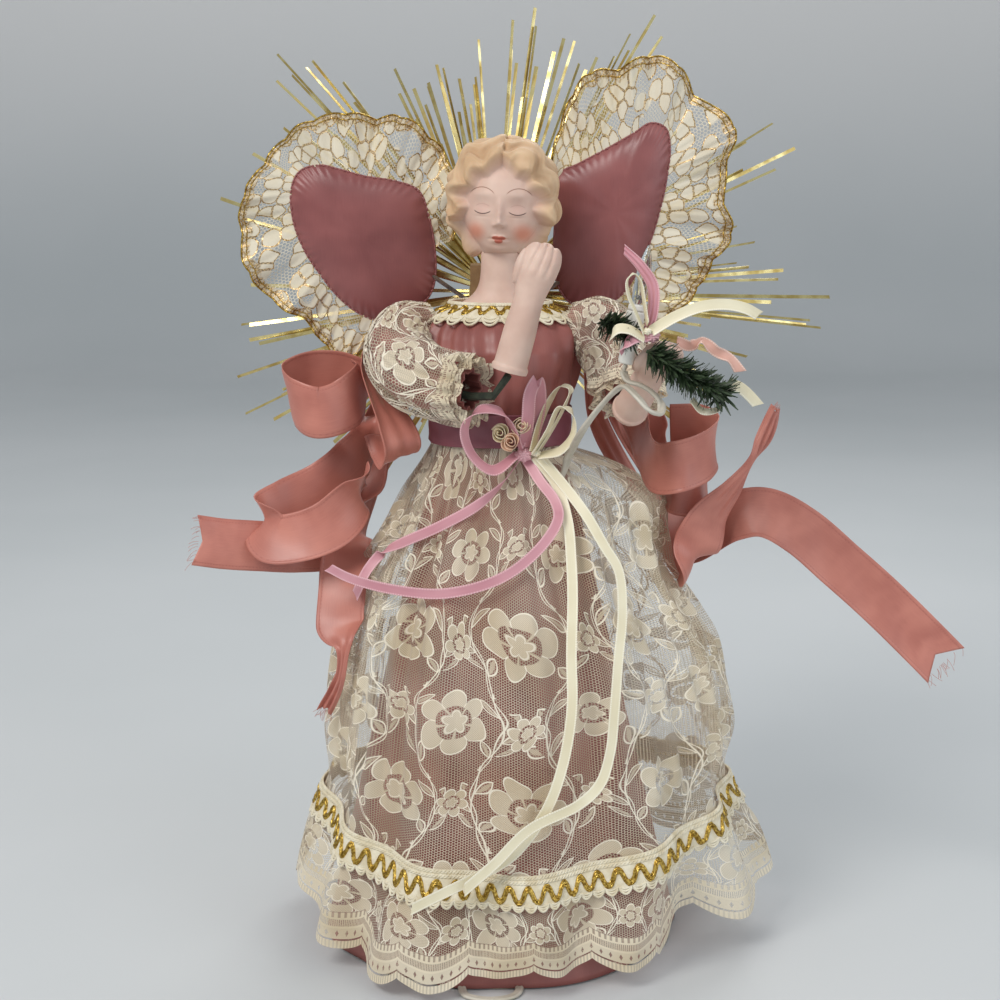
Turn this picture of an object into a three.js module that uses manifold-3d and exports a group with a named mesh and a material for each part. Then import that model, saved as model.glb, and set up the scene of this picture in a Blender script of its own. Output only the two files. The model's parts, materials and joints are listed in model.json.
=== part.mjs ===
// Lighted angel tree topper. Millimetres, +Z up, the figure faces -Y.
// The origin is the centre of the cone's foot, on the surface that it stands on.
// Right and left are the figure's own: its right side is at -X.

import * as THREE from 'three';
import { mergeVertices } from 'three/addons/utils/BufferGeometryUtils.js';
import Module from 'manifold-3d';

const wasm = await Module();
wasm.setup();

// Driving dimensions of the whole figure
const figure_height = 400;
const foot_radius = 88;
const core_height = 290;
const core_top_radius = 21;
const core_wall = 1.6;

// Materials' thickness and the clearances between pieces
const seat_gap = 0.3;
const satin_thickness = 1.2;
const lace_thickness = 1.0;
const braid_thickness = 1.8;
const ribbon_thickness = 0.8;
const overrun = 1.0;

// Ribbons and trims, by the width they are sold in
const streamer_width = 25;
const belt_width = 16;
const bow_ribbon_width = 6.5;
const tail_ribbon_width = 5;
const hem_braid_width = 14;

// Wires and leads
const arm_wire_diameter = 4;
const wing_wire_diameter = 2.4;
const lead_width = 4;
const lead_height = 2;

// Places are shares of the figure's height, in hundredths
const place_unit = figure_height / 100;
const place = (x, y, z) => new THREE.Vector3(x, y, z).multiplyScalar(place_unit);
const places = (shares) => shares.map(([x, y, z]) => place(x, y, z));
const full_turn = Math.PI * 2;
const degrees = (angle) => THREE.MathUtils.degToRad(angle);
const smooth = (value, low, high) => THREE.MathUtils.smoothstep(value, low, high);
const bell = (distance, reach) => Math.exp(-((distance / reach) ** 2));

const topper = new THREE.Group();

const finishes = {
  card: { color: 0xd8d2c4, roughness: 0.9 },
  satin: { color: 0x9a6560, roughness: 0.4 },
  lace: { color: 0xdcd0b8, roughness: 0.85 },
  braid: { color: 0xcdb265, roughness: 0.5, metalness: 0.4 },
  mauve_ribbon: { color: 0x8f5560, roughness: 0.4 },
  rose_ribbon: { color: 0xb8706a, roughness: 0.4 },
  pink_ribbon: { color: 0xc98f98, roughness: 0.35 },
  cream_ribbon: { color: 0xe6dfc0, roughness: 0.4 },
  porcelain: { color: 0xdab8aa, roughness: 0.55 },
  dark_wire: { color: 0x2c3326, roughness: 0.7 },
  wood: { color: 0xb9966a, roughness: 0.8 },
  gold: { color: 0xb9a050, roughness: 0.25, metalness: 1 },
  steel_wire: { color: 0x9a9a98, roughness: 0.4, metalness: 0.9 },
  greenery: { color: 0x25351f, roughness: 0.6 },
  peach_ribbon: { color: 0xe0ac98, roughness: 0.4 },
  white_plastic: { color: 0xe4e2da, roughness: 0.5 },
  glass: { color: 0xe8ecec, roughness: 0.05 },
  lead: { color: 0xc4bfae, roughness: 0.5 },
};

function add(name, geometry, finish, parent = topper) {
  const mesh = new THREE.Mesh(outward(geometry), new THREE.MeshStandardMaterial(finishes[finish]));
  mesh.name = name;
  parent.add(mesh);
  return mesh;
}

// Geometry helpers

// Turns a closed mesh the right way out, by the sign of its volume
function outward(geometry) {
  const points = geometry.attributes.position;
  const index = geometry.index ? geometry.index.array : Array.from({ length: points.count }, (_, i) => i);
  const a = new THREE.Vector3();
  const b = new THREE.Vector3();
  const c = new THREE.Vector3();
  let volume = 0;
  for (let i = 0; i < index.length; i += 3) {
    a.fromBufferAttribute(points, index[i]);
    b.fromBufferAttribute(points, index[i + 1]);
    c.fromBufferAttribute(points, index[i + 2]);
    volume += a.dot(b.cross(c));
  }
  if (volume >= 0) return geometry;
  const flipped = Array.from(index);
  for (let i = 0; i < flipped.length; i += 3) {
    [flipped[i + 1], flipped[i + 2]] = [flipped[i + 2], flipped[i + 1]];
  }
  geometry.setIndex(flipped);
  return geometry;
}

function fromArrays(positions, index) {
  const geometry = new THREE.BufferGeometry();
  geometry.setAttribute('position', new THREE.Float32BufferAttribute(positions, 3));
  geometry.setIndex(index);
  return outward(geometry);
}

// A closed skin over rings with the same number of points; a looped skin joins last to first
function skin(rings, looped = false) {
  const sides = rings[0].length;
  const positions = rings.flat().flatMap((point) => point.toArray());
  const index = [];
  const spans = looped ? rings.length : rings.length - 1;
  for (let i = 0; i < spans; i += 1) {
    const next = (i + 1) % rings.length;
    for (let j = 0; j < sides; j += 1) {
      const side = (j + 1) % sides;
      const a = i * sides + j;
      const b = i * sides + side;
      const c = next * sides + side;
      const d = next * sides + j;
      index.push(a, b, c, a, c, d);
    }
  }
  if (!looped) {
    [0, rings.length - 1].forEach((ring, end) => {
      const centre = new THREE.Vector3();
      rings[ring].forEach((point) => centre.addScaledVector(point, 1 / sides));
      const hub = positions.length / 3;
      positions.push(...centre.toArray());
      for (let j = 0; j < sides; j += 1) {
        const a = ring * sides + j;
        const b = ring * sides + ((j + 1) % sides);
        index.push(...(end ? [hub, a, b] : [hub, b, a]));
      }
    });
  }
  return fromArrays(positions, index);
}

// Cloth: a thin closed slab on both sides of a grid of points; wrap joins its last column to the first
function cloth(grid, thickness, wrap = false) {
  const rows = grid.length;
  const columns = grid[0].length;
  const clampRow = (i) => Math.min(Math.max(i, 0), rows - 1);
  const column = (j) => (wrap ? (j + columns) % columns : Math.min(Math.max(j, 0), columns - 1));
  const positions = [];
  for (const side of [1, -1]) {
    for (let i = 0; i < rows; i += 1) {
      for (let j = 0; j < columns; j += 1) {
        const along = grid[clampRow(i + 1)][j].clone().sub(grid[clampRow(i - 1)][j]);
        const across = grid[i][column(j + 1)].clone().sub(grid[i][column(j - 1)]);
        const normal = along.cross(across).normalize();
        positions.push(...grid[i][j].clone().addScaledVector(normal, side * thickness / 2).toArray());
      }
    }
  }
  const back = rows * columns;
  const index = [];
  const quad = (a, b, c, d) => index.push(a, b, c, a, c, d);
  const spans = wrap ? columns : columns - 1;
  for (let i = 0; i < rows - 1; i += 1) {
    for (let j = 0; j < spans; j += 1) {
      const a = i * columns + j;
      const b = i * columns + column(j + 1);
      const c = b + columns;
      const d = a + columns;
      quad(a, b, c, d);
      quad(back + a, back + d, back + c, back + b);
    }
  }
  for (let j = 0; j < spans; j += 1) {
    const last = (rows - 1) * columns;
    const next = column(j + 1);
    quad(j, back + j, back + next, next);
    quad(last + j, last + next, back + last + next, back + last + j);
  }
  if (!wrap) {
    for (let i = 0; i < rows - 1; i += 1) {
      const a = i * columns;
      const b = a + columns;
      const end = columns - 1;
      quad(a, b, back + b, back + a);
      quad(a + end, back + a + end, back + b + end, b + end);
    }
  }
  return fromArrays(positions, index);
}

// Smooth value at x through [x, value] rows, without overshoot between them
function through(rows, x) {
  const last = rows.length - 1;
  const slope = (i) => {
    if (i <= 0 || i >= last) return 0;
    const before = (rows[i][1] - rows[i - 1][1]) / (rows[i][0] - rows[i - 1][0]);
    const after = (rows[i + 1][1] - rows[i][1]) / (rows[i + 1][0] - rows[i][0]);
    return before * after <= 0 ? 0 : 2 * before * after / (before + after);
  };
  let i = 0;
  while (i < last - 1 && x > rows[i + 1][0]) i += 1;
  const span = rows[i + 1][0] - rows[i][0];
  const t = Math.min(Math.max((x - rows[i][0]) / span, 0), 1);
  const rise = rows[i + 1][1] - rows[i][1];
  const ends = (t ** 3 - 2 * t ** 2 + t) * slope(i) * span + (t ** 3 - t ** 2) * slope(i + 1) * span;
  return rows[i][1] + rise * (3 * t ** 2 - 2 * t ** 3) + ends;
}

function solid(geometry) {
  const bare = geometry.clone();
  bare.deleteAttribute('normal');
  bare.deleteAttribute('uv');
  const merged = mergeVertices(bare);
  const vertProperties = Float32Array.from(merged.attributes.position.array);
  const triVerts = Uint32Array.from(merged.index.array);
  return new wasm.Manifold(new wasm.Mesh({ numProp: 3, vertProperties, triVerts }));
}

function surface(body) {
  const mesh = body.getMesh();
  return fromArrays(Array.from(mesh.vertProperties), Array.from(mesh.triVerts));
}

function largest(body) {
  return body.decompose().reduce((best, part) => (part.volume() > best.volume() ? part : best));
}

// Cuts the clearance shapes away from a piece and keeps its one main body
function trim(geometry, ...clearances) {
  const cut = clearances.reduce((body, shape) => body.subtract(solid(shape)), solid(outward(geometry)));
  return surface(largest(cut));
}

function join(...geometries) {
  return surface(geometries.map((shape) => solid(outward(shape))).reduce((body, shape) => body.add(shape)));
}

function ball(centre, radius, segments = 12) {
  return new THREE.SphereGeometry(radius, segments,
    Math.ceil(segments / 2) + 1).translate(...centre.toArray());
}

// A lathed piece that stands along a direction from a base point
function turned(profile, segments, base, direction) {
  const geometry = new THREE.LatheGeometry(profile.map(([r, h]) => new THREE.Vector2(r, h)), segments);
  const turn = new THREE.Quaternion().setFromUnitVectors(new THREE.Vector3(0, 1, 0), direction);
  return geometry.applyQuaternion(turn).translate(...base.toArray());
}

function tube(points, radius, sides, steps) {
  const section = new THREE.Shape();
  section.absarc(0, 0, radius, 0, full_turn, false);
  const extrudePath = new THREE.CatmullRomCurve3(points, false, 'centripetal');
  const curveSegments = Math.ceil(sides / 2);
  return new THREE.ExtrudeGeometry(section, { extrudePath, steps, curveSegments });
}

// Rings of an ellipse at each [height, half width, half depth, centre y] row
function ellipseRings(rows, sides, grow = 0) {
  return rows.map(([z, halfWidth, halfDepth, centreY]) => Array.from({ length: sides }, (_, j) => {
    const angle = full_turn * j / sides;
    const x = (halfWidth + grow) * Math.cos(angle);
    const y = (halfDepth + grow) * Math.sin(angle);
    return new THREE.Vector3(x, centreY + y, z);
  }));
}

// A ribbon's grid from rows of a place and the direction of its width; a notch cuts a V in its end
function ribbonGrid(rows, width, steps, { notch = 0, narrowing = () => 1 } = {}) {
  const middle = new THREE.CatmullRomCurve3(rows.map(([x, y, z]) => place(x, y, z)));
  const across = new THREE.CatmullRomCurve3(rows.map(([, , , x, y, z]) => new THREE.Vector3(x, y,
    z).normalize()));
  const columns = notch ? [-1, 0, 1] : [-1, 1];
  return Array.from({ length: steps + 1 }, (_, i) => {
    const share = i / steps;
    const centre = middle.getPoint(share);
    const tangent = middle.getTangent(share);
    const side = across.getPoint(share).addScaledVector(tangent,
      -across.getPoint(share).dot(tangent)).normalize();
    return columns.map((column) => {
      const point = centre.clone().addScaledVector(side, column * width * narrowing(share) / 2);
      if (i === steps && column === 0) point.addScaledVector(tangent, -notch);
      return point;
    });
  });
}

function ribbon(rows, width, steps, options = {}) {
  const grow = options.grow ?? 0;
  return cloth(ribbonGrid(rows, width + 2 * grow, steps, options), ribbon_thickness + 2 * grow);
}

// The cone core: a hollow card cone that slips over the tree's tip and stands on its rim

const coreRadius = (z) => foot_radius + (core_top_radius - foot_radius) * z / core_height;

const wire_notch_play = 0.8;
const wire_notch_depth = arm_wire_diameter + wire_notch_play;
const cord_notch_play = 2;
const cord_notch_width = lead_width + cord_notch_play;
const cord_notch_height = lead_height + cord_notch_play;
const lead_hole_radius = 3.5;
const cord_exit_offset = 9;
const cord_return_offset = -18;
const cord_back_offset = -10;

const arm_wire_height = core_height - arm_wire_diameter / 2 - seat_gap;
const cord_exit = new THREE.Vector3(cord_exit_offset, -foot_radius, 0);
const cord_return = new THREE.Vector3(cord_return_offset, -foot_radius, 0);
const cord_back = new THREE.Vector3(cord_back_offset, foot_radius, 0);
const lead_hole_height = 238;
const lead_hole_angle = degrees(-50);

function roundCone(rows) {
  const profile = rows.map(([radius, z]) => new THREE.Vector2(radius, z));
  return new THREE.LatheGeometry(profile, 30).rotateX(Math.PI / 2);
}

function coreCone() {
  const outer = [[foot_radius, 0], [core_top_radius, core_height]];
  const inner = [[core_top_radius - core_wall, core_height], [foot_radius - core_wall, 0]];
  const cone = roundCone([...outer, ...inner, outer[0]]);
  const notch = new THREE.BoxGeometry(2 * core_height, arm_wire_diameter + overrun, 2 * wire_notch_depth)
    .translate(0, 0, core_height);
  return trim(cone, notch, ...doorways(), leadHole());
}

// The openings under the foot that the lead passes through: out and in at the front, out at the back
function doorways() {
  return [cord_exit, cord_return, cord_back].map(({ x, y }) => (
    new THREE.BoxGeometry(cord_notch_width, foot_radius / 2, 2 * cord_notch_height).translate(x, 1.06 * y,
      0)));
}

function leadHole() {
  const reach = coreRadius(lead_hole_height);
  const hole = new THREE.CylinderGeometry(lead_hole_radius, lead_hole_radius, 2 * reach,
    12).rotateZ(Math.PI / 2);
  return hole.translate(reach, 0, 0).rotateZ(lead_hole_angle).translate(0, 0, lead_hole_height);
}

add('cone_core', coreCone(), 'card');

// The satin underskirt: glued round the cone, with shallow folds that deepen towards the foot

const underskirt_drop = 20;
const underskirt_height = core_height - underskirt_drop;
const underskirt_fold_depth = 2.2;
const underskirtFolds = 11;

function underskirtRadius(angle, z) {
  const depth = underskirt_fold_depth * (1 - z / underskirt_height);
  const fold = 0.5 + 0.5 * Math.cos(underskirtFolds * angle + 1.4 * Math.sin(3 * angle));
  return coreRadius(z) + seat_gap + satin_thickness / 2 + depth * fold;
}

function roundGrid(columns, rows, pointAt) {
  return Array.from({ length: rows + 1 }, (_, i) => Array.from({ length: columns }, (_, j) => (
    pointAt(full_turn * j / columns - Math.PI, i / rows))));
}

const polar = (angle, radius, z) => new THREE.Vector3(radius * Math.cos(angle), radius * Math.sin(angle),
  z);

function underskirt() {
  const grid = roundGrid(36, 1, (angle, share) => {
    const z = underskirt_height + (satin_thickness / 2 - underskirt_height) * share;
    return polar(angle, underskirtRadius(angle, z), z);
  });
  return trim(cloth(grid, satin_thickness, true), ...doorways(), leadHole());
}

add('satin_underskirt', underskirt(), 'satin');

// The lace overskirt: gathered under the belt, puffed out at the left side, sewn to the braid at its hem

const waist_drop = 28.3;
const waist_top = core_height - waist_drop;
const belt_cover = 9.7;
const belt_bottom = waist_top - belt_cover;
const waist_gather = 0.4;
const underskirt_wrap = satin_thickness + underskirt_fold_depth * (1 - belt_bottom / underskirt_height);
const waist_slack = 0.6;
const waist_lining_radius = coreRadius(belt_bottom) + 2 * seat_gap + underskirt_wrap + waist_slack;
const waist_radius = waist_lining_radius + lace_thickness / 2 + waist_gather;
const overskirt_seam_radius = 87;
const overskirt_puff_width = 31;
const overskirt_front_width = 9;
const overskirt_fold_depth = 3.2;
const seam_side_height = 74;
const seam_front_drop = 22;
const seam_back_drop = 10;
const overskirtFolds = 13;
const skirtColumns = 42;
const braid_upper_share = hem_braid_width / 2 / (waist_top - seam_side_height);
const braid_lower_share = 0.16;

const fallShares = [[0, 0], [0.05, 0], [0.1, 0.05], [0.165, 0.15], [0.277, 0.33], [0.38, 0.55],
  [0.495, 0.71], [0.61, 0.8], [0.78, 0.86], [0.95, 0.94], [1, 1]];
const puffShares = [[0, 0], [0.07, 0], [0.12, 0.6], [0.2, 0.97], [0.3, 0.72], [0.4, 0.5], [0.5, 0.68],
  [0.6, 0.88], [0.8, 1], [1, 0.88]];

const frontward = (angle) => Math.max(-Math.sin(angle), 0);
const backward = (angle) => Math.max(Math.sin(angle), 0);
const leftward = (angle) => Math.max(Math.cos(angle), 0);

function seamHeight(angle) {
  const drop = seam_front_drop * frontward(angle) ** 1.3 + seam_back_drop * backward(angle) ** 1.3;
  return seam_side_height - drop;
}

// The overskirt's reach without its folds, at a share of the way from waist to seam
function overskirtReach(angle, share) {
  const fall = (overskirt_seam_radius - waist_radius) * through(fallShares, share);
  const puff = overskirt_puff_width * through(puffShares, share) * leftward(angle) ** 2;
  const fullness = overskirt_front_width * share * frontward(angle);
  return waist_radius + fall + puff + fullness;
}

function overskirtFold(angle, share) {
  const depth = waist_gather + (overskirt_fold_depth - waist_gather) * smooth(share, 0.05, 0.3);
  const phase = overskirtFolds * angle + 1.3 * Math.sin(2 * angle + 0.7) + 0.8 * Math.sin(3 * angle);
  return depth * Math.cos(phase);
}

function overskirtPoint(angle, share, lift = 0) {
  const z = waist_top + (seamHeight(angle) + braid_thickness / 2 - waist_top) * share;
  return polar(angle, overskirtReach(angle, share) + overskirtFold(angle, share) + lift, z);
}

function overskirt() {
  const rowShares = [0, 0.06, 0.13, 0.24, 0.45, 1 - braid_upper_share, 1];
  return rowShares.map((share) => Array.from({ length: skirtColumns }, (_, j) => (
    overskirtPoint(full_turn * j / skirtColumns - Math.PI, share))));
}

add('lace_overskirt', trim(cloth(overskirt(), lace_thickness, true), leadHole()), 'lace');

// The hem ruffle: a gathered flounce below the seam, thrown out at the left side

const ruffle_radius = 104;
const ruffle_fold_depth = 4.5;
const ruffleFolds = 13;
const ruffleReachShares = [[-180, 1.02], [-163, 0.985], [-149, 1.02], [-134, 1], [-119, 1.04], [-105, 1.03],
  [-90, 0.975], [-74, 0.985], [-57, 1.01], [-45, 1.055], [-33, 1.04], [-22, 1.2], [-8, 1.33], [8, 1.3],
  [30, 1.14], [60, 1], [90, 1.02], [120, 1], [150, 1.02], [180, 1.02]];
const ruffleHeightShares = [[-180, 0.42], [-163, 0.41], [-149, 0.25], [-134, 0.15], [-119, 0.09],
  [-105, 0.09], [-90, 0.16], [-74, 0.18], [-57, 0.16], [-45, 0.14], [-33, 0.36], [-22, 0.27], [-8, 0.37],
  [8, 0.45], [30, 0.35], [60, 0.18], [90, 0.16], [120, 0.18], [150, 0.27], [180, 0.42]];

function ruffleFold(angle) {
  const phase = ruffleFolds * angle + 1.1 * Math.sin(2 * angle) + 0.9 * Math.sin(5 * angle);
  return ruffle_fold_depth * Math.cos(phase);
}

function rufflePoint(angle, share, lift = 0) {
  const hem = THREE.MathUtils.radToDeg(angle);
  const top = seamHeight(angle) - braid_thickness / 2;
  const z = top + (seam_side_height * through(ruffleHeightShares, hem) - top) * share;
  const start = overskirtReach(angle, 1) + overskirtFold(angle, 1) * (1 - share);
  const reach = ruffle_radius * through(ruffleReachShares, hem) - overskirtReach(angle, 1);
  return polar(angle, start + reach * share ** 0.8 + ruffleFold(angle) * smooth(share, 0, 0.5) + lift, z);
}

function ruffle() {
  return [0, braid_lower_share, 0.5, 1].map((share) => Array.from({ length: skirtColumns }, (_, j) => (
    rufflePoint(full_turn * j / skirtColumns - Math.PI, share))));
}

add('hem_ruffle', cloth(ruffle(), lace_thickness, true), 'lace');

// The hem braid: gold zigzag braid sewn over the seam, scalloped along its lower edge

function hemBraid() {
  const lift = (lace_thickness + braid_thickness) / 2 + 2 * seat_gap;
  const rows = [
    (angle) => overskirtPoint(angle, 1 - braid_upper_share, lift),
    (angle) => overskirtPoint(angle, 1, lift + seat_gap),
    (angle) => rufflePoint(angle, braid_lower_share, lift + 3 * seat_gap),
  ];
  const grid = rows.map((row, i) => Array.from({ length: skirtColumns }, (_, j) => {
    const point = row(full_turn * j / skirtColumns - Math.PI);
    if (i === rows.length - 1) point.z -= (j % 2) * hem_braid_width / 10;
    return point;
  }));
  return cloth(grid, braid_thickness, true);
}

add('hem_braid', hemBraid(), 'braid');

// The porcelain bust: shoulder plate, neck and head, moulded in one piece

const shoulder_rise = 28;
const neckline_height = core_height + shoulder_rise;
const neckline_half_width = 22.5;
const neckline_half_depth = 16.5;
const neck_radius = 9.4;
const head_offset = 1.5;
const head_forward = 4;
const head_rise = 50.5;
const head_height = neckline_height + head_rise;
const head_centre = new THREE.Vector3(head_offset, -head_forward, head_height);
const head_turn = degrees(-4);
const face_half_width = 20;
const face_half_depth = 22;
const head_half_height = 29.5;
const hair_thickness = 7.5;

const bust_base = core_height + seat_gap;
const bustRows = [
  [bust_base, neckline_half_width, neckline_half_depth, 0],
  [bust_base + 0.28 * (neckline_height - bust_base), 1.2 * neckline_half_width,
  1.18 * neckline_half_depth, 0],
  [bust_base + 0.57 * (neckline_height - bust_base), 1.3 * neckline_half_width,
  1.21 * neckline_half_depth, 0],
  [bust_base + 0.8 * (neckline_height - bust_base), 1.22 * neckline_half_width,
  1.15 * neckline_half_depth, 0],
  [neckline_height, neckline_half_width, neckline_half_depth, -neck_radius / 9],
  [neckline_height + 0.4 * neck_radius, 1.65 * neck_radius, 1.4 * neck_radius, -neck_radius / 6],
  [neckline_height + 0.9 * neck_radius, 1.2 * neck_radius, 1.15 * neck_radius, -neck_radius / 4],
  [neckline_height + 1.4 * neck_radius, 1.04 * neck_radius, 1.02 * neck_radius, -neck_radius / 3.5],
  [neckline_height + 2.1 * neck_radius, neck_radius, neck_radius, -neck_radius / 3],
  [head_height - 0.7 * head_half_height, neck_radius, neck_radius, -neck_radius / 3],
];

// Half width of the face between the locks of hair, against height from the head's centre, as shares
const faceEdgeShares = [[-1, 0.8], [-0.75, 0.86], [-0.3, 0.86], [0, 0.83], [0.2, 0.68], [0.4, 0.42],
  [0.53, 0.18], [0.62, 0], [0.75, -0.3], [1, -0.5]];

// Small forms on the face: [across, up, reach across, reach up, height], as shares of the face's half width
const faceFormShares = [
  [0, -0.52, 0.11, 0.13, 0.19],
  [0, -0.25, 0.09, 0.2, 0.08],
  [0.4, -0.16, 0.2, 0.2, -0.08],
  [0.39, -0.24, 0.16, 0.1, 0.06],
  [0.55, -0.7, 0.25, 0.25, 0.05],
  [0, -0.88, 0.16, 0.06, 0.07],
  [0, -1, 0.13, 0.06, 0.06],
  [0, -1.28, 0.2, 0.16, 0.08],
];

function headPoint(latitude, longitude) {
  const x = Math.cos(latitude) * Math.sin(longitude);
  const front = Math.cos(latitude) * Math.cos(longitude);
  const up = Math.sin(latitude);
  const jaw = 1 - 0.26 * smooth(-up, 0.25, 0.95);
  const point = new THREE.Vector3(x * face_half_width * jaw, -front * face_half_depth,
    up * head_half_height);
  const edge = through(faceEdgeShares, up) * face_half_width;
  const beside = smooth(Math.abs(point.x) - edge, -0.05 * face_half_width, 0.08 * face_half_width);
  const behind = smooth(-front, -0.25, 0);
  const nape = smooth(up, -0.9, -0.6);
  const hair = Math.max(beside, behind) * nape;
  const waves = 0.16 * Math.sin(14 * up + 2.2 * Math.abs(longitude))
    + 0.08 * Math.sin(26 * up - 3 * longitude);
  const crown = 1 - 0.7 * smooth(up, 0.6, 1);
  point.addScaledVector(point.clone().normalize(), hair * hair_thickness * (crown + waves));
  if (front > 0) {
    for (const [across, height, reachAcross, reachUp, rise] of faceFormShares) {
      const sideways = Math.abs(point.x) / face_half_width - across;
      const upward = point.z / face_half_width - height;
      point.y -= rise * face_half_width * bell(sideways, reachAcross) * bell(upward, reachUp) * (1 - hair);
    }
  }
  return point;
}

function headSkin() {
  const around = 26;
  const levels = 18;
  const rings = Array.from({ length: levels }, (_, i) => {
    const latitude = Math.PI * ((i + 0.6) / (levels + 0.2) - 0.5);
    return Array.from({ length: around }, (_, j) => headPoint(latitude, full_turn * j / around - Math.PI));
  });
  return skin(rings).rotateZ(head_turn).translate(...head_centre.toArray());
}

add('porcelain_bust', join(skin(ellipseRings(bustRows, 20)), headSkin()), 'porcelain');

// The bodice: gathered satin from the belt to the neckline, with armholes for the wire

const belt_top = belt_bottom + belt_width;
const belt_radius = waist_radius + lace_thickness / 2 + waist_gather + 2.5 * seat_gap;
const belt_seat_radius = belt_radius - 2.5 * seat_gap - satin_thickness / 2;
const bodice_bottom = waist_top + seat_gap + lace_thickness / 2;
const bodice_waist_radius = waist_radius - waist_gather;
const chest_half_width = 41;
const chest_half_depth = 33.5;
const chest_rise = 6;
const chest_height = core_height + chest_rise;
const armhole_radius = 8.5;
const armhole_forward = 3;
const armhole_rise = 4;
const armhole_place = new THREE.Vector3(chest_half_width, -armhole_forward, chest_height + armhole_rise);
const neckline_offset = seat_gap + satin_thickness / 2;

const bodiceColumns = 22;
const shoulder_height = neckline_height - chest_height;
const chestForward = 0.045 * chest_half_depth;

const bodiceRows = [
  [bodice_bottom, bodice_waist_radius - satin_thickness / 2, bodice_waist_radius - satin_thickness / 2, 0],
  [belt_top, belt_seat_radius, belt_seat_radius, 0],
  [0.4 * waist_top + 0.6 * chest_height, 0.92 * chest_half_width, 1.02 * chest_half_depth, -chestForward],
  [chest_height, chest_half_width, chest_half_depth, -chestForward],
  [chest_height + 0.36 * shoulder_height, 0.99 * chest_half_width, 0.87 * chest_half_depth,
  -chestForward / 1.5],
  [neckline_height - 0.32 * shoulder_height, 0.87 * chest_half_width, 0.72 * chest_half_depth,
  -chestForward / 1.5],
  [neckline_height - 0.09 * shoulder_height, 0.69 * chest_half_width, 0.6 * chest_half_depth,
  -neck_radius / 9],
  [neckline_height, neckline_half_width + neckline_offset, neckline_half_depth + neckline_offset,
  -neck_radius / 9],
];

function bodiceGrid(lift = 0) {
  const rings = ellipseRings(bodiceRows, bodiceColumns, lift);
  return rings.map((ring, i) => ring.map((point, j) => {
    const middle = i > 1 && i < rings.length - 2;
    const gather = middle ? satin_thickness / 2 * Math.cos(Math.PI * j) : 0;
    const outwards = new THREE.Vector3(point.x, point.y, 0).normalize();
    return point.addScaledVector(outwards, gather);
  }));
}

const bodice_clearance = satin_thickness / 2 + seat_gap;
const bodiceSpace = () => skin(ellipseRings(bodiceRows, bodiceColumns,
  bodice_clearance + satin_thickness / 2));

function bodice() {
  const armholes = [-1, 1].map((side) => ball(armhole_place.clone().multiply(new THREE.Vector3(side, 1, 1)),
    armhole_radius, 6));
  return trim(cloth(bodiceGrid(), satin_thickness, true), ...armholes);
}

add('bodice', bodice(), 'satin');

// The waist belt: a satin ribbon round the gathers

function beltBand() {
  const outer = belt_radius + ribbon_thickness;
  const ridge = ribbon_thickness / 2;
  const rows = [[belt_radius, 0], [outer, 0], [outer + ridge, 0.5], [outer, 1], [belt_radius, 1],
    [belt_radius, 0]];
  return roundCone(rows.map(([radius, share]) => [radius, belt_bottom + belt_width * share]));
}

add('waist_belt', beltBand(), 'mauve_ribbon');

// The neck braid: a scalloped trim over the bodice's top edge

function neckBraid(grow = 0) {
  const lift = satin_thickness + braid_thickness / 2 + 3 * seat_gap;
  const [chest, slope, edge] = bodiceRows.slice(-3);
  const over = ([z, halfWidth, halfDepth, centreY], out, up) => [z + up, halfWidth + out, halfDepth + out,
    centreY];
  const rows = [over(chest, lift, -grow), over(slope, lift, lift / 2), over(edge, lift / 2, lift + grow)];
  const grid = ellipseRings(rows, bodiceColumns).map((ring, i) => ring.map((point, j) => {
    if (i === 0) point.z -= (j % 2) * braid_thickness / 2;
    return point;
  }));
  return cloth(grid, braid_thickness + 2 * grow, true);
}

add('neck_braid', neckBraid(), 'braid');

// The arm wire: one taped wire laid across the cone's top, out through both sleeves to the elbows

const wire_radius = arm_wire_diameter / 2;
const elbow_gap = 0.25;
const rightElbowShares = [1, -15, 73];
const leftElbowShares = [15.2, -11.5, 68];
const right_elbow = place(...rightElbowShares);
const right_forearm_direction = new THREE.Vector3(0.262, 0, 0.965).normalize();
const left_elbow = place(...leftElbowShares);
const left_forearm_direction = new THREE.Vector3(0.201, -0.793, 0.573).normalize();

// The places from the armhole to the elbow
const rightArmShares = [[-11.9, -2.8, 75.8], [-12.6, -4.8, 73.6], [-10.3, -7.8, 71.6], [-6.3, -10.6, 70.3],
  [-2.6, -12.8, 69.8], [-0.2, -14.4, 70.4]];
const leftArmShares = [[12.2, -2.4, 75.6], [14.4, -4.4, 73.9], [15.2, -6.8, 71.2], [15, -8.6, 68.6],
  [14.9, -9.9, 67.4]];

function elbowEnd(elbow, direction) {
  return elbow.clone().addScaledVector(direction, -elbow_gap - wire_radius);
}

function armWire() {
  const crossing = [-1, -0.5, 0, 0.5, 1].map((side) => new THREE.Vector3(side * 1.1 * core_top_radius, 0,
    arm_wire_height));
  const rise = [-1, 1].map((side) => new THREE.Vector3(side * 0.82 * chest_half_width, -wire_radius / 2,
    arm_wire_height + 2.2 * wire_radius));
  const points = [elbowEnd(right_elbow, right_forearm_direction), ...places(rightArmShares).reverse(),
    rise[0],
    ...crossing, rise[1], ...places(leftArmShares), elbowEnd(left_elbow, left_forearm_direction)];
  const ends = [points[0], points[points.length - 1]].map((end) => ball(end, wire_radius, 6));
  return join(tube(points, 0.98 * wire_radius, 6, 20), ...ends);
}

add('arm_wire', armWire(), 'dark_wire');

// The sleeves: puffed satin with a longer lace oversleeve that flares at its mouth

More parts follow.
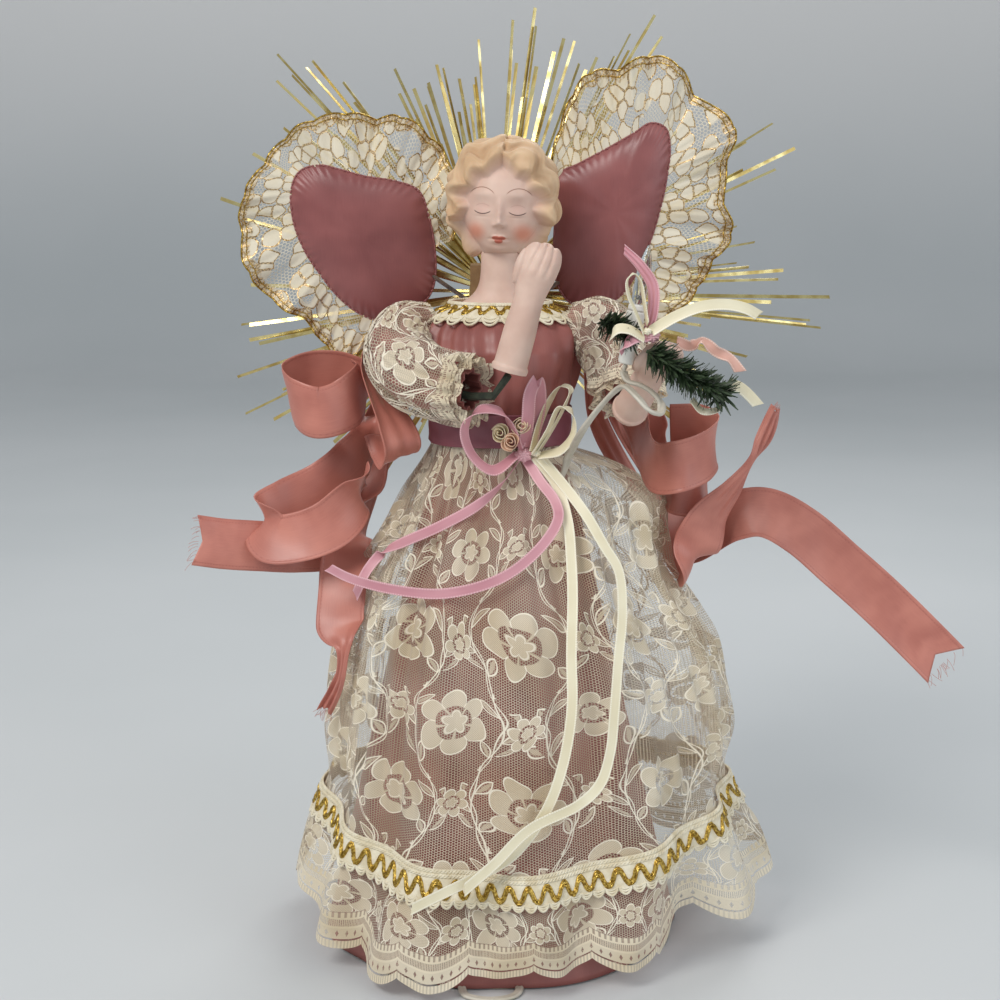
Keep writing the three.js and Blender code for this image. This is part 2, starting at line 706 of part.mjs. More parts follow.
const sleeveRadiusShares = [[0, 0.6], [0.2, 0.92], [0.45, 1], [0.75, 0.86], [1, 0.62]];
const sleeve_radius = 14.5;
const lace_sleeve_lift = 2.4;
const lace_sleeve_flare = 4.5;
const rightSleeveShares = [[-8.6, -0.6, 77.2], [-11.3, -2, 76.4], [-12.1, -4.6, 73.9], [-10, -7.4, 71.8],
  [-6, -10.1, 70.6], [-3.4, -11.7, 70.5]];
const leftSleeveShares = [[8.6, -0.6, 77.2], [11.9, -1.9, 76.4], [14.1, -4, 74.4], [15.1, -6.7, 71.2],
  [15, -8.3, 69.2]];

function sleeveGrid(shares, rows, columns, radiusAt) {
  const path = new THREE.CatmullRomCurve3(places(shares));
  const frames = path.computeFrenetFrames(rows);
  return Array.from({ length: rows + 1 }, (_, i) => Array.from({ length: columns }, (_, j) => {
    const angle = full_turn * j / columns;
    const radius = radiusAt(i / rows, angle);
    return path.getPointAt(i / rows).addScaledVector(frames.normals[i], radius * Math.cos(angle))
      .addScaledVector(frames.binormals[i], radius * Math.sin(angle));
  }));
}

function satinSleeve(shares) {
  return cloth(sleeveGrid(shares, 4, 11, (share, angle) => (
    sleeve_radius * through(sleeveRadiusShares, share) + satin_thickness / 2 * Math.cos(4 * angle))),
  satin_thickness, true);
}

function laceSleeveGrid(shares, grow) {
  return sleeveGrid(shares, 4, 15, (share, angle) => (
    sleeve_radius * through(sleeveRadiusShares, share) + satin_thickness / 2 + lace_sleeve_lift
    + lace_sleeve_flare * share ** 3 * (1 + 0.4 * Math.cos(5 * angle)) + grow));
}

function laceSleeve(shares) {
  return cloth(laceSleeveGrid(shares, 0), lace_thickness, true);
}

// A solid a little larger than a lace sleeve, to keep its neighbours clear
function laceSleeveSpace(side) {
  const shares = side === 'right' ? rightSleeveShares : leftSleeveShares;
  return skin(laceSleeveGrid(shares, lace_thickness / 2 + 3 * seat_gap));
}

function beltSpace() {
  const reach = belt_radius + 2 * ribbon_thickness;
  const [bottom, top] = [belt_bottom - overrun, belt_top + overrun];
  return roundCone([[0, bottom], [reach, bottom], [reach, top], [0, top]]);
}

for (const [side, shares] of [['right', rightSleeveShares], ['left', leftSleeveShares]]) {
  add(`${side}_sleeve_satin`, trim(satinSleeve(shares), bodiceSpace(), neckBraid(3 * seat_gap)), 'satin');
  add(`${side}_sleeve_lace`, trim(laceSleeve(shares), bodiceSpace(), neckBraid(3 * seat_gap),
    beltSpace()), 'lace');
}

// The back: a block glued behind the bodice holds the wings' wires and the tinsel

const block_width = 30;
const block_height = 39;
const block_rise = 18;
const block_top = neckline_height + block_rise;
const block_bottom = block_top - block_height;
const block_front = 24;
const block_back = 46.5;
const wing_plane = 37;
const wing_wire_radius = wing_wire_diameter / 2;
const wing_pivot_ball = 1.5 * wing_wire_radius;
const wing_pivot_reach = block_width / 2 + seat_gap + wing_pivot_ball;
const wing_pivot_height = neckline_height;

function wingAnchor() {
  const block = new THREE.BoxGeometry(block_width, block_back - block_front, block_top - block_bottom)
    .translate(0, (block_back + block_front) / 2, (block_top + block_bottom) / 2);
  return trim(block, bodiceSpace(), neckBraid(3 * seat_gap));
}

add('wing_anchor', wingAnchor(), 'wood');

// The wings: padded satin leaves with a crown, on wires that bend at the block

const wing_pad_thickness = 14;

const rightPadShares = [[-8.2, 83], [-8.9, 89.6], [-10.3, 93.2], [-13.2, 94.4], [-17, 95], [-20, 95.8],
  [-23, 96.4], [-25.3, 95.6], [-26.4, 93.4], [-26.2, 89.4], [-25, 86], [-23, 82.8], [-20.6, 79.8],
  [-17.8, 77.6],
  [-14.4, 76.6], [-11.4, 78], [-9, 80]];
const leftPadShares = [[6.9, 84], [7, 90], [7.4, 95.2], [10, 96.6], [13.4, 98.4], [16.6, 100.2],
  [19, 101.6],
  [20.8, 101], [21.4, 98.6], [21, 94.4], [20.2, 90.6], [19, 86.6], [17.4, 82.8], [15.2, 79.8], [12.2, 78.4],
  [9.4, 78.8], [7.6, 80.8]];

function padGeometry(shares, grow = 0) {
  const outline = new THREE.CatmullRomCurve3(shares.map(([x, z]) => place(x, 0, z)),
    true).getPoints(25).slice(0, -1);
  const centre = outline.reduce((sum, point) => sum.add(point),
    new THREE.Vector3()).divideScalar(outline.length);
  const levels = [-74, -40, 0, 40, 74].map(degrees);
  const rings = levels.map((level) => outline.map((point) => {
    const arm = point.clone().sub(centre);
    const reach = arm.length() * Math.cos(level) ** 0.6 + grow;
    const depth = (wing_pad_thickness / 2 + grow) * Math.sin(level);
    return centre.clone().add(arm.setLength(reach)).setY(wing_plane + depth);
  }));
  return skin(rings);
}

const wingWireTipShares = [11.5, 84.5];

function wingWirePoints(side) {
  const [across, up] = wingWireTipShares;
  const pivot = new THREE.Vector3(side * wing_pivot_reach, wing_plane, wing_pivot_height);
  const tip = place(side * across, 0, up).setY(wing_plane);
  return [pivot, pivot.clone().lerp(tip, 0.5), tip];
}

function wingWire(side) {
  const points = wingWirePoints(side);
  return join(tube(points, wing_wire_radius, 6, 1), ball(points[0], wing_pivot_ball, 6));
}

// The wings' lace: gathered round each pad from its inner edge, over the tip and back underneath.
// Each row is a place on the pad's edge and the lace's outer edge beside it.
const rightLaceShares = [[-8.6, 86, -6, 87], [-8.9, 89.6, -5.6, 92], [-10, 92.6, -6.8, 97],
  [-12, 94, -9, 99.8],
  [-14.5, 94.6, -12.4, 102.2], [-16.8, 95, -15.6, 102], [-19.4, 95.6, -19.4, 102.6],
  [-22.2, 96.2, -23.4, 101.8],
  [-24.6, 96, -27, 99.6], [-26, 95, -29.8, 96.4], [-26.4, 93, -32.2, 92.4], [-26.3, 90, -32.8, 87.8],
  [-25.3, 86.8, -31.8, 83], [-23.8, 84, -29, 79.6], [-22, 81.4, -25, 77.2], [-19.8, 79.2, -22.4, 73.8],
  [-17.2, 77.4, -19.8, 72], [-14.4, 76.6, -16.4, 74], [-12, 77.6, -13.2, 75.4]];
const leftLaceShares = [[6.9, 92, 5.4, 93.4], [7.3, 95, 6.4, 96.6], [9.2, 96.2, 7.6, 100.8],
  [11.4, 97.4, 9.2, 105],
  [13.6, 98.4, 11.4, 107.6], [16, 99.8, 14.8, 108], [18.4, 101.2, 18.6, 109.6], [20.4, 101.4, 22.2, 108.4],
  [21.4, 99.6, 24.4, 105], [21.4, 97.2, 29.2, 101.2], [20.8, 94, 28.6, 97], [20.4, 91.6, 28.2, 91.6],
  [19.7, 88.6, 29.4, 87.8], [18.8, 86, 27, 84.6], [17.8, 83.6, 25.2, 81], [16.2, 80.8, 22.8, 78.4],
  [14.4, 79.2, 19, 75.8], [12.4, 78.5, 15.4, 74.6]];
const wing_lace_wave = 4;
const wing_lace_tuck = 2.2;

function wingLaceGrid(shares) {
  const inner = new THREE.CatmullRomCurve3(shares.map(([x, z]) => place(x, 0, z)));
  const outer = new THREE.CatmullRomCurve3(shares.map(([, , x, z]) => place(x, 0, z)));
  const steps = 23;
  return Array.from({ length: steps + 1 }, (_, i) => {
    const from = inner.getPoint(i / steps);
    const to = outer.getPoint(i / steps);
    from.addScaledVector(to.clone().sub(from).normalize(), -wing_lace_tuck);
    const wave = wing_lace_wave * Math.sin(i * 2.4 + 0.9 * Math.sin(i * 0.8));
    return [0, 0.45, 1].map((share) => from.clone().lerp(to, share).setY(wing_plane + wave * share));
  });
}

for (const [name, side, padShares, laceShares] of [
  ['right', -1, rightPadShares, rightLaceShares],
  ['left', 1, leftPadShares, leftLaceShares],
]) {
  const [root, , tip] = wingWirePoints(side);
  const bore = tube([root, tip.clone().addScaledVector(tip.clone().sub(root).normalize(), seat_gap)],
    wing_wire_radius + seat_gap, 8, 1);
  add(`${name}_wing_pad`, trim(padGeometry(padShares), bore), 'satin');
  add(`${name}_wing_wire`, wingWire(side), 'steel_wire');
  const lace = cloth(wingLaceGrid(laceShares), lace_thickness);
  add(`${name}_wing_lace`, trim(lace, padGeometry(padShares, seat_gap), bore), 'lace');
}

// The tinsel: gold strips in bunches, fixed on a hub behind the block, leaning back as they spread

const tinsel_length = 180;
const tinsel_strip_width = 2.2;
const tinsel_strip_thickness = 0.9;
const tinsel_hub_radius = 14;
const tinsel_hub_depth = 4.4;
const tinsel_offset = -2;
const tinsel_rise = 3;
const tinsel_height = neckline_height + tinsel_rise;
const tinsel_centre = new THREE.Vector3(tinsel_offset, block_back + seat_gap, tinsel_height);
const tinsel_lean = degrees(11);

// [angle from the figure's left, spread, number of strips, length as a share of the reach]
const tinselBunchShares = [[80, 12, 4, 0.84], [68, 4, 2, 0.75], [58, 8, 3, 0.94], [100, 10, 4, 0.74],
  [113, 8, 3, 0.72], [131, 9, 4, 0.96], [143, 5, 2, 0.8], [151, 4, 2, 0.84], [164, 6, 2, 0.88],
  [178, 5, 1, 0.75],
  [190, 5, 2, 0.79], [203, 8, 3, 0.87], [213, 5, 2, 0.8], [224, 7, 3, 0.85], [237, 5, 2, 0.7],
  [-46, 5, 1, 0.6],
  [-34, 6, 3, 0.84], [-24, 5, 2, 0.78], [-14, 6, 3, 0.8], [-5, 5, 3, 1.03], [4, 4, 2, 0.88],
  [14, 5, 2, 0.8],
  [26, 8, 4, 1], [39, 7, 2, 0.72]];
const tinselLayers = 4;

function tinselStrip(angle, length, layer) {
  const inner = 0.85 * tinsel_hub_radius;
  const strip = new THREE.CylinderGeometry(tinsel_strip_width / 2, tinsel_strip_width / 2, length - inner,
    3)
    .rotateZ(Math.PI / 2).scale(1, tinsel_strip_thickness / tinsel_strip_width, 1)
    .translate((length + inner) / 2, 0, 0);
  return strip.rotateZ(tinsel_lean).rotateY(-angle).translate(0, layer, 0);
}

function tinselSpray() {
  const hub = new THREE.CylinderGeometry(tinsel_hub_radius, tinsel_hub_radius, tinsel_hub_depth, 12)
    .translate(0, tinsel_hub_depth / 2, 0);
  const strips = tinselBunchShares.flatMap(([angle, spread, count, lengthShare], bunch) => (
    Array.from({ length: count }, (_, i) => {
      const across = count > 1 ? i / (count - 1) - 0.5 : 0;
      const length = tinsel_length * lengthShare * (1 - 0.16 * ((i * 3) % 4) / 3);
      const layer = tinsel_hub_depth * ((i + bunch) % tinselLayers - 1.5) / (tinselLayers + 1);
      return tinselStrip(degrees(angle + spread * across), length, layer);
    })));
  return join(hub, ...strips).translate(...tinsel_centre.toArray());
}

add('tinsel_spray', tinselSpray(), 'gold');

// The forearms: moulded porcelain, a rim at the cuff and a closed fist, hollow at the elbow for the wire

const forearm_length = 62;
const cuff_radius = 8.7;
const elbow_recess_radius = 6.2;
const forearm_wire_length = 14;

// [share of the length, half width, half depth] as shares of the cuff's radius
const forearmShares = [[0, 1, 1], [0.035, 1, 1], [0.05, 0.92, 0.92], [0.56, 0.77, 0.74],
  [0.62, 0.83, 0.72], [0.7, 0.98, 0.8], [0.8, 1.04, 0.84], [0.9, 0.98, 0.78], [0.97, 0.7, 0.56],
  [1, 0.32, 0.26]];

function alongForearm(geometry, elbow, direction) {
  const turn = new THREE.Quaternion().setFromUnitVectors(new THREE.Vector3(0, 0, 1), direction);
  return geometry.applyQuaternion(turn).translate(...elbow.toArray());
}

function forearm(elbow, direction, grow = 0) {
  const rows = forearmShares.map(([share, width, depth]) => (
    [forearm_length * share, cuff_radius * width, cuff_radius * depth, 0]));
  const rings = ellipseRings(rows, 14, grow).map((ring) => ring.map((point) => {
    const knuckles = smooth(point.z / forearm_length, 0.72, 0.84) * (point.y < 0 ? 1 : 0);
    const groove = Math.abs(Math.cos(Math.PI * point.x / (0.5 * cuff_radius)));
    return point.setY(point.y * (1 - 0.1 * knuckles * (1 - groove)));
  }));
  const thumb = ball(new THREE.Vector3(-0.95 * cuff_radius, -0.25 * cuff_radius, 0.84 * forearm_length),
    0.3 * cuff_radius + grow, 6);
  return alongForearm(join(skin(rings), thumb), elbow, direction);
}

function forearmWirePoints(elbow, direction) {
  return [elbow_gap + wire_radius, forearm_wire_length]
    .map((reach) => elbow.clone().addScaledVector(direction, reach));
}

for (const [side, elbow, direction] of [
  ['right', right_elbow, right_forearm_direction],
  ['left', left_elbow, left_forearm_direction],
]) {
  const [near, far] = forearmWirePoints(elbow, direction);
  const bore = tube([near, far.clone().addScaledVector(direction, seat_gap)], wire_radius + seat_gap, 8, 1);
  const wire = join(tube([near, far], 0.97 * wire_radius, 6, 1), ball(near, wire_radius, 5));
  add(`${side}_forearm`, trim(forearm(elbow, direction), ball(elbow, elbow_recess_radius, 8), bore),
    'porcelain');
  add(`${side}_forearm_wire`, wire, 'dark_wire');
}

// The front bow: pink and cream loops, three rosebuds and four tails, tied on the belt

const pinkKnotShares = [2.8, -9.9, 62.5];
const creamKnotShares = [4.3, -10.1, 62.8];
const bow_knot_radius = 4.2;
const pinkLeftLoopShares = [[2.2, -9.9, 62.7, 0, 0.9, 0.4], [-0.9, -12, 61, 0, 0.8, 0.6],
  [-3.4, -12.8, 63.2, 0.5, 0.8, 0.2],
  [-4.1, -13.6, 66.4, 0.6, 0.8, 0], [-2.3, -13.6, 68.4, 0.1, 0.8, 0.5], [0.3, -12.8, 68, -0.3, 0.8, 0.5],
  [1.4, -11.4, 65.9, -0.5, 0.8, 0], [2.3, -10.3, 63.5, -0.5, 0.8, 0]];
const pinkUpLoopShares = [[2.9, -9.9, 63.2, 0.9, 0.4, 0], [3.3, -11.6, 67, 0.9, 0.3, 0],
  [3.6, -12.2, 70.3, 0.9, 0.3, 0],
  [4.3, -12.2, 71.6, 0.9, 0.4, 0], [4.7, -11.2, 70, 0.9, 0.4, 0], [4.4, -10.4, 66.7, 0.9, 0.4, 0],
  [3.4, -9.9, 63.3, 0.9, 0.4, 0]];
const creamBackLoopShares = [[3.9, -10, 63, 0.4, 0.8, -0.3], [4.7, -10.2, 66.2, 0.4, 0.8, -0.3],
  [6, -9.9, 69.1, 0.4, 0.8, -0.2], [7.3, -9.9, 70.8, 0.2, 0.9, 0], [8.2, -10.9, 70.4, 0.2, 0.9, 0.2],
  [7.4, -11.3, 68.2, 0.3, 0.9, 0], [5.9, -10.9, 65.2, 0.3, 0.9, 0], [4.6, -10, 63, 0.3, 0.9, 0]];
const creamFrontLoopShares = [[4.2, -10.2, 62.8, 0.3, 0.9, -0.2], [5.7, -12.1, 65.8, 0.3, 0.9, -0.2],
  [7.1, -12.8, 68.6, 0.3, 0.9, -0.2], [8.4, -13, 68.1, 0, 0.9, 0.3], [8.6, -12.6, 65.6, -0.3, 0.9, 0],
  [7.2, -11.8, 63.4, -0.3, 0.9, 0.3], [4.8, -10.2, 62.5, 0, 0.9, 0.3]];

function pinkBow(grow = 0) {
  const loops = [[pinkLeftLoopShares, 12], [pinkUpLoopShares, 9]].map(([rows, steps]) => (
    ribbon(rows, bow_ribbon_width, steps, { grow })));
  return join(ball(place(...pinkKnotShares), bow_knot_radius + grow, 8), ...loops);
}

function creamBow(grow = 0) {
  const loops = [creamBackLoopShares, creamFrontLoopShares].map((rows) => (
    ribbon(rows, bow_ribbon_width, 8, { grow })));
  return join(ball(place(...creamKnotShares), bow_knot_radius / 2 + grow, 6), ...loops);
}

add('bow_pink_loops', trim(pinkBow(), beltSpace(), laceSleeveSpace('right')), 'pink_ribbon');
add('bow_cream_loops', trim(creamBow(), beltSpace(), pinkBow(seat_gap)), 'cream_ribbon');

const rosebud_radius = 3.4;
const rosebudShares = [[0, -11.2, 65.3], [1.3, -11.4, 64.3], [2.3, -11, 66.2]];

rosebudShares.forEach((share, i) => {
  const earlier = rosebudShares.slice(0, i).map((other) => (
    ball(place(...other), rosebud_radius + seat_gap, 8)));
  const bud = trim(ball(place(...share), rosebud_radius, 8), beltSpace(), pinkBow(seat_gap),
    creamBow(seat_gap), ...earlier);
  add(`rosebud_${i + 1}`, bud, 'cream_ribbon');
});

// The bow's tails lie on the lace, clear of its folds
const pinkTailLeftShares = [[2.4, -9.4, 61.8, 0.6, 0, 0.8], [0, -11, 58.9, 0.6, 0, 0.8],
  [-2.9, -11.9, 56.6, 0.4, 0, 0.9],
  [-7.2, -11.4, 54.1, 0.2, 0, 1], [-11.6, -9.6, 51.8, 0.3, 0, 1], [-14.2, -7.8, 50.2, 0.8, 0, 0.6],
  [-16.2, -8, 47.9, 1, -0.3, 0], [-17.6, -8.8, 45, 0.8, -0.5, 0]];
const pinkTailAcrossShares = [[3.2, -9.5, 61.8, 0.9, 0, 0.4], [4.8, -11.2, 59.5, 0.9, 0, 0.4],
  [6.5, -12.6, 57.4, 1, 0, 0.2],
  [6.9, -13.6, 55.7, 1, 0, -0.2], [5.3, -15.2, 53, 0.7, 0, -0.7], [0.5, -17.2, 49.3, 0.3, 0, -1],
  [-6.1, -17.2, 47.3, 0, 0, -1], [-12.8, -14, 47, 0, 0, -1], [-18, -11.6, 47.8, 0.2, 0, -1],
  [-20.6, -10.4, 48.8, 0.2, 0, -1]];
const creamTailLongShares = [[4.2, -9.9, 62.3, 0.9, 0, 0.4], [6.7, -10.7, 59, 0.9, 0, 0.4],
  [8, -13, 55.1, 1, 0, 0.2],
  [8.4, -15, 50.6, 1, 0, 0], [8.5, -17, 46.7, 1, 0, 0], [8.3, -19.8, 40.7, 1, 0, 0],
  [8.3, -21.8, 34.4, 1, 0, 0],
  [7.2, -22.9, 27.9, 0.9, 0, -0.3], [5.3, -23.8, 22.9, 0.8, 0, -0.5], [1.4, -24.9, 17.9, 0.7, 0, -0.7],
  [-2.4, -25.4, 15.7, 0.5, 0, -0.8], [-7, -26.4, 13.7, 0.5, 0, -0.8], [-10.2, -26.6, 12.1, 0.5, 0, -0.8]];
const creamTailWideShares = [[4.6, -9.9, 62.4, 0.9, 0.2, 0.5], [7.4, -10.8, 59.2, 0.9, 0, 0.4],
  [10.1, -12.8, 55.9, 0.9, 0, 0.3],
  [12.4, -13.9, 52.1, 0.9, 0.3, 0.2], [14, -14.4, 49.4, 0.9, 0.4, 0.1], [14.4, -16.2, 44.8, 0.9, 0.4, 0],
  [13.8, -19, 39.5, 0.9, 0.4, 0], [13.3, -21, 34.1, 0.9, 0.3, 0], [12.8, -22.1, 29.5, 0.9, 0.3, 0],
  [11.6, -23.1, 26, 0.9, 0, -0.4], [9.1, -24.3, 23.9, 0.6, 0, -0.8], [3.4, -25.4, 21.3, 0.4, 0, -0.9],
  [-0.6, -26, 17.4, 0.6, 0, -0.8], [-4.1, -26.8, 14.5, 0.6, 0, -0.8]];

const tails = [
  ['pink_tail_left', pinkTailLeftShares, 14, 'pink_ribbon'],
  ['cream_tail_long', creamTailLongShares, 20, 'cream_ribbon'],
  ['cream_tail_wide', creamTailWideShares, 22, 'cream_ribbon'],
  ['pink_tail_across', pinkTailAcrossShares, 16, 'pink_ribbon'],
];

tails.forEach(([name, rows, steps, finish], i) => {
  const earlier = tails.slice(0, i).map(([, other, otherSteps]) => (
    ribbon(other, tail_ribbon_width, otherSteps, { grow: seat_gap })));
  const tail = trim(ribbon(rows, tail_ribbon_width, steps), pinkBow(seat_gap), creamBow(seat_gap),
    beltSpace(),
    ...earlier);
  add(name, tail, finish);
});

// The streamers: hemmed ribbon in loops and tails behind each arm, gathered into a knot sewn to the bodice

const streamer_knot_radius = 9.5;
const streamerKnotShares = [10.6, 4.4, 76];
const gathered = (share) => 0.3 + 0.7 * smooth(share, 0, 0.3);

function streamerKnot(side, grow = 0) {
  const centre = place(...streamerKnotShares).multiply(new THREE.Vector3(side, 1, 1));
  return ball(centre, streamer_knot_radius + grow, 8);
}

const rightUpperShares = [[-12, 3, 76.5, 0.2, 0.95, 0.2], [-15, 1.5, 74, 0.3, 0.85, 0.4],
  [-16.5, -1, 71, 0.3, 0.6, 0.75],
  [-18.5, -4.5, 68, 0, 0.2, 1], [-22, -6, 67, -0.1, 0.1, 1], [-25.2, -4, 68, -0.2, 0, 1],
  [-26, -1, 69.5, -0.2, 0, 1],
  [-24, 1.5, 70.5, 0, 0, 1], [-20.5, 2.5, 70.5, 0.1, 0, 1], [-17, 3.4, 69, 0.1, 0, 1]];
const rightFrontShares = [[-13, 3.5, 77, 0.1, 0.95, 0.2], [-15.8, 1.5, 74.2, 0.1, 0.95, 0.2],
  [-16, -1.6, 71.8, 0.2, 0.95, 0.1], [-14.5, -4.4, 68.5, 0.6, 0.75, -0.2],
  [-12.6, -6.6, 65.5, 0.85, 0.5, 0],
  [-11.8, -7, 63, 0.9, 0.4, 0.2], [-12.6, -5.2, 61.2, 0.9, 0.3, 0.4], [-13.6, -2.2, 61.8, 0.8, 0.5, 0.3],
  [-14.6, 0, 63.5, 0.7, 0.7, 0.2]];
const rightLowerShares = [[-12, 5, 74, 0.7, 0.6, 0.3], [-14, 5.4, 69, 0.6, 0.5, 0.5],
  [-16, 4.8, 64, 0.3, 0.3, 0.9],
  [-18.4, 2.6, 60, 0.3, 0.3, 0.9], [-22, 0, 57, 0.3, 0.3, 0.9], [-26.5, -2, 55, 0.3, 0.3, 0.9],
  [-29.2, -3.8, 53.4, 0.3, 0.3, 0.9], [-28, -6, 51.5, 0.3, 0.3, 0.9], [-24, -7, 52, 0.3, 0.3, 0.9],
  [-20.4, -6.4, 53.5, 0.3, 0.3, 0.9], [-17.6, -4.5, 56.5, 0.3, 0.3, 0.9], [-16.6, -2.4, 59, 0.3, 0.3, 0.9]];
const rightSideTailShares = [[-12.4, 7, 73, 0.9, 0.3, 0], [-15, 9, 66, 0.9, 0.3, 0],
  [-17.4, 7.6, 58, 0.8, 0.2, 0.4],
  [-18.4, 4.5, 52.5, 0.3, 0.1, 0.9], [-20.8, 0.4, 49.6, 0, 0.2, 1], [-25, -2, 49.5, 0, 0.2, 1],
  [-29.8, -3.5, 50, 0, 0.2, 1], [-34, -4.5, 50.5, 0, 0.3, 1], [-37.5, -5.5, 51.2, 0, 0.3, 1]];
const rightDownTailShares = [[-11.6, 7.4, 72, 0.9, 0.3, 0], [-13.5, 10.5, 64, 0.8, 0.4, 0],
  [-17, 8.5, 56, 0.5, 0.8, 0],
  [-19, 3, 52, 0.4, 0.9, 0], [-19, -2.4, 49.5, 0.8, 0.5, 0], [-19.3, -6.2, 45.5, 0.9, -0.3, 0],
  [-19.5, -8.2, 41.5, 0.9, -0.3, 0], [-19, -10.2, 39, 0.6, -0.7, 0], [-19.3, -10.2, 35.5, 0.4, -0.8, 0],
  [-20.4, -8.6, 32.5, 0.7, -0.7, 0], [-21.8, -7.4, 29.8, 0.9, -0.3, 0.3]];
const leftCupShares = [[12.4, 4.4, 75, 0.8, 0.1, 0.5], [15, 6, 71, 0.8, 0.1, 0.5],
  [17.4, 4, 66.6, 0.4, 0.2, 0.9],
  [17.8, 0, 62.8, 0.1, 0.2, 1], [19, -6, 60.3, 0, 0.1, 1], [21.6, -9, 61, 0, 0, 1],
  [24.8, -7.5, 62, 0, 0, 1],
  [26.5, -3.5, 63.2, 0, 0, 1], [25, 0.5, 64, 0, 0, 1], [21.4, 2.4, 63.8, 0, 0, 1]];
const leftFoldShares = [[12.8, 6, 74, 0.8, 0.2, 0.5], [16, 9.6, 68, 0.7, 0.2, 0.6],
  [19.4, 8, 61.5, 0.3, 0.1, 0.9],
  [20.8, 2.6, 58.4, 0.1, 0, 1], [21.6, -2.4, 57, 0, 0, 1], [24.4, -2.6, 56.7, 0, 0, 1],
  [26.2, 1.6, 57.2, 0, 0, 1]];
const leftUpTailShares = [[12.4, 7.2, 73, 0.9, 0.2, 0], [15, 12, 65, 0.8, 0.4, 0],
  [19.4, 11.6, 57, 0.5, 0.7, 0],
  [22.8, 6, 51.5, 0.3, 0.9, 0.2], [23.6, 0.4, 48.5, 0.1, 0.9, 0.4], [23.8, -4, 47.8, 0.3, 0.5, 0.7],
  [24.6, -4.8, 51, 0.7, 0.2, -0.5], [25.8, -4.8, 54, 0.7, 0.3, -0.5], [28.6, -4.6, 57.5, 0.6, 0.5, -0.5],
  [31, -4, 61, 0.3, 0.9, -0.2], [32.6, -3.6, 64, 0.8, 0.4, -0.3], [33.9, -3, 67.4, 0.5, 0.8, 0]];
const leftLongTailShares = [[11.4, 8, 72, 0.9, 0.2, 0], [13, 14, 63, 0.8, 0.4, 0],
  [18, 15, 54, 0.5, 0.7, 0],
  [22.4, 10, 49.2, 0.3, 0.4, 0.9], [24.8, 3.4, 49.4, 0.1, 0.2, 1], [29.2, -2, 53.5, -0.1, 0.3, 0.9],
  [32.8, -3.5, 54.2, 0.3, 0.3, 0.9], [37, -4.5, 52.2, 0.6, 0.2, 0.8], [42, -5, 48, 0.65, 0.1, 0.75],
  [46.8, -6, 43.8, 0.65, 0.1, 0.75], [51.8, -7, 39, 0.65, 0.1, 0.75], [55, -7.5, 35.8, 0.65, 0.1, 0.75]];

const tapering = (low, high, least) => (share) => gathered(share) * (1 - (1 - least) * smooth(share, low,
  high));

const streamers = {
  right: [
    ['front', rightFrontShares, 12, { narrowing: (share) => gathered(share) * 0.7 }],
    ['upper', rightUpperShares, 12, { narrowing: gathered }],
    ['lower', rightLowerShares, 15, { narrowing: gathered }],
    ['side_tail', rightSideTailShares, 12, { narrowing: gathered, notch: streamer_width / 4 }],
    ['down_tail', rightDownTailShares, 12, { narrowing: tapering(0.6, 0.75, 0.3),
    notch: streamer_width / 5 }],
  ],
  left: [
    ['cup', leftCupShares, 13, { narrowing: gathered }],
    ['fold', leftFoldShares, 9, { narrowing: gathered }],
    ['up_tail', leftUpTailShares, 15, { narrowing: tapering(0.55, 0.8, 0.35), notch: streamer_width / 6 }],
    ['long_tail', leftLongTailShares, 12, { narrowing: gathered, notch: streamer_width / 2 }],
  ],
};

for (const [side, pieces] of Object.entries(streamers)) {
  const sign = side === 'right' ? -1 : 1;
  add(`${side}_streamer_knot`, trim(streamerKnot(sign), bodiceSpace(), laceSleeveSpace(side)),
    'rose_ribbon');
  pieces.forEach(([name, rows, steps, options], i) => {
    const earlier = pieces.slice(0, i).map(([, otherRows, otherSteps, otherOptions]) => (
      ribbon(otherRows, streamer_width, otherSteps, { ...otherOptions, grow: seat_gap })));
    const piece = trim(ribbon(rows, streamer_width, steps, options), streamerKnot(sign, seat_gap),
      bodiceSpace(),
      laceSleeveSpace(side), ...earlier);
    add(`${side}_streamer_${name}`, piece, 'rose_ribbon');
  });
}

// The bouquet: two tinsel-pine sprigs, small bows, a rosette and ribbon ends, tied round the lamp holder

const sprig_core_radius = 1.1;
const main_needle_reach = 9;
const small_needle_reach = 7;
const mainNeedles = 13;
const smallNeedles = 7;
const sprigMainShares = [[16.2, -24.4, 76.4], [18.2, -24.6, 75.2], [20.4, -24.6, 73.9],
  [22.7, -24.4, 72.7], [24.9, -23.6, 71.4]];
const sprigSmallShares = [[11.4, -21.4, 79.4], [12.9, -22.6, 78.9], [14.6, -23.8, 78]];

function sprig(shares, needles, reach) {
  const path = new THREE.CatmullRomCurve3(places(shares));
  const frames = path.computeFrenetFrames(needles);
  const spikes = Array.from({ length: needles }, (_, i) => {
    const along = (i + 0.5) / needles;
    const angle = i * full_turn * 0.382;
    const direction = frames.tangents[i].clone().multiplyScalar(0.5)
      .addScaledVector(frames.normals[i], Math.cos(angle)).addScaledVector(frames.binormals[i],
        Math.sin(angle));
    return turned([[0, 0], [sprig_core_radius / 2, 0],
      [0, reach]], 3, path.getPointAt(along), direction.normalize());
  });
  return join(tube(path.points, sprig_core_radius, 6, 6), ...spikes);
}

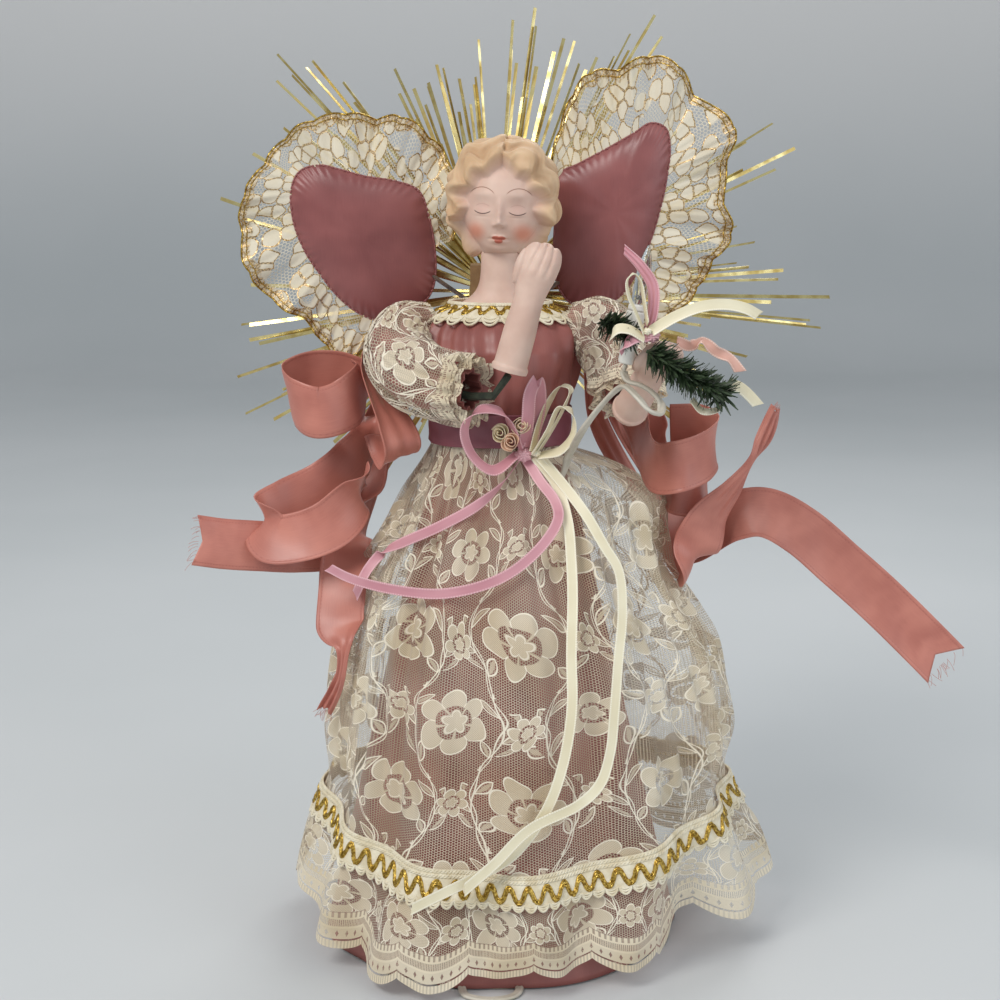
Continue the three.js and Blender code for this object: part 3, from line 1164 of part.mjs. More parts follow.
const bouquetKnotShares = [16.8, -23.8, 78];
const creamBouquetKnotShares = [16.2, -24.4, 78.6];
const ribbonEndKnotShares = [25.5, -22.6, 72.1];
const bouquet_knot_radius = 3.4;
const bouquetPinkSpikeShares = [[16.3, -23.9, 78.6, 0.9, -0.2, 0.2], [16.8, -24.2, 80.9, 0.9, -0.2, 0.2],
  [16.7, -24.2, 83.6, 0.9, -0.2, 0.3], [15.3, -24.2, 85.8, 0.7, -0.3, 0.5],
  [13.6, -23.9, 87.5, 0.5, -0.3, 0.7]];
const bouquetPinkStrayShares = [[16.2, -24, 78, 0, 0.4, 0.9], [14.7, -25, 77.9, 0, 0.4, 0.9],
  [13.8, -25, 77.2, 0.4, 0.4, 0.8],
  [13.2, -24.7, 76.3, 0.7, 0.4, 0.4]];
const bouquetCreamLoopShares = [[15.9, -24.2, 78.4, 0.3, 0.9, 0], [14.9, -25, 80.7, 0.3, 0.9, 0],
  [14, -25.4, 82.8, 0.3, 0.9, 0],
  [13.9, -25.4, 84.3, 0.2, 0.9, 0], [14.6, -25.2, 84.9, 0, 1, 0], [15.3, -24.9, 84, -0.2, 0.9, 0],
  [15.7, -24.7, 82, -0.2, 0.9, 0], [16.2, -24.3, 79.2, -0.2, 0.9, 0]];
const bouquetCreamTailShares = [[16.6, -24.3, 78.6, -0.3, 0.3, 0.9], [19.2, -24.6, 80.2, -0.3, 0.3, 0.9],
  [22, -24.6, 81.3, 0, 0.3, 1], [24.8, -24, 81.5, 0, 0.3, 1], [27.1, -23.4, 81, 0.2, 0.3, 1],
  [28.6, -22.8, 80.2, 0.3, 0.3, 1]];
const bouquetCreamStrayShares = [[15.9, -24.4, 77.8, 0, 0.6, 0.8], [14.1, -25.2, 78.9, 0, 0.6, 0.8],
  [12.8, -25.2, 78.9, 0, 0.6, 0.8], [12, -24.8, 77.6, 0.5, 0.6, 0.6]];
const rosetteRibbonShares = [[19.6, -23, 77.4, 0.4, 0.7, 0.5], [21.1, -22.6, 76.8, 0.4, -0.2, 0.8],
  [22.4, -22.6, 77.4, 0.4, 0.8, 0.4], [24, -22.4, 76.2, 0.5, -0.2, 0.8], [25.6, -22, 75.4, 0.5, 0.6, 0.5],
  [26.9, -21.5, 73.8, 0.6, 0, 0.7]];
const creamLowLoopShares = [[21.3, -23.2, 70.9, 0.3, 0.8, 0.4], [22.5, -23.4, 69.6, 0.3, 0.8, 0.4],
  [24.3, -23.2, 69.8, 0.3, 0.8, 0.4], [25.6, -22.6, 71.6, 0.3, 0.8, 0.3]];
const creamEndShares = [[25.4, -22.6, 72.6, 0.6, 0.2, 0.7], [26.8, -22, 72.1, 0.6, 0.2, 0.7],
  [28, -21.6, 71.1, 0.6, 0.2, 0.7],
  [29, -21.3, 70, 0.6, 0.2, 0.7]];

const lamp_direction = new THREE.Vector3(0.182, 0, 0.983).normalize();
const lampFootShares = [14.1, -20.8, 74.6];
const lamp_foot = place(...lampFootShares);
const holder_length = 24;
const holder_radius = 4.2;
const holder_bore_radius = 3.1;
const holder_bore_depth = 14;
const lamp_base_radius = holder_bore_radius - seat_gap;
const lamp_collar_radius = 3.9;
const lamp_collar_height = 2.7;
const glass_radius = 3.2;
const glass_length = 26.7;
const lamp_radius_clear = holder_radius + seat_gap;

const leftForearmSpace = () => forearm(left_elbow, left_forearm_direction, seat_gap);
const lampSpaceProfile = [[0, -overrun], [lamp_radius_clear, -overrun],
  [lamp_radius_clear, 2.4 * holder_length],
  [0, 2.4 * holder_length]];
const lampSpace = () => turned(lampSpaceProfile, 10, lamp_foot, lamp_direction);

function bouquetPink(grow = 0) {
  return join(ball(place(...bouquetKnotShares), bouquet_knot_radius + grow, 6),
    ribbon(bouquetPinkSpikeShares, bow_ribbon_width, 6, { grow,
      narrowing: (share) => 0.6 + 0.8 * share * (1 - share) }),
    ribbon(bouquetPinkStrayShares, tail_ribbon_width, 4, { grow }));
}

function bouquetCream(grow = 0) {
  return join(ribbon(bouquetCreamLoopShares, tail_ribbon_width, 9, { grow }),
    ribbon(bouquetCreamTailShares, tail_ribbon_width, 7, { grow }), ribbon(bouquetCreamStrayShares,
      tail_ribbon_width, 4, { grow }),
    ball(place(...creamBouquetKnotShares), bouquet_knot_radius / 2 + grow, 6));
}

const bouquetHolds = [leftForearmSpace(), lampSpace()];
add('bouquet_pink_bow', trim(bouquetPink(), ...bouquetHolds), 'pink_ribbon');
add('bouquet_cream_bow', trim(bouquetCream(), ...bouquetHolds, bouquetPink(seat_gap)), 'cream_ribbon');
bouquetHolds.push(bouquetPink(seat_gap), bouquetCream(seat_gap));
add('sprig_main', trim(sprig(sprigMainShares, mainNeedles, main_needle_reach), ...bouquetHolds),
  'greenery');
add('sprig_small', trim(sprig(sprigSmallShares, smallNeedles, small_needle_reach), ...bouquetHolds),
  'greenery');
bouquetHolds.push(sprig(sprigMainShares, mainNeedles, main_needle_reach + seat_gap));

const ribbonEnds = [['bouquet_rosette', [rosetteRibbonShares], 'peach_ribbon'],
  ['bouquet_cream_end', [creamLowLoopShares, creamEndShares], 'cream_ribbon']];
for (const [name, routes, finish] of ribbonEnds) {
  const bands = routes.map((rows) => ribbon(rows, tail_ribbon_width, 6));
  const seam = routes.length > 1 ? [ball(place(...ribbonEndKnotShares), 0.75 * bouquet_knot_radius,
    6)] : [];
  add(name, trim(join(...bands, ...seam), ...bouquetHolds), finish);
}

// The lamp: a pointed miniature bulb whose base pulls out of its holder

const lampAt = (height) => lamp_foot.clone().addScaledVector(lamp_direction, height);
const bore_floor = holder_length - holder_bore_depth;

const holder_profile = [[0, 0], [holder_radius, 0], [holder_radius, holder_length],
  [holder_bore_radius, holder_length], [holder_bore_radius, bore_floor], [0, bore_floor]];
add('lamp_holder', turned(holder_profile, 10, lamp_foot, lamp_direction), 'white_plastic');

const base_length = holder_bore_depth;
const lamp_base_profile = [[0, 0], [lamp_base_radius, 0], [lamp_base_radius, base_length],
  [lamp_collar_radius, base_length], [lamp_collar_radius, base_length + lamp_collar_height],
  [0, base_length + lamp_collar_height]];
add('lamp_base', turned(lamp_base_profile, 10, lampAt(bore_floor + seat_gap), lamp_direction),
  'white_plastic');

const glass_foot = bore_floor + 2 * seat_gap + base_length + lamp_collar_height;
const glass_profile = [[0, 0], [1, 0], [1, 0.55], [0.8, 0.75], [0.35, 0.93], [0, 1]]
  .map(([radius, share]) => [glass_radius * radius, glass_length * share]);
add('lamp_glass', turned(glass_profile, 10, lampAt(glass_foot), lamp_direction), 'glass');

// The leads: up inside the cone, out through the lace to the lamp, and the cord from the foot

function flatLead(points, steps, sides, upright = false) {
  const section = new THREE.Shape();
  const half = [lead_height / 2, lead_width / 2];
  if (upright) half.reverse();
  section.absellipse(0, 0, half[0], half[1], 0, full_turn);
  const extrudePath = new THREE.CatmullRomCurve3(points, false, 'centripetal');
  return new THREE.ExtrudeGeometry(section, { extrudePath, steps, curveSegments: sides / 2 });
}

const lead_floor = seat_gap + lead_height / 2;
const cord_inner_end = 84;
const lead_splice_radius = 38;
const leadRiseAngle = degrees(-82);
const leadRiseShares = [0.08, 0.3, 0.55, 0.8, 0.93];
const holeAt = (radius) => polar(lead_hole_angle, radius, lead_hole_height);

const lampLeadRoute = [[6.5, -7.8, 59.5], [7.3, -8.6, 59.7], [7.8, -9.2, 60.8], [8.1, -10.2, 62.3],
  [8.6, -12.6, 63.8],
  [9, -15.6, 65.3], [9.9, -17.9, 67.3], [11.3, -19.5, 69.5], [12.8, -20.8, 71.4], [13.9, -22.6, 72.3],
  [15.3, -24.2, 71.2], [16.5, -24.8, 69.9], [17.7, -24, 69.4], [18, -22.9, 70.3], [17.1, -22.4, 71.5],
  [15.6, -22, 72.4], [14.4, -21.4, 72.7]];

const lampLeadStart = holeAt(lead_splice_radius + seat_gap);
const lampLeadEnd = [lampAt(-lead_width), lampAt(-seat_gap)];
add('lamp_lead', flatLead([lampLeadStart, ...places(lampLeadRoute), ...lampLeadEnd], 27, 6), 'lead');

function innerLead() {
  const start = [new THREE.Vector3(cord_exit.x, seat_gap - cord_inner_end, lead_floor),
    new THREE.Vector3(cord_exit.x, 2 * lead_width - cord_inner_end, 1.5 * lead_floor)];
  const rise = leadRiseShares.map((share) => {
    const z = lead_hole_height * share;
    const angle = leadRiseAngle + (lead_hole_angle - leadRiseAngle) * share;
    return polar(angle, coreRadius(z) - core_wall - 1.6 * lead_width, z);
  });
  const throughHole = [-2, -1,
    0].map((widths) => holeAt(coreRadius(lead_hole_height) + widths * lead_width));
  return flatLead([...start, ...rise, ...throughHole, holeAt(lead_splice_radius)], 21, 6, true);
}

add('inner_lead', innerLead(), 'lead');

// The cord's way along the floor: a small loop out at the front, back under the foot and out behind
const coil_centre_x = 19;
const coil_centre_y = 145;
const coil_centre = new THREE.Vector3(coil_centre_x, coil_centre_y, 0);
const coil_outer_radius = 29;
const coil_pitch = 4.5;
const coil_layer_pitch = 2.5;
const turnsPerLayer = 3;
const coilTurns = 2 * turnsPerLayer + 0.25;
const stepsPerTurn = 12;
const coil_start = coil_centre.y - 1.4 * lead_width;
const coil_lead_out = 26;
const plug_height = 5.6;

const cordRoute = [[9, -84], [9, -92], [6.5, -97.5], [0, -101], [-9, -101], [-16, -97], [-18, -90],
  [-18, -80], [-17, -60],
  [-12, -20], [-8, 20], [-9, 60], [-10, 84], [-10, 100], [-10, 120], [-10, coil_start - seat_gap]];

add('cord_run', flatLead(cordRoute.map(([x, y]) => new THREE.Vector3(x, y, lead_floor)), 25, 8), 'lead');

// The coil: three turns in, a climb at the inside, three turns out above them
function coilCentreLine() {
  const middle = turnsPerLayer + 0.25;
  const upper = lead_floor + coil_layer_pitch;
  const count = Math.round(coilTurns * stepsPerTurn);
  const points = Array.from({ length: count + 1 }, (_, i) => {
    const turn = coilTurns * i / count;
    const radius = coil_outer_radius - coil_pitch * (middle - Math.abs(turn - middle));
    const climb = lead_floor + coil_layer_pitch * smooth(turn, middle - 0.25, middle + 0.25);
    const rise = (plug_height - upper) * smooth(turn, coilTurns - 0.3, coilTurns);
    return polar(Math.PI - full_turn * turn, radius, climb + rise).add(coil_centre);
  });
  const last = points[points.length - 1].clone();
  return [points[0].clone().setY(coil_start), ...points, last.setX(last.x + coil_lead_out)];
}

function coilRing(line, i) {
  const along = line[Math.min(i + 1, line.length - 1)].clone().sub(line[Math.max(i - 1,
    0)]).setZ(0).normalize();
  const across = new THREE.Vector3(along.y, -along.x, 0);
  const corners = [[2, 0], [1, 1], [-1, 1], [-2, 0], [-1, -1], [1, -1]];
  return corners.map(([sideways, up]) => line[i].clone().addScaledVector(across, sideways * lead_width / 4)
    .add(new THREE.Vector3(0, 0, up * lead_height / 2)));
}

function coilGap(rings) {
  const apart = (a, b) => Math.min(...a.flatMap((p) => b.map((q) => p.distanceTo(q))));
  let least = Infinity;
  rings.forEach((ring, i) => {
    for (let j = i + stepsPerTurn / 2; j < rings.length; j += 1) least = Math.min(least, apart(ring,
      rings[j]));
  });
  return least;
}

const coilLine = coilCentreLine();
const coilRings = coilLine.map((_, i) => coilRing(coilLine, i));
console.log(`coil: least gap to itself ${coilGap(coilRings).toFixed(2)} mm`);
add('cord_coil', skin(coilRings), 'lead');

// The plug: a moulded body with two flat blades, lying beside the coil
const plug_length = 22;
const plug_width = 15;
const blade_length = 15;
const blade_width = 6.3;
const blade_thickness = 1.5;
const blade_spacing = 12.7;

function plug() {
  const { x, y } = coilLine[coilLine.length - 1];
  const depth = 2 * (plug_height - seat_gap);
  const face = x + seat_gap;
  const body = new THREE.BoxGeometry(plug_length, plug_width + blade_thickness, depth)
    .translate(face + plug_length / 2, y, plug_height);
  const blades = [-1, 1].map((side) => new THREE.BoxGeometry(blade_length + overrun, blade_thickness,
    blade_width)
    .translate(face + plug_length + (blade_length - overrun) / 2, y + side * blade_spacing / 2,
      plug_height));
  return join(body, ...blades);
}

add('plug_body', plug(), 'white_plastic');

export default topper;
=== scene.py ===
# %% [markdown]
# # An angel tree topper with a lamp in its bouquet
# The real one is a card cone that slips over the tip of a tree. It wears satin and lace, and carries a
# porcelain head, two porcelain forearms on a bendable wire, two padded wings, a spray of gold tinsel and
# many ribbons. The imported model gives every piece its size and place. This lesson dresses it.

# %% The frame
import json
import math

import bpy
import numpy as np
from mathutils import Vector
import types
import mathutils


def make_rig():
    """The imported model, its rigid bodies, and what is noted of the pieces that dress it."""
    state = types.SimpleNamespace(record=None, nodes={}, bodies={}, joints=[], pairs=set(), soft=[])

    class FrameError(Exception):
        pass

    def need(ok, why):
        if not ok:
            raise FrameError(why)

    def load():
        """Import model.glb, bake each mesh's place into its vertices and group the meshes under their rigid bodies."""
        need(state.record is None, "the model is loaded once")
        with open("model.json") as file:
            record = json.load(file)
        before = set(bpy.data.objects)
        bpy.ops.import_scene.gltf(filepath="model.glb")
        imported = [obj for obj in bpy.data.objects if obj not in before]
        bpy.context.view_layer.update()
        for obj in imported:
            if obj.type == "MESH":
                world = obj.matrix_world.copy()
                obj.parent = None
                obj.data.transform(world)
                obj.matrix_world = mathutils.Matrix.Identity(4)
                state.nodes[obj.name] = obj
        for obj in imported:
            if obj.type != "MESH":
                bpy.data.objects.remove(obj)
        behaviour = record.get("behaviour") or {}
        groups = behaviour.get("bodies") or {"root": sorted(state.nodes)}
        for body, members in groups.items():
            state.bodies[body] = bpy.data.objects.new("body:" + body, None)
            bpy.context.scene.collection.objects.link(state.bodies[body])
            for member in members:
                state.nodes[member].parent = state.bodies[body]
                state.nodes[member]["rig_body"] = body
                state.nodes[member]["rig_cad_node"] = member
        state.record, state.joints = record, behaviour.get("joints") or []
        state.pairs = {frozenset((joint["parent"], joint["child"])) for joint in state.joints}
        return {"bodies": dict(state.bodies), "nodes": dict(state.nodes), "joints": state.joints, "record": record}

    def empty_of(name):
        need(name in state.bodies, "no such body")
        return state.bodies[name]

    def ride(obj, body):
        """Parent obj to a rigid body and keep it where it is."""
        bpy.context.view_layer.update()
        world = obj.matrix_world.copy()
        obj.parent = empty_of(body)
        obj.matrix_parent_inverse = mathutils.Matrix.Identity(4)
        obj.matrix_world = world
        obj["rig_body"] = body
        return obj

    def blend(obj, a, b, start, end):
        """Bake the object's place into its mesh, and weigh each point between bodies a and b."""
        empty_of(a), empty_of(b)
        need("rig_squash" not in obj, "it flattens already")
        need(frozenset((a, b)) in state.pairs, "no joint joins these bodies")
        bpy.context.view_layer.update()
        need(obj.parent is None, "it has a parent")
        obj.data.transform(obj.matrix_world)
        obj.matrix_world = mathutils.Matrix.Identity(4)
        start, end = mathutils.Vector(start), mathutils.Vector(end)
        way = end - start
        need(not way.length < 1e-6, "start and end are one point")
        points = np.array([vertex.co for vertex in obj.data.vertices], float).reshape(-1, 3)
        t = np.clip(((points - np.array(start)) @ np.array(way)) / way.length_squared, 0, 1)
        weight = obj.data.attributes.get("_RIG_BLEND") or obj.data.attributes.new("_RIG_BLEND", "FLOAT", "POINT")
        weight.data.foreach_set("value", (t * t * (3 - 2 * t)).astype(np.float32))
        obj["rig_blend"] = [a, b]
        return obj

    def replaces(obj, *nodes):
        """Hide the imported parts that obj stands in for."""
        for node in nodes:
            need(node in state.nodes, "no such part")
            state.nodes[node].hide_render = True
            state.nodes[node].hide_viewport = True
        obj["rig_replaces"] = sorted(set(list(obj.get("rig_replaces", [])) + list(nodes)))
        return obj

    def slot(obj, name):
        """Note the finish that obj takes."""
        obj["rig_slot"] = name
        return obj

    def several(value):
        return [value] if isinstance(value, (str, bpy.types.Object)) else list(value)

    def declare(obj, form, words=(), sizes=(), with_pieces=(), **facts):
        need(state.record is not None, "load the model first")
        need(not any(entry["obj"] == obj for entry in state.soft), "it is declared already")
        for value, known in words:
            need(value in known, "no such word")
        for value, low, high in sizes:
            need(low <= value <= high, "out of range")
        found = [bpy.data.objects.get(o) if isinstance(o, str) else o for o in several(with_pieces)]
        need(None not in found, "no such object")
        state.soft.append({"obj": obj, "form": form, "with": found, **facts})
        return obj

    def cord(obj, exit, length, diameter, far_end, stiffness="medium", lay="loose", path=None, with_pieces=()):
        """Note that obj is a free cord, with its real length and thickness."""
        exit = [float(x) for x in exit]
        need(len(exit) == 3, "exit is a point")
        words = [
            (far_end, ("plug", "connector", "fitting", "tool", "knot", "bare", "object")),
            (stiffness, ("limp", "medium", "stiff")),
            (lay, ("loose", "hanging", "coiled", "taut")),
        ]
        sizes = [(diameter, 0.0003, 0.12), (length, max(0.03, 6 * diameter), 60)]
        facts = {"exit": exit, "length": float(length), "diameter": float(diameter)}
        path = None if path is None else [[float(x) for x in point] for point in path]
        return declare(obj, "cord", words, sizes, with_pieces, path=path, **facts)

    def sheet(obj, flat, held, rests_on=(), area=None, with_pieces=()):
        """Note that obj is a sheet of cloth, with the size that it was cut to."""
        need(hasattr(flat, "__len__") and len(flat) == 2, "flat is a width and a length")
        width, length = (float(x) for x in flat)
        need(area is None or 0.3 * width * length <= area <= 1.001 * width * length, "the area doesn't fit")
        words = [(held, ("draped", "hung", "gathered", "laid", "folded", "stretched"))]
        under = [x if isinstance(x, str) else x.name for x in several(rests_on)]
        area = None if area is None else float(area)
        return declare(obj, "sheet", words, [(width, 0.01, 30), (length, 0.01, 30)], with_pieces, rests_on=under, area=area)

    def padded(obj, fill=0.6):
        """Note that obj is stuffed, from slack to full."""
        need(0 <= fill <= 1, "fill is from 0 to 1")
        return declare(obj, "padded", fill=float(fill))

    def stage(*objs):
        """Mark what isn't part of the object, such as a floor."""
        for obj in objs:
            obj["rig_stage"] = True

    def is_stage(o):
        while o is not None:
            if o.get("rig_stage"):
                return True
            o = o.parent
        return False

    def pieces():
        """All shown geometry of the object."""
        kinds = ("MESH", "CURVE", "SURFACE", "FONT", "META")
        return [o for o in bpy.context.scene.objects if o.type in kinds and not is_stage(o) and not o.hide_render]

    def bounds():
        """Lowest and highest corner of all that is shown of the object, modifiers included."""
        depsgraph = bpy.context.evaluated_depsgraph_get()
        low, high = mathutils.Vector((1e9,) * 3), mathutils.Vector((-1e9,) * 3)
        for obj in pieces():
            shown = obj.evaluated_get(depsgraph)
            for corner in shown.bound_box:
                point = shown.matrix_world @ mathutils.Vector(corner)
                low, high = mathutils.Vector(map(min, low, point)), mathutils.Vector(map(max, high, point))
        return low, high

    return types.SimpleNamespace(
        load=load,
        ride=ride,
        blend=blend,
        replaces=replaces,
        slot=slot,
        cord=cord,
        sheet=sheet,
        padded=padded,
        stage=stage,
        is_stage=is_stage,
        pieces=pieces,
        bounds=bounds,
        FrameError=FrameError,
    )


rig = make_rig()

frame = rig.load()
cad_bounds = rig.bounds()
mm = 0.001
figure_height = 400 * mm
share_unit = figure_height / 100
full_turn = 2 * math.pi
print("the solids' box in metres:", cad_bounds)

# %% [markdown]
# ## Camera
# The photograph looks slightly down on the figure from nearly a metre away. A long lens keeps the skirt
# from swelling towards us. The camera is placed first, because the cord's coil has to stay out of its view.

# %% The camera
camera_distance = 0.9
camera_height = 0.39
camera_pitch = math.radians(10.66)
sensor_width = 36.0
focal_length = 65.74

lens = bpy.data.cameras.new("camera")
lens.sensor_width = sensor_width
lens.lens = focal_length
camera = bpy.data.objects.new("camera", lens)
bpy.context.collection.objects.link(camera)
camera.location = (0, -camera_distance, camera_height)
camera.rotation_euler = (math.pi / 2 - camera_pitch, 0, 0)
bpy.context.scene.camera = camera
print("the camera stands at", tuple(camera.location))

# %% [markdown]
# ## Small tools
# Cloth is easiest to think of as a flat piece that is then laid in its place. So each piece of cloth here
# starts as a grid primitive with its own UV map, and every point of it is moved to where it hangs. The UV
# map keeps the flat size in metres, so a weave or a lace pattern has its real scale on every piece.

# %% Selecting, joining and applying
def nothing_selected():
    if bpy.context.object and bpy.context.object.mode != "OBJECT":
        bpy.ops.object.mode_set(mode="OBJECT")
    bpy.ops.object.select_all(action="DESELECT")


def active(piece):
    nothing_selected()
    piece.select_set(True)
    bpy.context.view_layer.objects.active = piece
    return piece


def apply_modifier(piece, kind, **settings):
    active(piece)
    modifier = piece.modifiers.new(kind.lower(), kind)
    for name, value in settings.items():
        setattr(modifier, name, value)
    bpy.ops.object.modifier_apply(modifier=modifier.name)


def ball(segments, rings):
    """A sphere of radius 1 to shape, and the way out at each of its points."""
    nothing_selected()
    bpy.ops.mesh.primitive_uv_sphere_add(segments=segments, ring_count=rings, radius=1)
    piece = bpy.context.active_object
    return piece, unit(points_of(piece))


def joined(name, pieces):
    active(pieces[0])
    for piece in pieces:
        piece.select_set(True)
    if len(pieces) > 1:
        bpy.ops.object.join()
    piece = bpy.context.active_object
    piece.name = piece.data.name = name
    return piece


def settled(piece):
    """Puts an object's place, turn and size into its mesh, so that the object sits at the origin."""
    active(piece)
    bpy.ops.object.transform_apply(location=True, rotation=True, scale=True)
    return piece


def edited(piece, operator, **settings):
    """Runs one edit-mode operator on the whole mesh."""
    active(piece)
    bpy.ops.object.mode_set(mode="EDIT")
    bpy.ops.mesh.select_all(action="SELECT")
    operator(**settings)
    bpy.ops.object.mode_set(mode="OBJECT")


def faced_out(piece):
    edited(piece, bpy.ops.mesh.normals_make_consistent, inside=False)
    return piece


def from_points(name, points, edges, faces):
    mesh = bpy.data.meshes.new(name)
    mesh.from_pydata(points, edges, faces)
    piece = bpy.data.objects.new(name, mesh)
    bpy.context.collection.objects.link(piece)
    return active(piece)


def points_of(piece):
    points = np.empty(3 * len(piece.data.vertices))
    piece.data.vertices.foreach_get("co", points)
    return points.reshape(-1, 3)


def move_points(piece, points):
    piece.data.vertices.foreach_set("co", np.ascontiguousarray(points, dtype=float).ravel())
    piece.data.update()


# %% Laying a flat cloth in its place
def laid(name, columns, rows, place, flat, closed=False, thickness=0.0):
    """A cloth of flat = (width, length): place moves its points, given as shares across and along."""
    nothing_selected()
    bpy.ops.mesh.primitive_grid_add(x_subdivisions=columns, y_subdivisions=rows, size=1)
    piece = bpy.context.active_object
    piece.name = piece.data.name = name
    grid = points_of(piece) + 0.5
    move_points(piece, place(grid[:, 0], grid[:, 1]))
    layer = piece.data.uv_layers.active.data
    places = np.empty(2 * len(layer))
    layer.foreach_get("uv", places)
    layer.foreach_set("uv", (places.reshape(-1, 2) * np.array(flat)).ravel())
    if closed:
        edited(piece, bpy.ops.mesh.remove_doubles, threshold=1e-6)
    if thickness:
        apply_modifier(piece, "SOLIDIFY", thickness=thickness, offset=0.0, use_even_offset=False)
    active(piece)
    bpy.ops.object.shade_smooth()
    return piece


def stack(x, y, z):
    return np.stack([x, y, z], axis=1)


def ring(angle, radius, z):
    return stack(radius * np.cos(angle), radius * np.sin(angle), z)


def ease(value, low, high):
    share = np.clip((value - low) / (high - low), 0, 1)
    return share * share * (3 - 2 * share)


def through(rows, x):
    """A smooth value at x through [x, value] rows, without overshoot."""
    table = np.array(rows, dtype=float)
    slopes = np.diff(table[:, 1]) / np.diff(table[:, 0])
    before, after = slopes[:-1], slopes[1:]
    both = before * after
    total = np.where(before + after == 0, 1, before + after)
    tangents = np.concatenate([[0], np.where(both <= 0, 0, 2 * both / total), [0]])
    i = np.clip(np.searchsorted(table[:, 0], x) - 1, 0, len(table) - 2)
    span = table[i + 1, 0] - table[i, 0]
    t = np.clip((x - table[i, 0]) / span, 0, 1)
    rise = table[i + 1, 1] - table[i, 1]
    ends = (t**3 - 2 * t**2 + t) * tangents[i] * span + (t**3 - t**2) * tangents[i + 1] * span
    return table[i, 1] + rise * (3 * t**2 - 2 * t**3) + ends


# %% A smooth line through points
def spline(points, shares):
    """Places at shares of the way along a smooth line through points, which it follows closely."""
    points = np.array(points, dtype=float)
    ends = [2 * points[0] - points[1]], [2 * points[-1] - points[-2]]
    knots = np.concatenate([ends[0], points, ends[1]])
    shares = np.atleast_1d(shares)
    where = np.clip(shares, 0, 1) * (len(points) - 1)
    i = np.minimum(where.astype(int), len(points) - 2)
    weight = (where - i)[:, None]
    p0, p1, p2, p3 = (knots[i + k] for k in range(4))
    d0, d1, d2 = (np.maximum(np.linalg.norm(b - a, axis=1), 1e-9)[:, None] ** 0.5
                  for a, b in ((p0, p1), (p1, p2), (p2, p3)))
    t1 = ((p1 - p0) / d0 - (p2 - p0) / (d0 + d1) + (p2 - p1) / d1) * d1
    t2 = ((p2 - p1) / d1 - (p3 - p1) / (d1 + d2) + (p3 - p2) / d2) * d1
    c2 = -3 * p1 + 3 * p2 - 2 * t1 - t2
    c3 = 2 * p1 - 2 * p2 + t1 + t2
    return p1 + t1 * weight + c2 * weight**2 + c3 * weight**3


def between(table, where):
    """Rows of a table of places, read at numbers that may lie between two of them."""
    return np.stack([np.interp(where, np.arange(len(table)), column) for column in np.transpose(table)], axis=1)


def unit(vectors):
    return vectors / np.maximum(np.linalg.norm(vectors, axis=-1, keepdims=True), 1e-12)


def length_of(line):
    return float(np.linalg.norm(np.diff(line, axis=0), axis=1).sum())


def place(shares):
    """Hundredths of the figure's height, in metres."""
    return np.array(shares, dtype=float) * share_unit


# %% A thread or wire along a line
def thread(name, line, radius, closed=False, sides=2):
    curve = bpy.data.curves.new(name, "CURVE")
    curve.dimensions = "3D"
    curve.bevel_depth = radius
    curve.bevel_resolution = sides
    curve.use_fill_caps = True
    strand = curve.splines.new("POLY")
    strand.points.add(len(line) - 1)
    strand.points.foreach_set("co", np.column_stack([line, np.ones(len(line))]).ravel())
    strand.use_cyclic_u = closed
    piece = bpy.data.objects.new(name, curve)
    bpy.context.collection.objects.link(piece)
    active(piece)
    bpy.ops.object.convert(target="MESH")
    bpy.ops.object.shade_smooth()
    return bpy.context.active_object


# %% Naming what a piece rides on, replaces and is made of
def dress(piece, material, body, slot, *nodes):
    if material:
        piece.data.materials.clear()
        piece.data.materials.append(material)
    if body:
        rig.ride(piece, body)
    if nodes:
        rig.replaces(piece, *nodes)
    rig.slot(piece, slot)
    print(f"{piece.name}: {len(piece.data.polygons)} faces")
    return piece

# %% [markdown]
# ## Cords
# The lamp's lead is twin flat cord: two thin wires side by side under one plastic skin. It leaves the foot,
# shows as a small arc in front, goes back under the cone and out behind, where the spare length lies in a
# coil with its plug. A curve with a bevel would give a round cord, so the section of twin cord, two circles
# with a waist between them, is carried along the route instead.

# %% The route of the cord
lead_width = 4 * mm
lead_height = 2 * mm
lead_floor = 1.3 * mm
coil_centre = np.array([19, 145]) * mm
coil_outer_radius = 29 * mm
coil_pitch = 4.5 * mm
coil_layer_pitch = 2.5 * mm
turns_per_layer = 3
coil_turns = 2 * turns_per_layer + 0.25
coil_start = coil_centre[1] - 1.4 * lead_width
coil_lead_out = 26 * mm
plug_height = 5.6 * mm
cord_route = np.array([
    [9, -84], [9, -92], [6.5, -97.5], [0, -101], [-9, -101], [-16, -97], [-18, -90], [-18, -80], [-17, -60],
    [-12, -20], [-8, 20], [-9, 60], [-10, 84], [-10, 100], [-10, 120]]) * mm


def coil_line(steps_per_turn=48):
    middle = turns_per_layer + 0.25
    turn = np.linspace(0, coil_turns, int(coil_turns * steps_per_turn))
    radius = coil_outer_radius - coil_pitch * (middle - np.abs(turn - middle))
    climb = lead_floor + coil_layer_pitch * ease(turn, middle - 0.25, middle + 0.25)
    rise = (plug_height - lead_floor - coil_layer_pitch) * ease(turn, coil_turns - 0.3, coil_turns)
    angle = math.pi - full_turn * turn
    turns = stack(coil_centre[0] + radius * np.cos(angle), coil_centre[1] + radius * np.sin(angle), climb + rise)
    start = turns[0] * [1, 0, 1] + [0, coil_start, 0]
    return np.concatenate([[start], turns, [turns[-1] + [coil_lead_out, 0, 0]]])


def floor_line(steps=180):
    flat = spline(np.column_stack([cord_route, np.full(len(cord_route), lead_floor)]), np.linspace(0, 1, steps))
    return np.concatenate([flat, coil_line()])


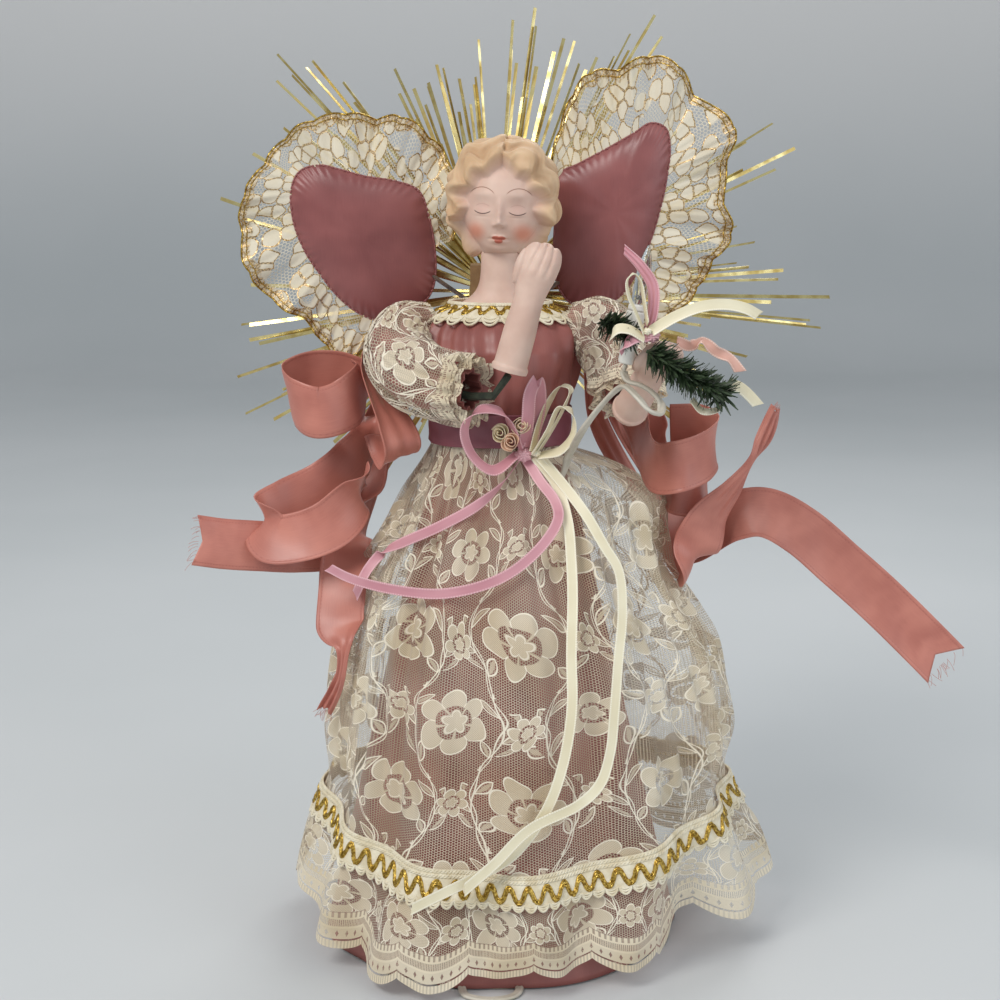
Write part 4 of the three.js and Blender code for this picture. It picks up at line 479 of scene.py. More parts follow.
# %% Carrying the section of twin cord along a line
def twin_section(sides=18):
    angle = np.arange(sides) * full_turn / sides
    waist = 1 - 0.5 * np.exp(-((np.cos(angle) / 0.28) ** 2))
    return lead_width / 2 * np.cos(angle), lead_height / 2 * np.sin(angle) * waist * 1.12


def carried(name, line, across, section):
    """A closed tube: the section's first way lies along across, its second square to it and the line."""
    along = unit(np.gradient(line, axis=0))
    side = unit(across - along * np.sum(across * along, axis=1, keepdims=True))
    up = np.cross(along, side)
    sideways, upwards = section
    rings = line[:, None] + side[:, None] * sideways[:, None] + up[:, None] * upwards[:, None]
    count, sides = len(line), len(sideways)
    points = np.concatenate([rings.reshape(-1, 3), [line[0]], [line[-1]]])
    faces = []
    for i in range(count - 1):
        for j in range(sides):
            k = (j + 1) % sides
            faces.append((i * sides + j, i * sides + k, (i + 1) * sides + k, (i + 1) * sides + j))
    for j in range(sides):
        k = (j + 1) % sides
        faces.append((count * sides, k, j))
        faces.append((count * sides + 1, (count - 1) * sides + j, (count - 1) * sides + k))
    piece = faced_out(from_points(name, points.tolist(), [], faces))
    bpy.ops.object.shade_smooth()
    return piece


upright = np.array([0.0, 0.0, 1.0])
cord_path = floor_line()
flat_across = np.cross(upright, unit(np.gradient(cord_path, axis=0)))
mains_cord = carried("cord", cord_path, flat_across, twin_section())
print(f"the cord is {length_of(cord_path):.3f} m long")

# %% [markdown]
# ## Finishes
# Colour alone never looks like satin, lace or bisque. Each finish gets the detail that the eye reads at its
# real scale: a weave, threads, a mottle in the colour. What several finishes share is a node group, made
# once. A group gives out only masks and heights, and the shader itself stays in each material. A pattern is
# mostly sums, and long chains of Math nodes are hard to read, so a small class lets sums be written as such.

# %% What a socket gives, and sums with it
class Value:
    """What one socket gives. A sum written with it makes Math nodes, so a finish reads like a formula."""

    def __init__(self, socket):
        self.socket, self.tree = socket, socket.id_data

    def __add__(self, other):
        return calc("ADD", self, other)

    def __radd__(self, other):
        return calc("ADD", other, self)

    def __sub__(self, other):
        return calc("SUBTRACT", self, other)

    def __rsub__(self, other):
        return calc("SUBTRACT", other, self)

    def __mul__(self, other):
        return calc("MULTIPLY", self, other)

    def __rmul__(self, other):
        return calc("MULTIPLY", other, self)

    def __truediv__(self, other):
        return calc("DIVIDE", self, other)

    def __rtruediv__(self, other):
        return calc("DIVIDE", other, self)

    def __pow__(self, other):
        return calc("POWER", self, other)

    def __abs__(self):
        return calc("ABSOLUTE", self)

    def __round__(self):
        return calc("ROUND", self)

    def __floor__(self):
        return calc("FLOOR", self)


def named(sockets):
    return {socket.name: Value(socket) for socket in sockets}


def put(socket, value):
    if isinstance(value, Value):
        value.tree.links.new(value.socket, socket)
    else:
        socket.default_value = value


def made(kind, inputs, output, tree=None, **settings):
    """What a new node gives. It stands in the tree that its inputs, given as {socket: value}, come from."""
    if tree is None:
        tree = next(value.tree for value in inputs.values() if isinstance(value, Value))
    node = tree.nodes.new(f"ShaderNode{kind}")
    for name, value in settings.items():
        setattr(node, name, value)
    for socket, value in inputs.items():
        put(node.inputs[socket], value)
    return Value(node.outputs[output])


# %% Tools for nodes
def calc(operation, *values, clamp=False):
    return made("Math", dict(enumerate(values)), 0, operation=operation, use_clamp=clamp)


def sine(value):
    return calc("SINE", value)


def cosine(value):
    return calc("COSINE", value)


def root(value):
    return calc("SQRT", value)


def larger(first, second):
    return calc("MAXIMUM", first, second)


def vector_calc(operation, first, second):
    return made("VectorMath", {0: first, 1: second}, "Vector", operation=operation)


def scaled(vector, scale):
    return made("VectorMath", {0: vector, "Scale": scale}, "Vector", operation="SCALE")


def stepped(value, low, high, start=0.0, end=1.0):
    """A soft step: start below low, end above high."""
    return made("MapRange", dict(enumerate((value, low, high, start, end))), 0, interpolation_type="SMOOTHSTEP")


def tinted(share, low, high):
    return made("Mix", {0: share, 6: low, 7: high}, 2, data_type="RGBA")


def raised(height, distance, strength):
    return made("Bump", {"Strength": strength, "Distance": distance, "Height": height}, "Normal")


def coordinates(tree, kind):
    return made("TexCoord", {}, kind, tree)


def parted(vector):
    node = vector.tree.nodes.new("ShaderNodeSeparateXYZ")
    put(node.inputs[0], vector)
    return [Value(socket) for socket in node.outputs]


def texture(kind, vector, scale, **settings):
    node = vector.tree.nodes.new(f"ShaderNodeTex{kind}")
    for name, value in {"Vector": vector, "Scale": scale, **settings}.items():
        if name in node.inputs.keys():
            put(node.inputs[name], value)
        else:
            setattr(node, name, value)
    return named(node.outputs)


# %% Tools for finishes and groups
def colour(red, green, blue):
    """A colour as a screen shows it, 0 to 255, as the linear value that a shader takes."""
    linear = [((c / 255 + 0.055) / 1.055) ** 2.4 if c > 10 else c / 255 / 12.92 for c in (red, green, blue)]
    return (*linear, 1.0)


def finish(name, **sockets):
    material = bpy.data.materials.new(name)
    material.use_nodes = True
    shader = material.node_tree.nodes["Principled BSDF"]
    for socket, value in sockets.items():
        shader.inputs[socket.replace("_", " ")].default_value = value
    return material, material.node_tree, shader


def shown(shader, **looks):
    """Gives the shader what changes over the surface."""
    for socket, value in looks.items():
        put(shader.inputs[socket.replace("_", " ")], value)


def group(name, inputs, outputs):
    """A node group with named inputs, given as {name: (type, value)}, and outputs that are all numbers."""
    tree = bpy.data.node_groups.new(name, "ShaderNodeTree")
    for label, (kind, value) in inputs.items():
        socket = tree.interface.new_socket(label, in_out="INPUT", socket_type=f"NodeSocket{kind}")
        if value is not None:
            socket.default_value = value
    for label in outputs:
        tree.interface.new_socket(label, in_out="OUTPUT", socket_type="NodeSocketFloat")
    return tree, named(tree.nodes.new("NodeGroupInput").outputs), tree.nodes.new("NodeGroupOutput").inputs


def use(shared, **values):
    """What a group gives, placed in the tree that its values come from."""
    tree = next(value.tree for value in values.values() if isinstance(value, Value))
    node = tree.nodes.new("ShaderNodeGroup")
    node.node_tree = shared
    for label, value in values.items():
        put(node.inputs[label.replace("_", " ")], value)
    return named(node.outputs)


# %% A shared weave: threads over and under, with a slow mottle
def weave_group():
    tree, given, out = group("weave", {"Vector": ("Vector", None), "Thread": ("Float", 0.4 * mm)},
                             ("Height", "Mottle"))
    x, y, _ = parted(given["Vector"])
    pitch = full_turn / 2 / given["Thread"]
    warp = abs(sine(x * pitch))
    weft = abs(sine(y * pitch))
    put(out["Height"], warp * 0.65 + weft * 0.35)
    cloud = texture("Noise", given["Vector"], 42.0, Detail=2.0, Roughness=0.5)
    put(out["Mottle"], cloud["Fac"])
    return tree


weave = weave_group()


# %% A satin, for the skirt, the bodice, the wings and every ribbon
satin_thread = 0.3 * mm


def satin(name, light, dark, roughness, width=None, edge=None):
    """width is a ribbon's own, and edge the colour of a band along both its sides."""
    light, dark = colour(*light), colour(*dark)
    material, tree, shader = finish(name, Roughness=roughness, Sheen_Weight=0.45, Sheen_Roughness=0.45,
                                    Anisotropic=0.5, Specular_IOR_Level=0.48)
    shader.inputs["Sheen Tint"].default_value = light
    cloth = coordinates(tree, "UV")
    threads = use(weave, Vector=cloth, Thread=satin_thread)
    slub = texture("Noise", vector_calc("MULTIPLY", cloth, (2200.0, 110.0, 1.0)), 1.0, Detail=1.0)
    shade = threads["Mottle"] * 0.85 + slub["Fac"] * 0.15
    base = tinted(stepped(shade, 0.15, 0.85), dark, light)
    height = threads["Height"] * 0.5 + slub["Fac"] * 0.3
    if width:
        x, y, _ = parted(cloth)
        inwards = width / 2 - abs(x - width / 2)
        if edge:
            band = stepped(inwards, 0.5 * mm, 0.9 * mm, 1.0, 0.0)
            picot = stepped(sine(y * (full_turn / (0.9 * mm))), -0.3, 0.6)
            base = tinted(band * (0.4 + picot * 0.6), base, colour(*edge))
            height = height + band * picot * 0.9
        else:
            seam = abs(inwards - 1.8 * mm)
            line = stepped(seam, 0.1 * mm, 0.45 * mm, 1.0, 0.0)
            dash = stepped(sine(y * (full_turn / (2.2 * mm))), -0.5, 0.1)
            stitch = line * dash
            # The hem's stitched line is a groove in the bump, darkened with painted shade; its stitches are lighter
            # dashes.
            base = tinted(line * 0.7, base, dark)
            base = tinted(stitch * 0.3, base, light)
            height = height + line * -1.6
    shown(shader, Base_Color=base, Roughness=roughness - 0.06 + shade * 0.14,
          Normal=raised(height, 0.08 * mm, 0.35))
    return material


streamer_width = 25 * mm
bow_width = 6.5 * mm
tail_width = 5 * mm
belt_width = 16 * mm
cream = (242, 234, 206), (224, 212, 178), 0.4
cream_edge = (250, 244, 224)
pink = (222, 164, 172), (196, 130, 142), 0.38
pink_edge = (236, 190, 196)
mauve_satin = satin("mauve_satin", (166, 102, 94), (130, 74, 70), 0.37)
wing_satin = satin("wing_satin", (156, 94, 92), (124, 70, 70), 0.33)
rose_ribbon = satin("rose_ribbon", (208, 136, 120), (172, 102, 90), 0.33, streamer_width)
belt_ribbon = satin("belt_ribbon", (150, 88, 98), (120, 66, 76), 0.44)
pink_ribbon = satin("pink_ribbon", *pink, bow_width, pink_edge)
pink_tail_ribbon = satin("pink_tail_ribbon", *pink, tail_width, pink_edge)
cream_ribbon = satin("cream_ribbon", *cream, bow_width, cream_edge)
cream_tail_ribbon = satin("cream_tail_ribbon", *cream, tail_width, cream_edge)
bud_ribbons = [satin("bud_ribbon_1", (248, 238, 208), (232, 212, 172), 0.4),
               satin("bud_ribbon_2", (246, 218, 190), (226, 180, 150), 0.4),
               satin("bud_ribbon_3", (248, 234, 208), (234, 206, 170), 0.4)]
peach_ribbon = satin("peach_ribbon", (238, 190, 172), (212, 152, 136), 0.4, tail_width, (244, 214, 200))


# %% [markdown]
# Lace is net with motifs worked into it. On this one, large flowers with a rosette in their middle stand in
# a half-drop repeat, small flowers fill the gaps between them, and thin stems wander past with leaves on
# both sides. A picture of lace could be used, but a pattern worked out in the shader stays sharp at any
# distance. Slow noise bends the whole repeat, so that no two flowers look the same.

# %% A shared flower, and a shared leaf
def blossom_group():
    tree, given, out = group("blossom", {"Vector": ("Vector", None), "Size": ("Float", 15 * mm),
                                         "Turn": ("Float", 0.0)}, ("Fill", "Line", "Reach"))
    x, y, _ = parted(given["Vector"])
    radius = root(x * x + y * y)
    near = radius / given["Size"]
    angle = calc("ARCTAN2", y, x) + given["Turn"]
    bulge = abs(cosine(angle * 3.0))
    edge = 0.64 + bulge ** 0.7 * 0.36
    inside = (edge - near) * given["Size"]
    petals = stepped(inside, 0.0, 0.35 * mm)
    rim = stepped(abs(inside - 0.35 * mm), 0.2 * mm, 0.5 * mm, 1.0, 0.0)
    parting = stepped(bulge * radius, 0.5 * mm, 1.1 * mm, 1.0, 0.0) * stepped(near, 0.46, 0.52)
    lobe = abs(cosine(angle * 2.5 + 0.7))
    heart = 0.21 + lobe * 0.15 - near
    rosette = stepped(heart, -0.01, 0.02)
    gap = stepped(heart, -0.035, -0.015, 1.0, 0.0) * stepped(0.51 - near, 0.0, 0.03)
    gap = gap * stepped(lobe, 0.12, 0.3)
    fill = larger(petals, rosette)
    open_ring = 1.0 - gap
    lines = larger(rim, parting * petals)
    middle = stepped(abs(heart - 0.02), 0.015, 0.035, 1.0, 0.0)
    put(out["Fill"], fill * open_ring)
    put(out["Line"], calc("MAXIMUM", lines, middle * 0.9, clamp=True))
    put(out["Reach"], petals)
    return tree


def leaf_group():
    tree, given, out = group("leaf", {
        "Along": ("Float", 0.0), "Across": ("Float", 0.0), "Tilt": ("Float", 0.6), "Length": ("Float", 6.2 * mm),
        "Width": ("Float", 2.4 * mm)}, ("Fill", "Line"))
    turn_cos, turn_sin = cosine(given["Tilt"]), sine(given["Tilt"])
    long_way = given["Along"] * turn_cos + given["Across"] * turn_sin
    short_way = given["Across"] * turn_cos - given["Along"] * turn_sin
    long_share = long_way / given["Length"]
    narrow = 1.0 - long_share * long_share
    half = larger(narrow, -0.3) * given["Width"]
    inside = half - abs(short_way)
    line = stepped(abs(inside - 0.25 * mm), 0.2 * mm, 0.48 * mm, 1.0, 0.0)
    core = stepped(half * 0.5 - abs(short_way), 0.1 * mm, 0.35 * mm)
    put(out["Fill"], core * 0.85)
    put(out["Line"], line)
    return tree


blossom = blossom_group()
leaf = leaf_group()


# %% A shared lace: net, stems, leaves and flowers in a half-drop repeat
def net_holes(x, y, rate):
    """Three waves that cross: their sum is high in the holes of a hexagonal net."""
    waves = [cosine(rate * (x * a + y * b)) for a, b in ((1.0, 0.0), (-0.5, 0.866), (-0.5, -0.866))]
    return waves[0] + waves[1] + waves[2]


def lace_group():
    tree, given, out = group("lace", {
        "Vector": ("Vector", None), "Flower": ("Float", 15.5 * mm), "Across": ("Float", 62 * mm),
        "Along": ("Float", 78 * mm), "Net": ("Float", 1.25 * mm)}, ("Cover", "Motif", "Line"))
    wander = texture("Noise", given["Vector"], 26.0, Detail=1.0, Roughness=0.6)
    shift = scaled(vector_calc("SUBTRACT", wander["Color"], (0.5, 0.5, 0.5)), 21 * mm)
    x, y, _ = parted(vector_calc("ADD", given["Vector"], shift))
    over_x, over_y = x / given["Across"], y / given["Along"]
    first, second = over_x + over_y, over_x - over_y

    def from_centre(a, b):
        middle_x = (a + b) * 0.5 * given["Across"]
        middle_y = (a - b) * 0.5 * given["Along"]
        away = made("CombineXYZ", {0: x - middle_x, 1: y - middle_y}, 0)
        chance = made("TexWhiteNoise", {"Vector": made("CombineXYZ", {0: a, 1: b}, 0)}, "Color",
                      noise_dimensions="2D")
        return away, parted(chance)

    def halfway(value):
        return math.floor(value) + 0.5

    large_away, large_chance = from_centre(round(first), round(second))
    small_away, small_chance = from_centre(halfway(first), halfway(second))
    size = given["Flower"] * stepped(large_chance[0], 0.0, 1.0, 0.84, 1.08)
    large = use(blossom, Vector=large_away, Size=size, Turn=large_chance[1] * full_turn)
    small_size = given["Flower"] * stepped(small_chance[0], 0.0, 1.0, 0.4, 0.56)
    small = use(blossom, Vector=small_away, Size=small_size, Turn=small_chance[1] * full_turn)
    away_x, away_y, _ = parted(large_away)
    quarter = given["Across"] * 0.25
    swing = cosine(away_y / given["Along"] * full_turn)
    stem_x = quarter + swing * (quarter * 0.4)
    from_stem = abs(away_x) - stem_x
    twine = sine(away_y * (full_turn / (26 * mm))) * (1.7 * mm)
    stem = stepped(abs(from_stem), 0.18 * mm, 0.5 * mm, 1.0, 0.0)
    second_stem = stepped(abs(from_stem - twine), 0.15 * mm, 0.42 * mm, 1.0, 0.0)
    slot = (away_y + 2 * mm) / (10.2 * mm)
    number = round(slot)
    in_slot = (slot - number) * (10.2 * mm)
    side = cosine(number * math.pi)
    outwards = from_stem * side - 3.9 * mm
    leaves = use(leaf, Along=outwards, Across=in_slot, Tilt=0.8, Length=5.4 * mm, Width=2.1 * mm)
    beyond = (1.0 - large["Reach"]) * (1.0 - small["Reach"])
    trail_line = larger(larger(stem, second_stem), leaves["Line"])
    trail_line = trail_line * beyond
    trail_fill = leaves["Fill"] * beyond
    line = larger(larger(large["Line"], small["Line"]), trail_line)
    fill = larger(larger(large["Fill"], small["Fill"]), trail_fill)
    net_x, net_y, _ = parted(given["Vector"])
    stitches = sine(net_x * (full_turn / (1.0 * mm))) * sine(net_y * (full_turn / (0.9 * mm)))
    fill = fill * stepped(stitches, -0.9, 0.5, 0.6, 0.92)
    motif = larger(line, fill)
    rate = 4 * math.pi / math.sqrt(3) / given["Net"]
    net = stepped(net_holes(net_x, net_y, rate), -0.95, -0.1, 1.0, 0.0)
    put(out["Cover"], calc("MAXIMUM", motif, net * 0.62, clamp=True))
    put(out["Motif"], calc("MAXIMUM", motif, 0.0, clamp=True))
    put(out["Line"], calc("MAXIMUM", line, 0.0, clamp=True))
    return tree


lace_pattern = lace_group()


# %% The ecru laces of the skirt, the ruffle and the sleeves
ecru, ecru_shadow = colour(232, 220, 196), colour(208, 192, 162)


def lace(name, flower, border=None, scallop=None, **spacing):
    """border is the height of the worked border above the cloth's scalloped foot."""
    material, tree, shader = finish(name, Roughness=0.8, Sheen_Weight=0.25, Specular_IOR_Level=0.2)
    cloth = coordinates(tree, "UV")
    pattern = use(lace_pattern, Vector=cloth, Flower=flower, **spacing)
    cover, line = pattern["Cover"], pattern["Line"]
    x, y, _ = parted(cloth)
    if border:
        wave = abs(sine(x * (full_turn / 2 / scallop)))
        wave = (1.0 - wave ** 0.7) * (0.3 * border)
        level = y - wave
        share = level / border

        def row(middle, half, soft=0.02):
            away = abs(share - middle)
            return stepped(away, half, half + soft, 1.0, 0.0)

        def beat(period, low, high):
            return stepped(sine(x * (full_turn / period)), low, high)

        ribbed = row(0.68, 0.09) * (0.35 + beat(0.85 * mm, -0.4, 0.4) * 0.5)
        beads = row(0.88, 0.07, 0.05) * (0.45 + beat(2.6 * mm, -0.6, 0.1) * 0.55)
        clover = abs(sine(x * (full_turn / (9 * mm))))
        diamond = clover + abs(share - 0.4) * 6.0
        pierced = row(0.4, 0.14) * (0.22 + stepped(diamond, 0.45, 0.6) * 0.68)
        cords = larger(row(0.56, 0.025), row(0.8, 0.02))
        foot = row(0.09, 0.1, 0.03) * (0.72 + beat(1.7 * mm, -0.5, 0.3) * 0.28)
        worked = larger(larger(ribbed, beads), larger(pierced, larger(cords, foot)))
        within = stepped(share, 0.97, 1.0, 1.0, 0.0)
        netting = calc("SUBTRACT", cover, pattern["Motif"], clamp=True)
        inside_cover = larger(worked, netting * 0.9)
        mixed = made("Mix", {0: within, 2: cover, 3: inside_cover}, 0)
        cover = mixed * stepped(level, -0.1 * mm, 0.25 * mm)
        line = line * (1.0 - within)
    soil = texture("Noise", cloth, 30.0, Detail=1.0)
    base = tinted(stepped(soil["Fac"], 0.3, 0.75), ecru, ecru_shadow)
    # The motifs' outlines are painted lighter: a painted highlight that makes them look raised.
    base = tinted(line * 0.55, base, colour(250, 243, 228))
    twist = sine(x * (full_turn / (0.7 * mm))) + sine(y * (full_turn / (0.8 * mm)))
    shown(shader, Base_Color=base, Alpha=cover, Normal=raised(twist, 0.05 * mm, 0.5))
    return material


hem_scallops = 21
scallop_width = 36 * mm
skirt_lace = lace("skirt_lace", 15.5 * mm)
ruffle_lace = lace("ruffle_lace", 14.5 * mm, border=19 * mm, scallop=scallop_width, Across=50 * mm, Along=60 * mm)
sleeve_lace = lace("sleeve_lace", 10 * mm, border=7 * mm, scallop=9 * mm, Across=38 * mm, Along=46 * mm,
                   Net=1.2 * mm)


# %% [markdown]
# The wings' lace is of another kind: small cream petals pressed close together, each one outlined in metal
# thread. The cells of a Voronoi texture lie just like that, so they make the petals, and the walls between
# the cells make the outlines. Only some of the cells are filled, which leaves the net between the sprays.

# %% The wings' lace: cream petals outlined in metal thread
wing_scallop = 17 * mm
petals_in_metre = 125.0


def petal_lace(name):
    material, tree, shader = finish(name, Roughness=0.7, Specular_IOR_Level=0.3)
    cloth = coordinates(tree, "UV")
    bend = texture("Noise", cloth, 90.0, Detail=2.0)
    shift = scaled(vector_calc("SUBTRACT", bend["Color"], (0.5, 0.5, 0.5)), 5 * mm)
    bent = vector_calc("ADD", cloth, shift)
    cells = texture("Voronoi", bent, petals_in_metre, voronoi_dimensions="2D", Randomness=0.9)
    walls = texture("Voronoi", bent, petals_in_metre, voronoi_dimensions="2D", feature="DISTANCE_TO_EDGE",
                    Randomness=0.9)
    far = walls["Distance"] / petals_in_metre
    spray = texture("Noise", cloth, 42.0, Detail=1.0)
    chosen = parted(cells["Color"])[0] + (spray["Fac"] - 0.5) * 1.6
    rounded = (0.6 - cells["Distance"]) * (7 * mm)
    inside = calc("MINIMUM", far, rounded) - 0.3 * mm
    worked = stepped(chosen, 0.16, 0.2)
    petal = stepped(inside, 0.0, 0.25 * mm) * worked
    wall = stepped(abs(inside), 0.15 * mm, 0.4 * mm, 1.0, 0.0) * worked
    x, y, _ = parted(cloth)
    wave = abs(sine(x * (full_turn / 2 / wing_scallop)))
    rise = y + wave * (1.6 * mm)
    knots = texture("Voronoi", cloth, 420.0, voronoi_dimensions="2D", feature="DISTANCE_TO_EDGE",
                    Randomness=1.0)
    dense = stepped(knots["Distance"], 0.08, 0.3, 1.0, 0.0)
    band = stepped(rise, 4.6 * mm, 5.6 * mm, 1.0, 0.0)
    border = band * (0.6 + dense * 0.4)
    rate = 4 * math.pi / math.sqrt(3) / (1.7 * mm)
    net = stepped(net_holes(x, y, rate), -0.95, -0.2, 1.0, 0.0)
    fill = petal * 0.86
    cover = calc("MAXIMUM", larger(fill, wall), larger(border, net * 0.6), clamp=True)
    metal_mask = calc("MAXIMUM", wall, band * (0.3 + dense * 0.6), clamp=True)
    # The metal thread flickers between dark and bright gold in fine noise: painted glints.
    glint = texture("Noise", cloth, 1500.0, Detail=1.0)
    gold_glints = tinted(stepped(glint["Fac"], 0.4, 0.66), colour(134, 104, 66), colour(236, 206, 152))
    tone = texture("Noise", cloth, 60.0, Detail=2.0)
    cream = tinted(tone["Fac"], colour(214, 200, 172), colour(242, 234, 214))
    shown(shader, Base_Color=tinted(metal_mask, cream, gold_glints), Metallic=metal_mask * 0.6,
          Roughness=stepped(metal_mask, 0.0, 1.0, 0.75, 0.4), Alpha=cover,
          Normal=raised(glint["Fac"], 0.12 * mm, 0.6))
    return material


wing_lace = petal_lace("wing_lace")

# %% [markdown]
# Painted bisque is matt, with soft colour fired into it. The hair, lips, cheeks, brows and lash lines are
# painted on, so they are masks in the finish: the hair's mask comes from the shape, as an attribute, and
# the fine lines are arcs worked out in the shader, which keeps them thin and sharp.

# %% A shared arc: one thin painted line
def arc_group():
    tree, given, out = group("painted_arc", {
        "Vector": ("Vector", None), "Middle": ("Vector", None), "Radius": ("Float", 6 * mm),
        "Half Width": ("Float", 0.25 * mm), "Reach": ("Float", 4 * mm), "Up": ("Float", 1.0)}, ("Mask",))
    x, _, z = parted(vector_calc("SUBTRACT", given["Vector"], given["Middle"]))
    distance = root(x * x + z * z)
    off = abs(distance - given["Radius"])
    line = stepped(off, given["Half Width"] * 0.5, given["Half Width"], 1.0, 0.0)
    within = stepped(abs(x), given["Reach"] * 0.75, given["Reach"], 1.0, 0.0)
    right_side = stepped(z * given["Up"], 0.0, 0.3 * mm)
    put(out["Mask"], line * within * right_side)
    return tree


painted_arc = arc_group()

head_centre = np.array([1.5, -4, 368.5]) * mm
head_turn = math.radians(-4)
face_half_width = 20 * mm
face_half_depth = 22 * mm
head_half_height = 29.5 * mm
hair_thickness = 7.5 * mm
eye_share = (0.42, -0.21)
lip_shares = (-0.835, -0.925)
head_roll = math.radians(3)


def patch(x, z, middle, reach):
    """A soft oval of colour at middle, in shares of the face's half width."""
    across = (x - middle[0] * face_half_width) / (reach[0] * face_half_width)
    upward = (z - middle[1] * face_half_width) / (reach[1] * face_half_width)
    return root(across * across + upward * upward)


def bisque():
    material, tree, shader = finish("bisque", Roughness=0.5, Specular_IOR_Level=0.35)
    shader.inputs["Subsurface Weight"].default_value = 0.08
    shader.inputs["Subsurface Radius"].default_value = (2 * mm, 1 * mm, 0.6 * mm)
    place_now = coordinates(tree, "Object")
    hair, face_mask, _ = parted(made("Attribute", {}, "Vector", tree, attribute_name="paint"))
    x, _, z = parted(made("Mapping", {"Location": tuple(head_centre), "Rotation": (0, head_roll, head_turn),
                                      "Vector": place_now}, "Vector", vector_type="TEXTURE"))
    side = abs(x)
    folded = made("CombineXYZ", {0: side, 2: z}, 0)
    grain = texture("Noise", place_now, 700.0, Detail=4.0)
    cloud = texture("Noise", place_now, 70.0, Detail=3.0)
    skin = tinted(stepped(cloud["Fac"], 0.3, 0.7), colour(224, 194, 178), colour(212, 178, 162))
    blush = stepped(patch(side, z, (0.58, -0.72), (0.36, 0.34)), 0.1, 1.0, 0.75, 0.0)
    skin = tinted(blush * face_mask, skin, colour(222, 136, 108))
    lid = stepped(patch(side, z, (eye_share[0], eye_share[1] + 0.06), (0.24, 0.16)), 0.3, 1.1, 0.3, 0.0)
    skin = tinted(lid * face_mask, skin, colour(205, 160, 150))
    upper = stepped(patch(side, z, (0.065, lip_shares[0] - 0.006), (0.115, 0.055)), 0.7, 1.05, 1.0, 0.0)
    lower = stepped(patch(x, z, (0.0, lip_shares[1] + 0.012), (0.115, 0.07)), 0.7, 1.05, 1.0, 0.0)
    lips = larger(upper, lower) * face_mask
    skin = tinted(lips * 0.9, skin, colour(180, 86, 66))
    eye_x, eye_z = (share * face_half_width for share in eye_share)
    lash = use(painted_arc, Vector=folded, Middle=(eye_x, 0, eye_z + 5.6 * mm), Radius=7.0 * mm,
               Half_Width=0.3 * mm, Reach=4.4 * mm, Up=-1.0)["Mask"]
    crease = use(painted_arc, Vector=folded, Middle=(eye_x, 0, eye_z - 2.4 * mm), Radius=5.6 * mm,
                 Half_Width=0.26 * mm, Reach=3.8 * mm, Up=1.0)["Mask"]
    brow = use(painted_arc, Vector=folded, Middle=(eye_x + 0.4 * mm, 0, eye_z + 3.4 * mm),
               Radius=7.6 * mm, Half_Width=0.3 * mm, Reach=6.4 * mm, Up=1.0)["Mask"]
    # The crease above each lid is painted shade, kept faint; the brows and lash lines are the doll's paint.
    skin = tinted(crease * 0.2 * face_mask, skin, colour(150, 96, 84))
    skin = tinted(brow * 0.75 * face_mask, skin, colour(142, 92, 70))
    skin = tinted(lash * 0.9 * face_mask, skin, colour(70, 44, 40))
    blond = tinted(stepped(cloud["Fac"], 0.35, 0.65), colour(224, 192, 156), colour(206, 170, 132))
    # The hair is darker in its grooves: painted shade between the locks and strands.
    groove = made("Attribute", {}, "Fac", tree, attribute_name="strand")
    blond = tinted(groove * 0.42, blond, colour(176, 134, 100))
    shown(shader, Base_Color=tinted(hair, skin, blond), Roughness=stepped(hair, 0.0, 1.0, 0.46, 0.62),
          Normal=raised(grain["Fac"], 0.05 * mm, 0.35))
    return material


bisque_finish = bisque()


# %% [markdown]
# Metal, plastic, card, wood and greenery differ in tone, gloss and grain, and not in how they are made up.
# Two functions make them all: one for metal, and one for the rest. Each gives a slow change of tone and a
# fine grain, because an even colour never looks real close by.

# %% Metals, plastics, card, wood and greenery
def metal(name, light, dark, roughness, scale):
    material, tree, shader = finish(name, Metallic=1.0, Roughness=roughness)
    light, dark = colour(*light), colour(*dark)
    where = coordinates(tree, "Object")
    cloud = texture("Noise", where, scale, Detail=3.0)
    shown(shader, Base_Color=tinted(stepped(cloud["Fac"], 0.35, 0.65), dark, light),
          Roughness=stepped(cloud["Fac"], 0.3, 0.7, roughness + 0.12, roughness - 0.06),
          Normal=raised(cloud["Fac"], 0.06 * mm, 0.5))
    return material


def plain(name, light, dark, roughness, scale, depth=0.05 * mm, **sockets):
    """A finish with a fine grain and a slow change of colour."""
    material, tree, shader = finish(name, Roughness=roughness, **sockets)
    light, dark = colour(*light), colour(*dark)
    where = coordinates(tree, "Object")
    cloud = texture("Noise", where, scale, Detail=5.0, Roughness=0.65)
    grain = texture("Noise", where, 12 * scale, Detail=3.0)
    shown(shader, Base_Color=tinted(stepped(cloud["Fac"], 0.3, 0.7), dark, light),
          Roughness=stepped(grain["Fac"], 0.3, 0.7, roughness - 0.05, roughness + 0.08),
          Normal=raised(grain["Fac"], depth, 0.5))
    return material


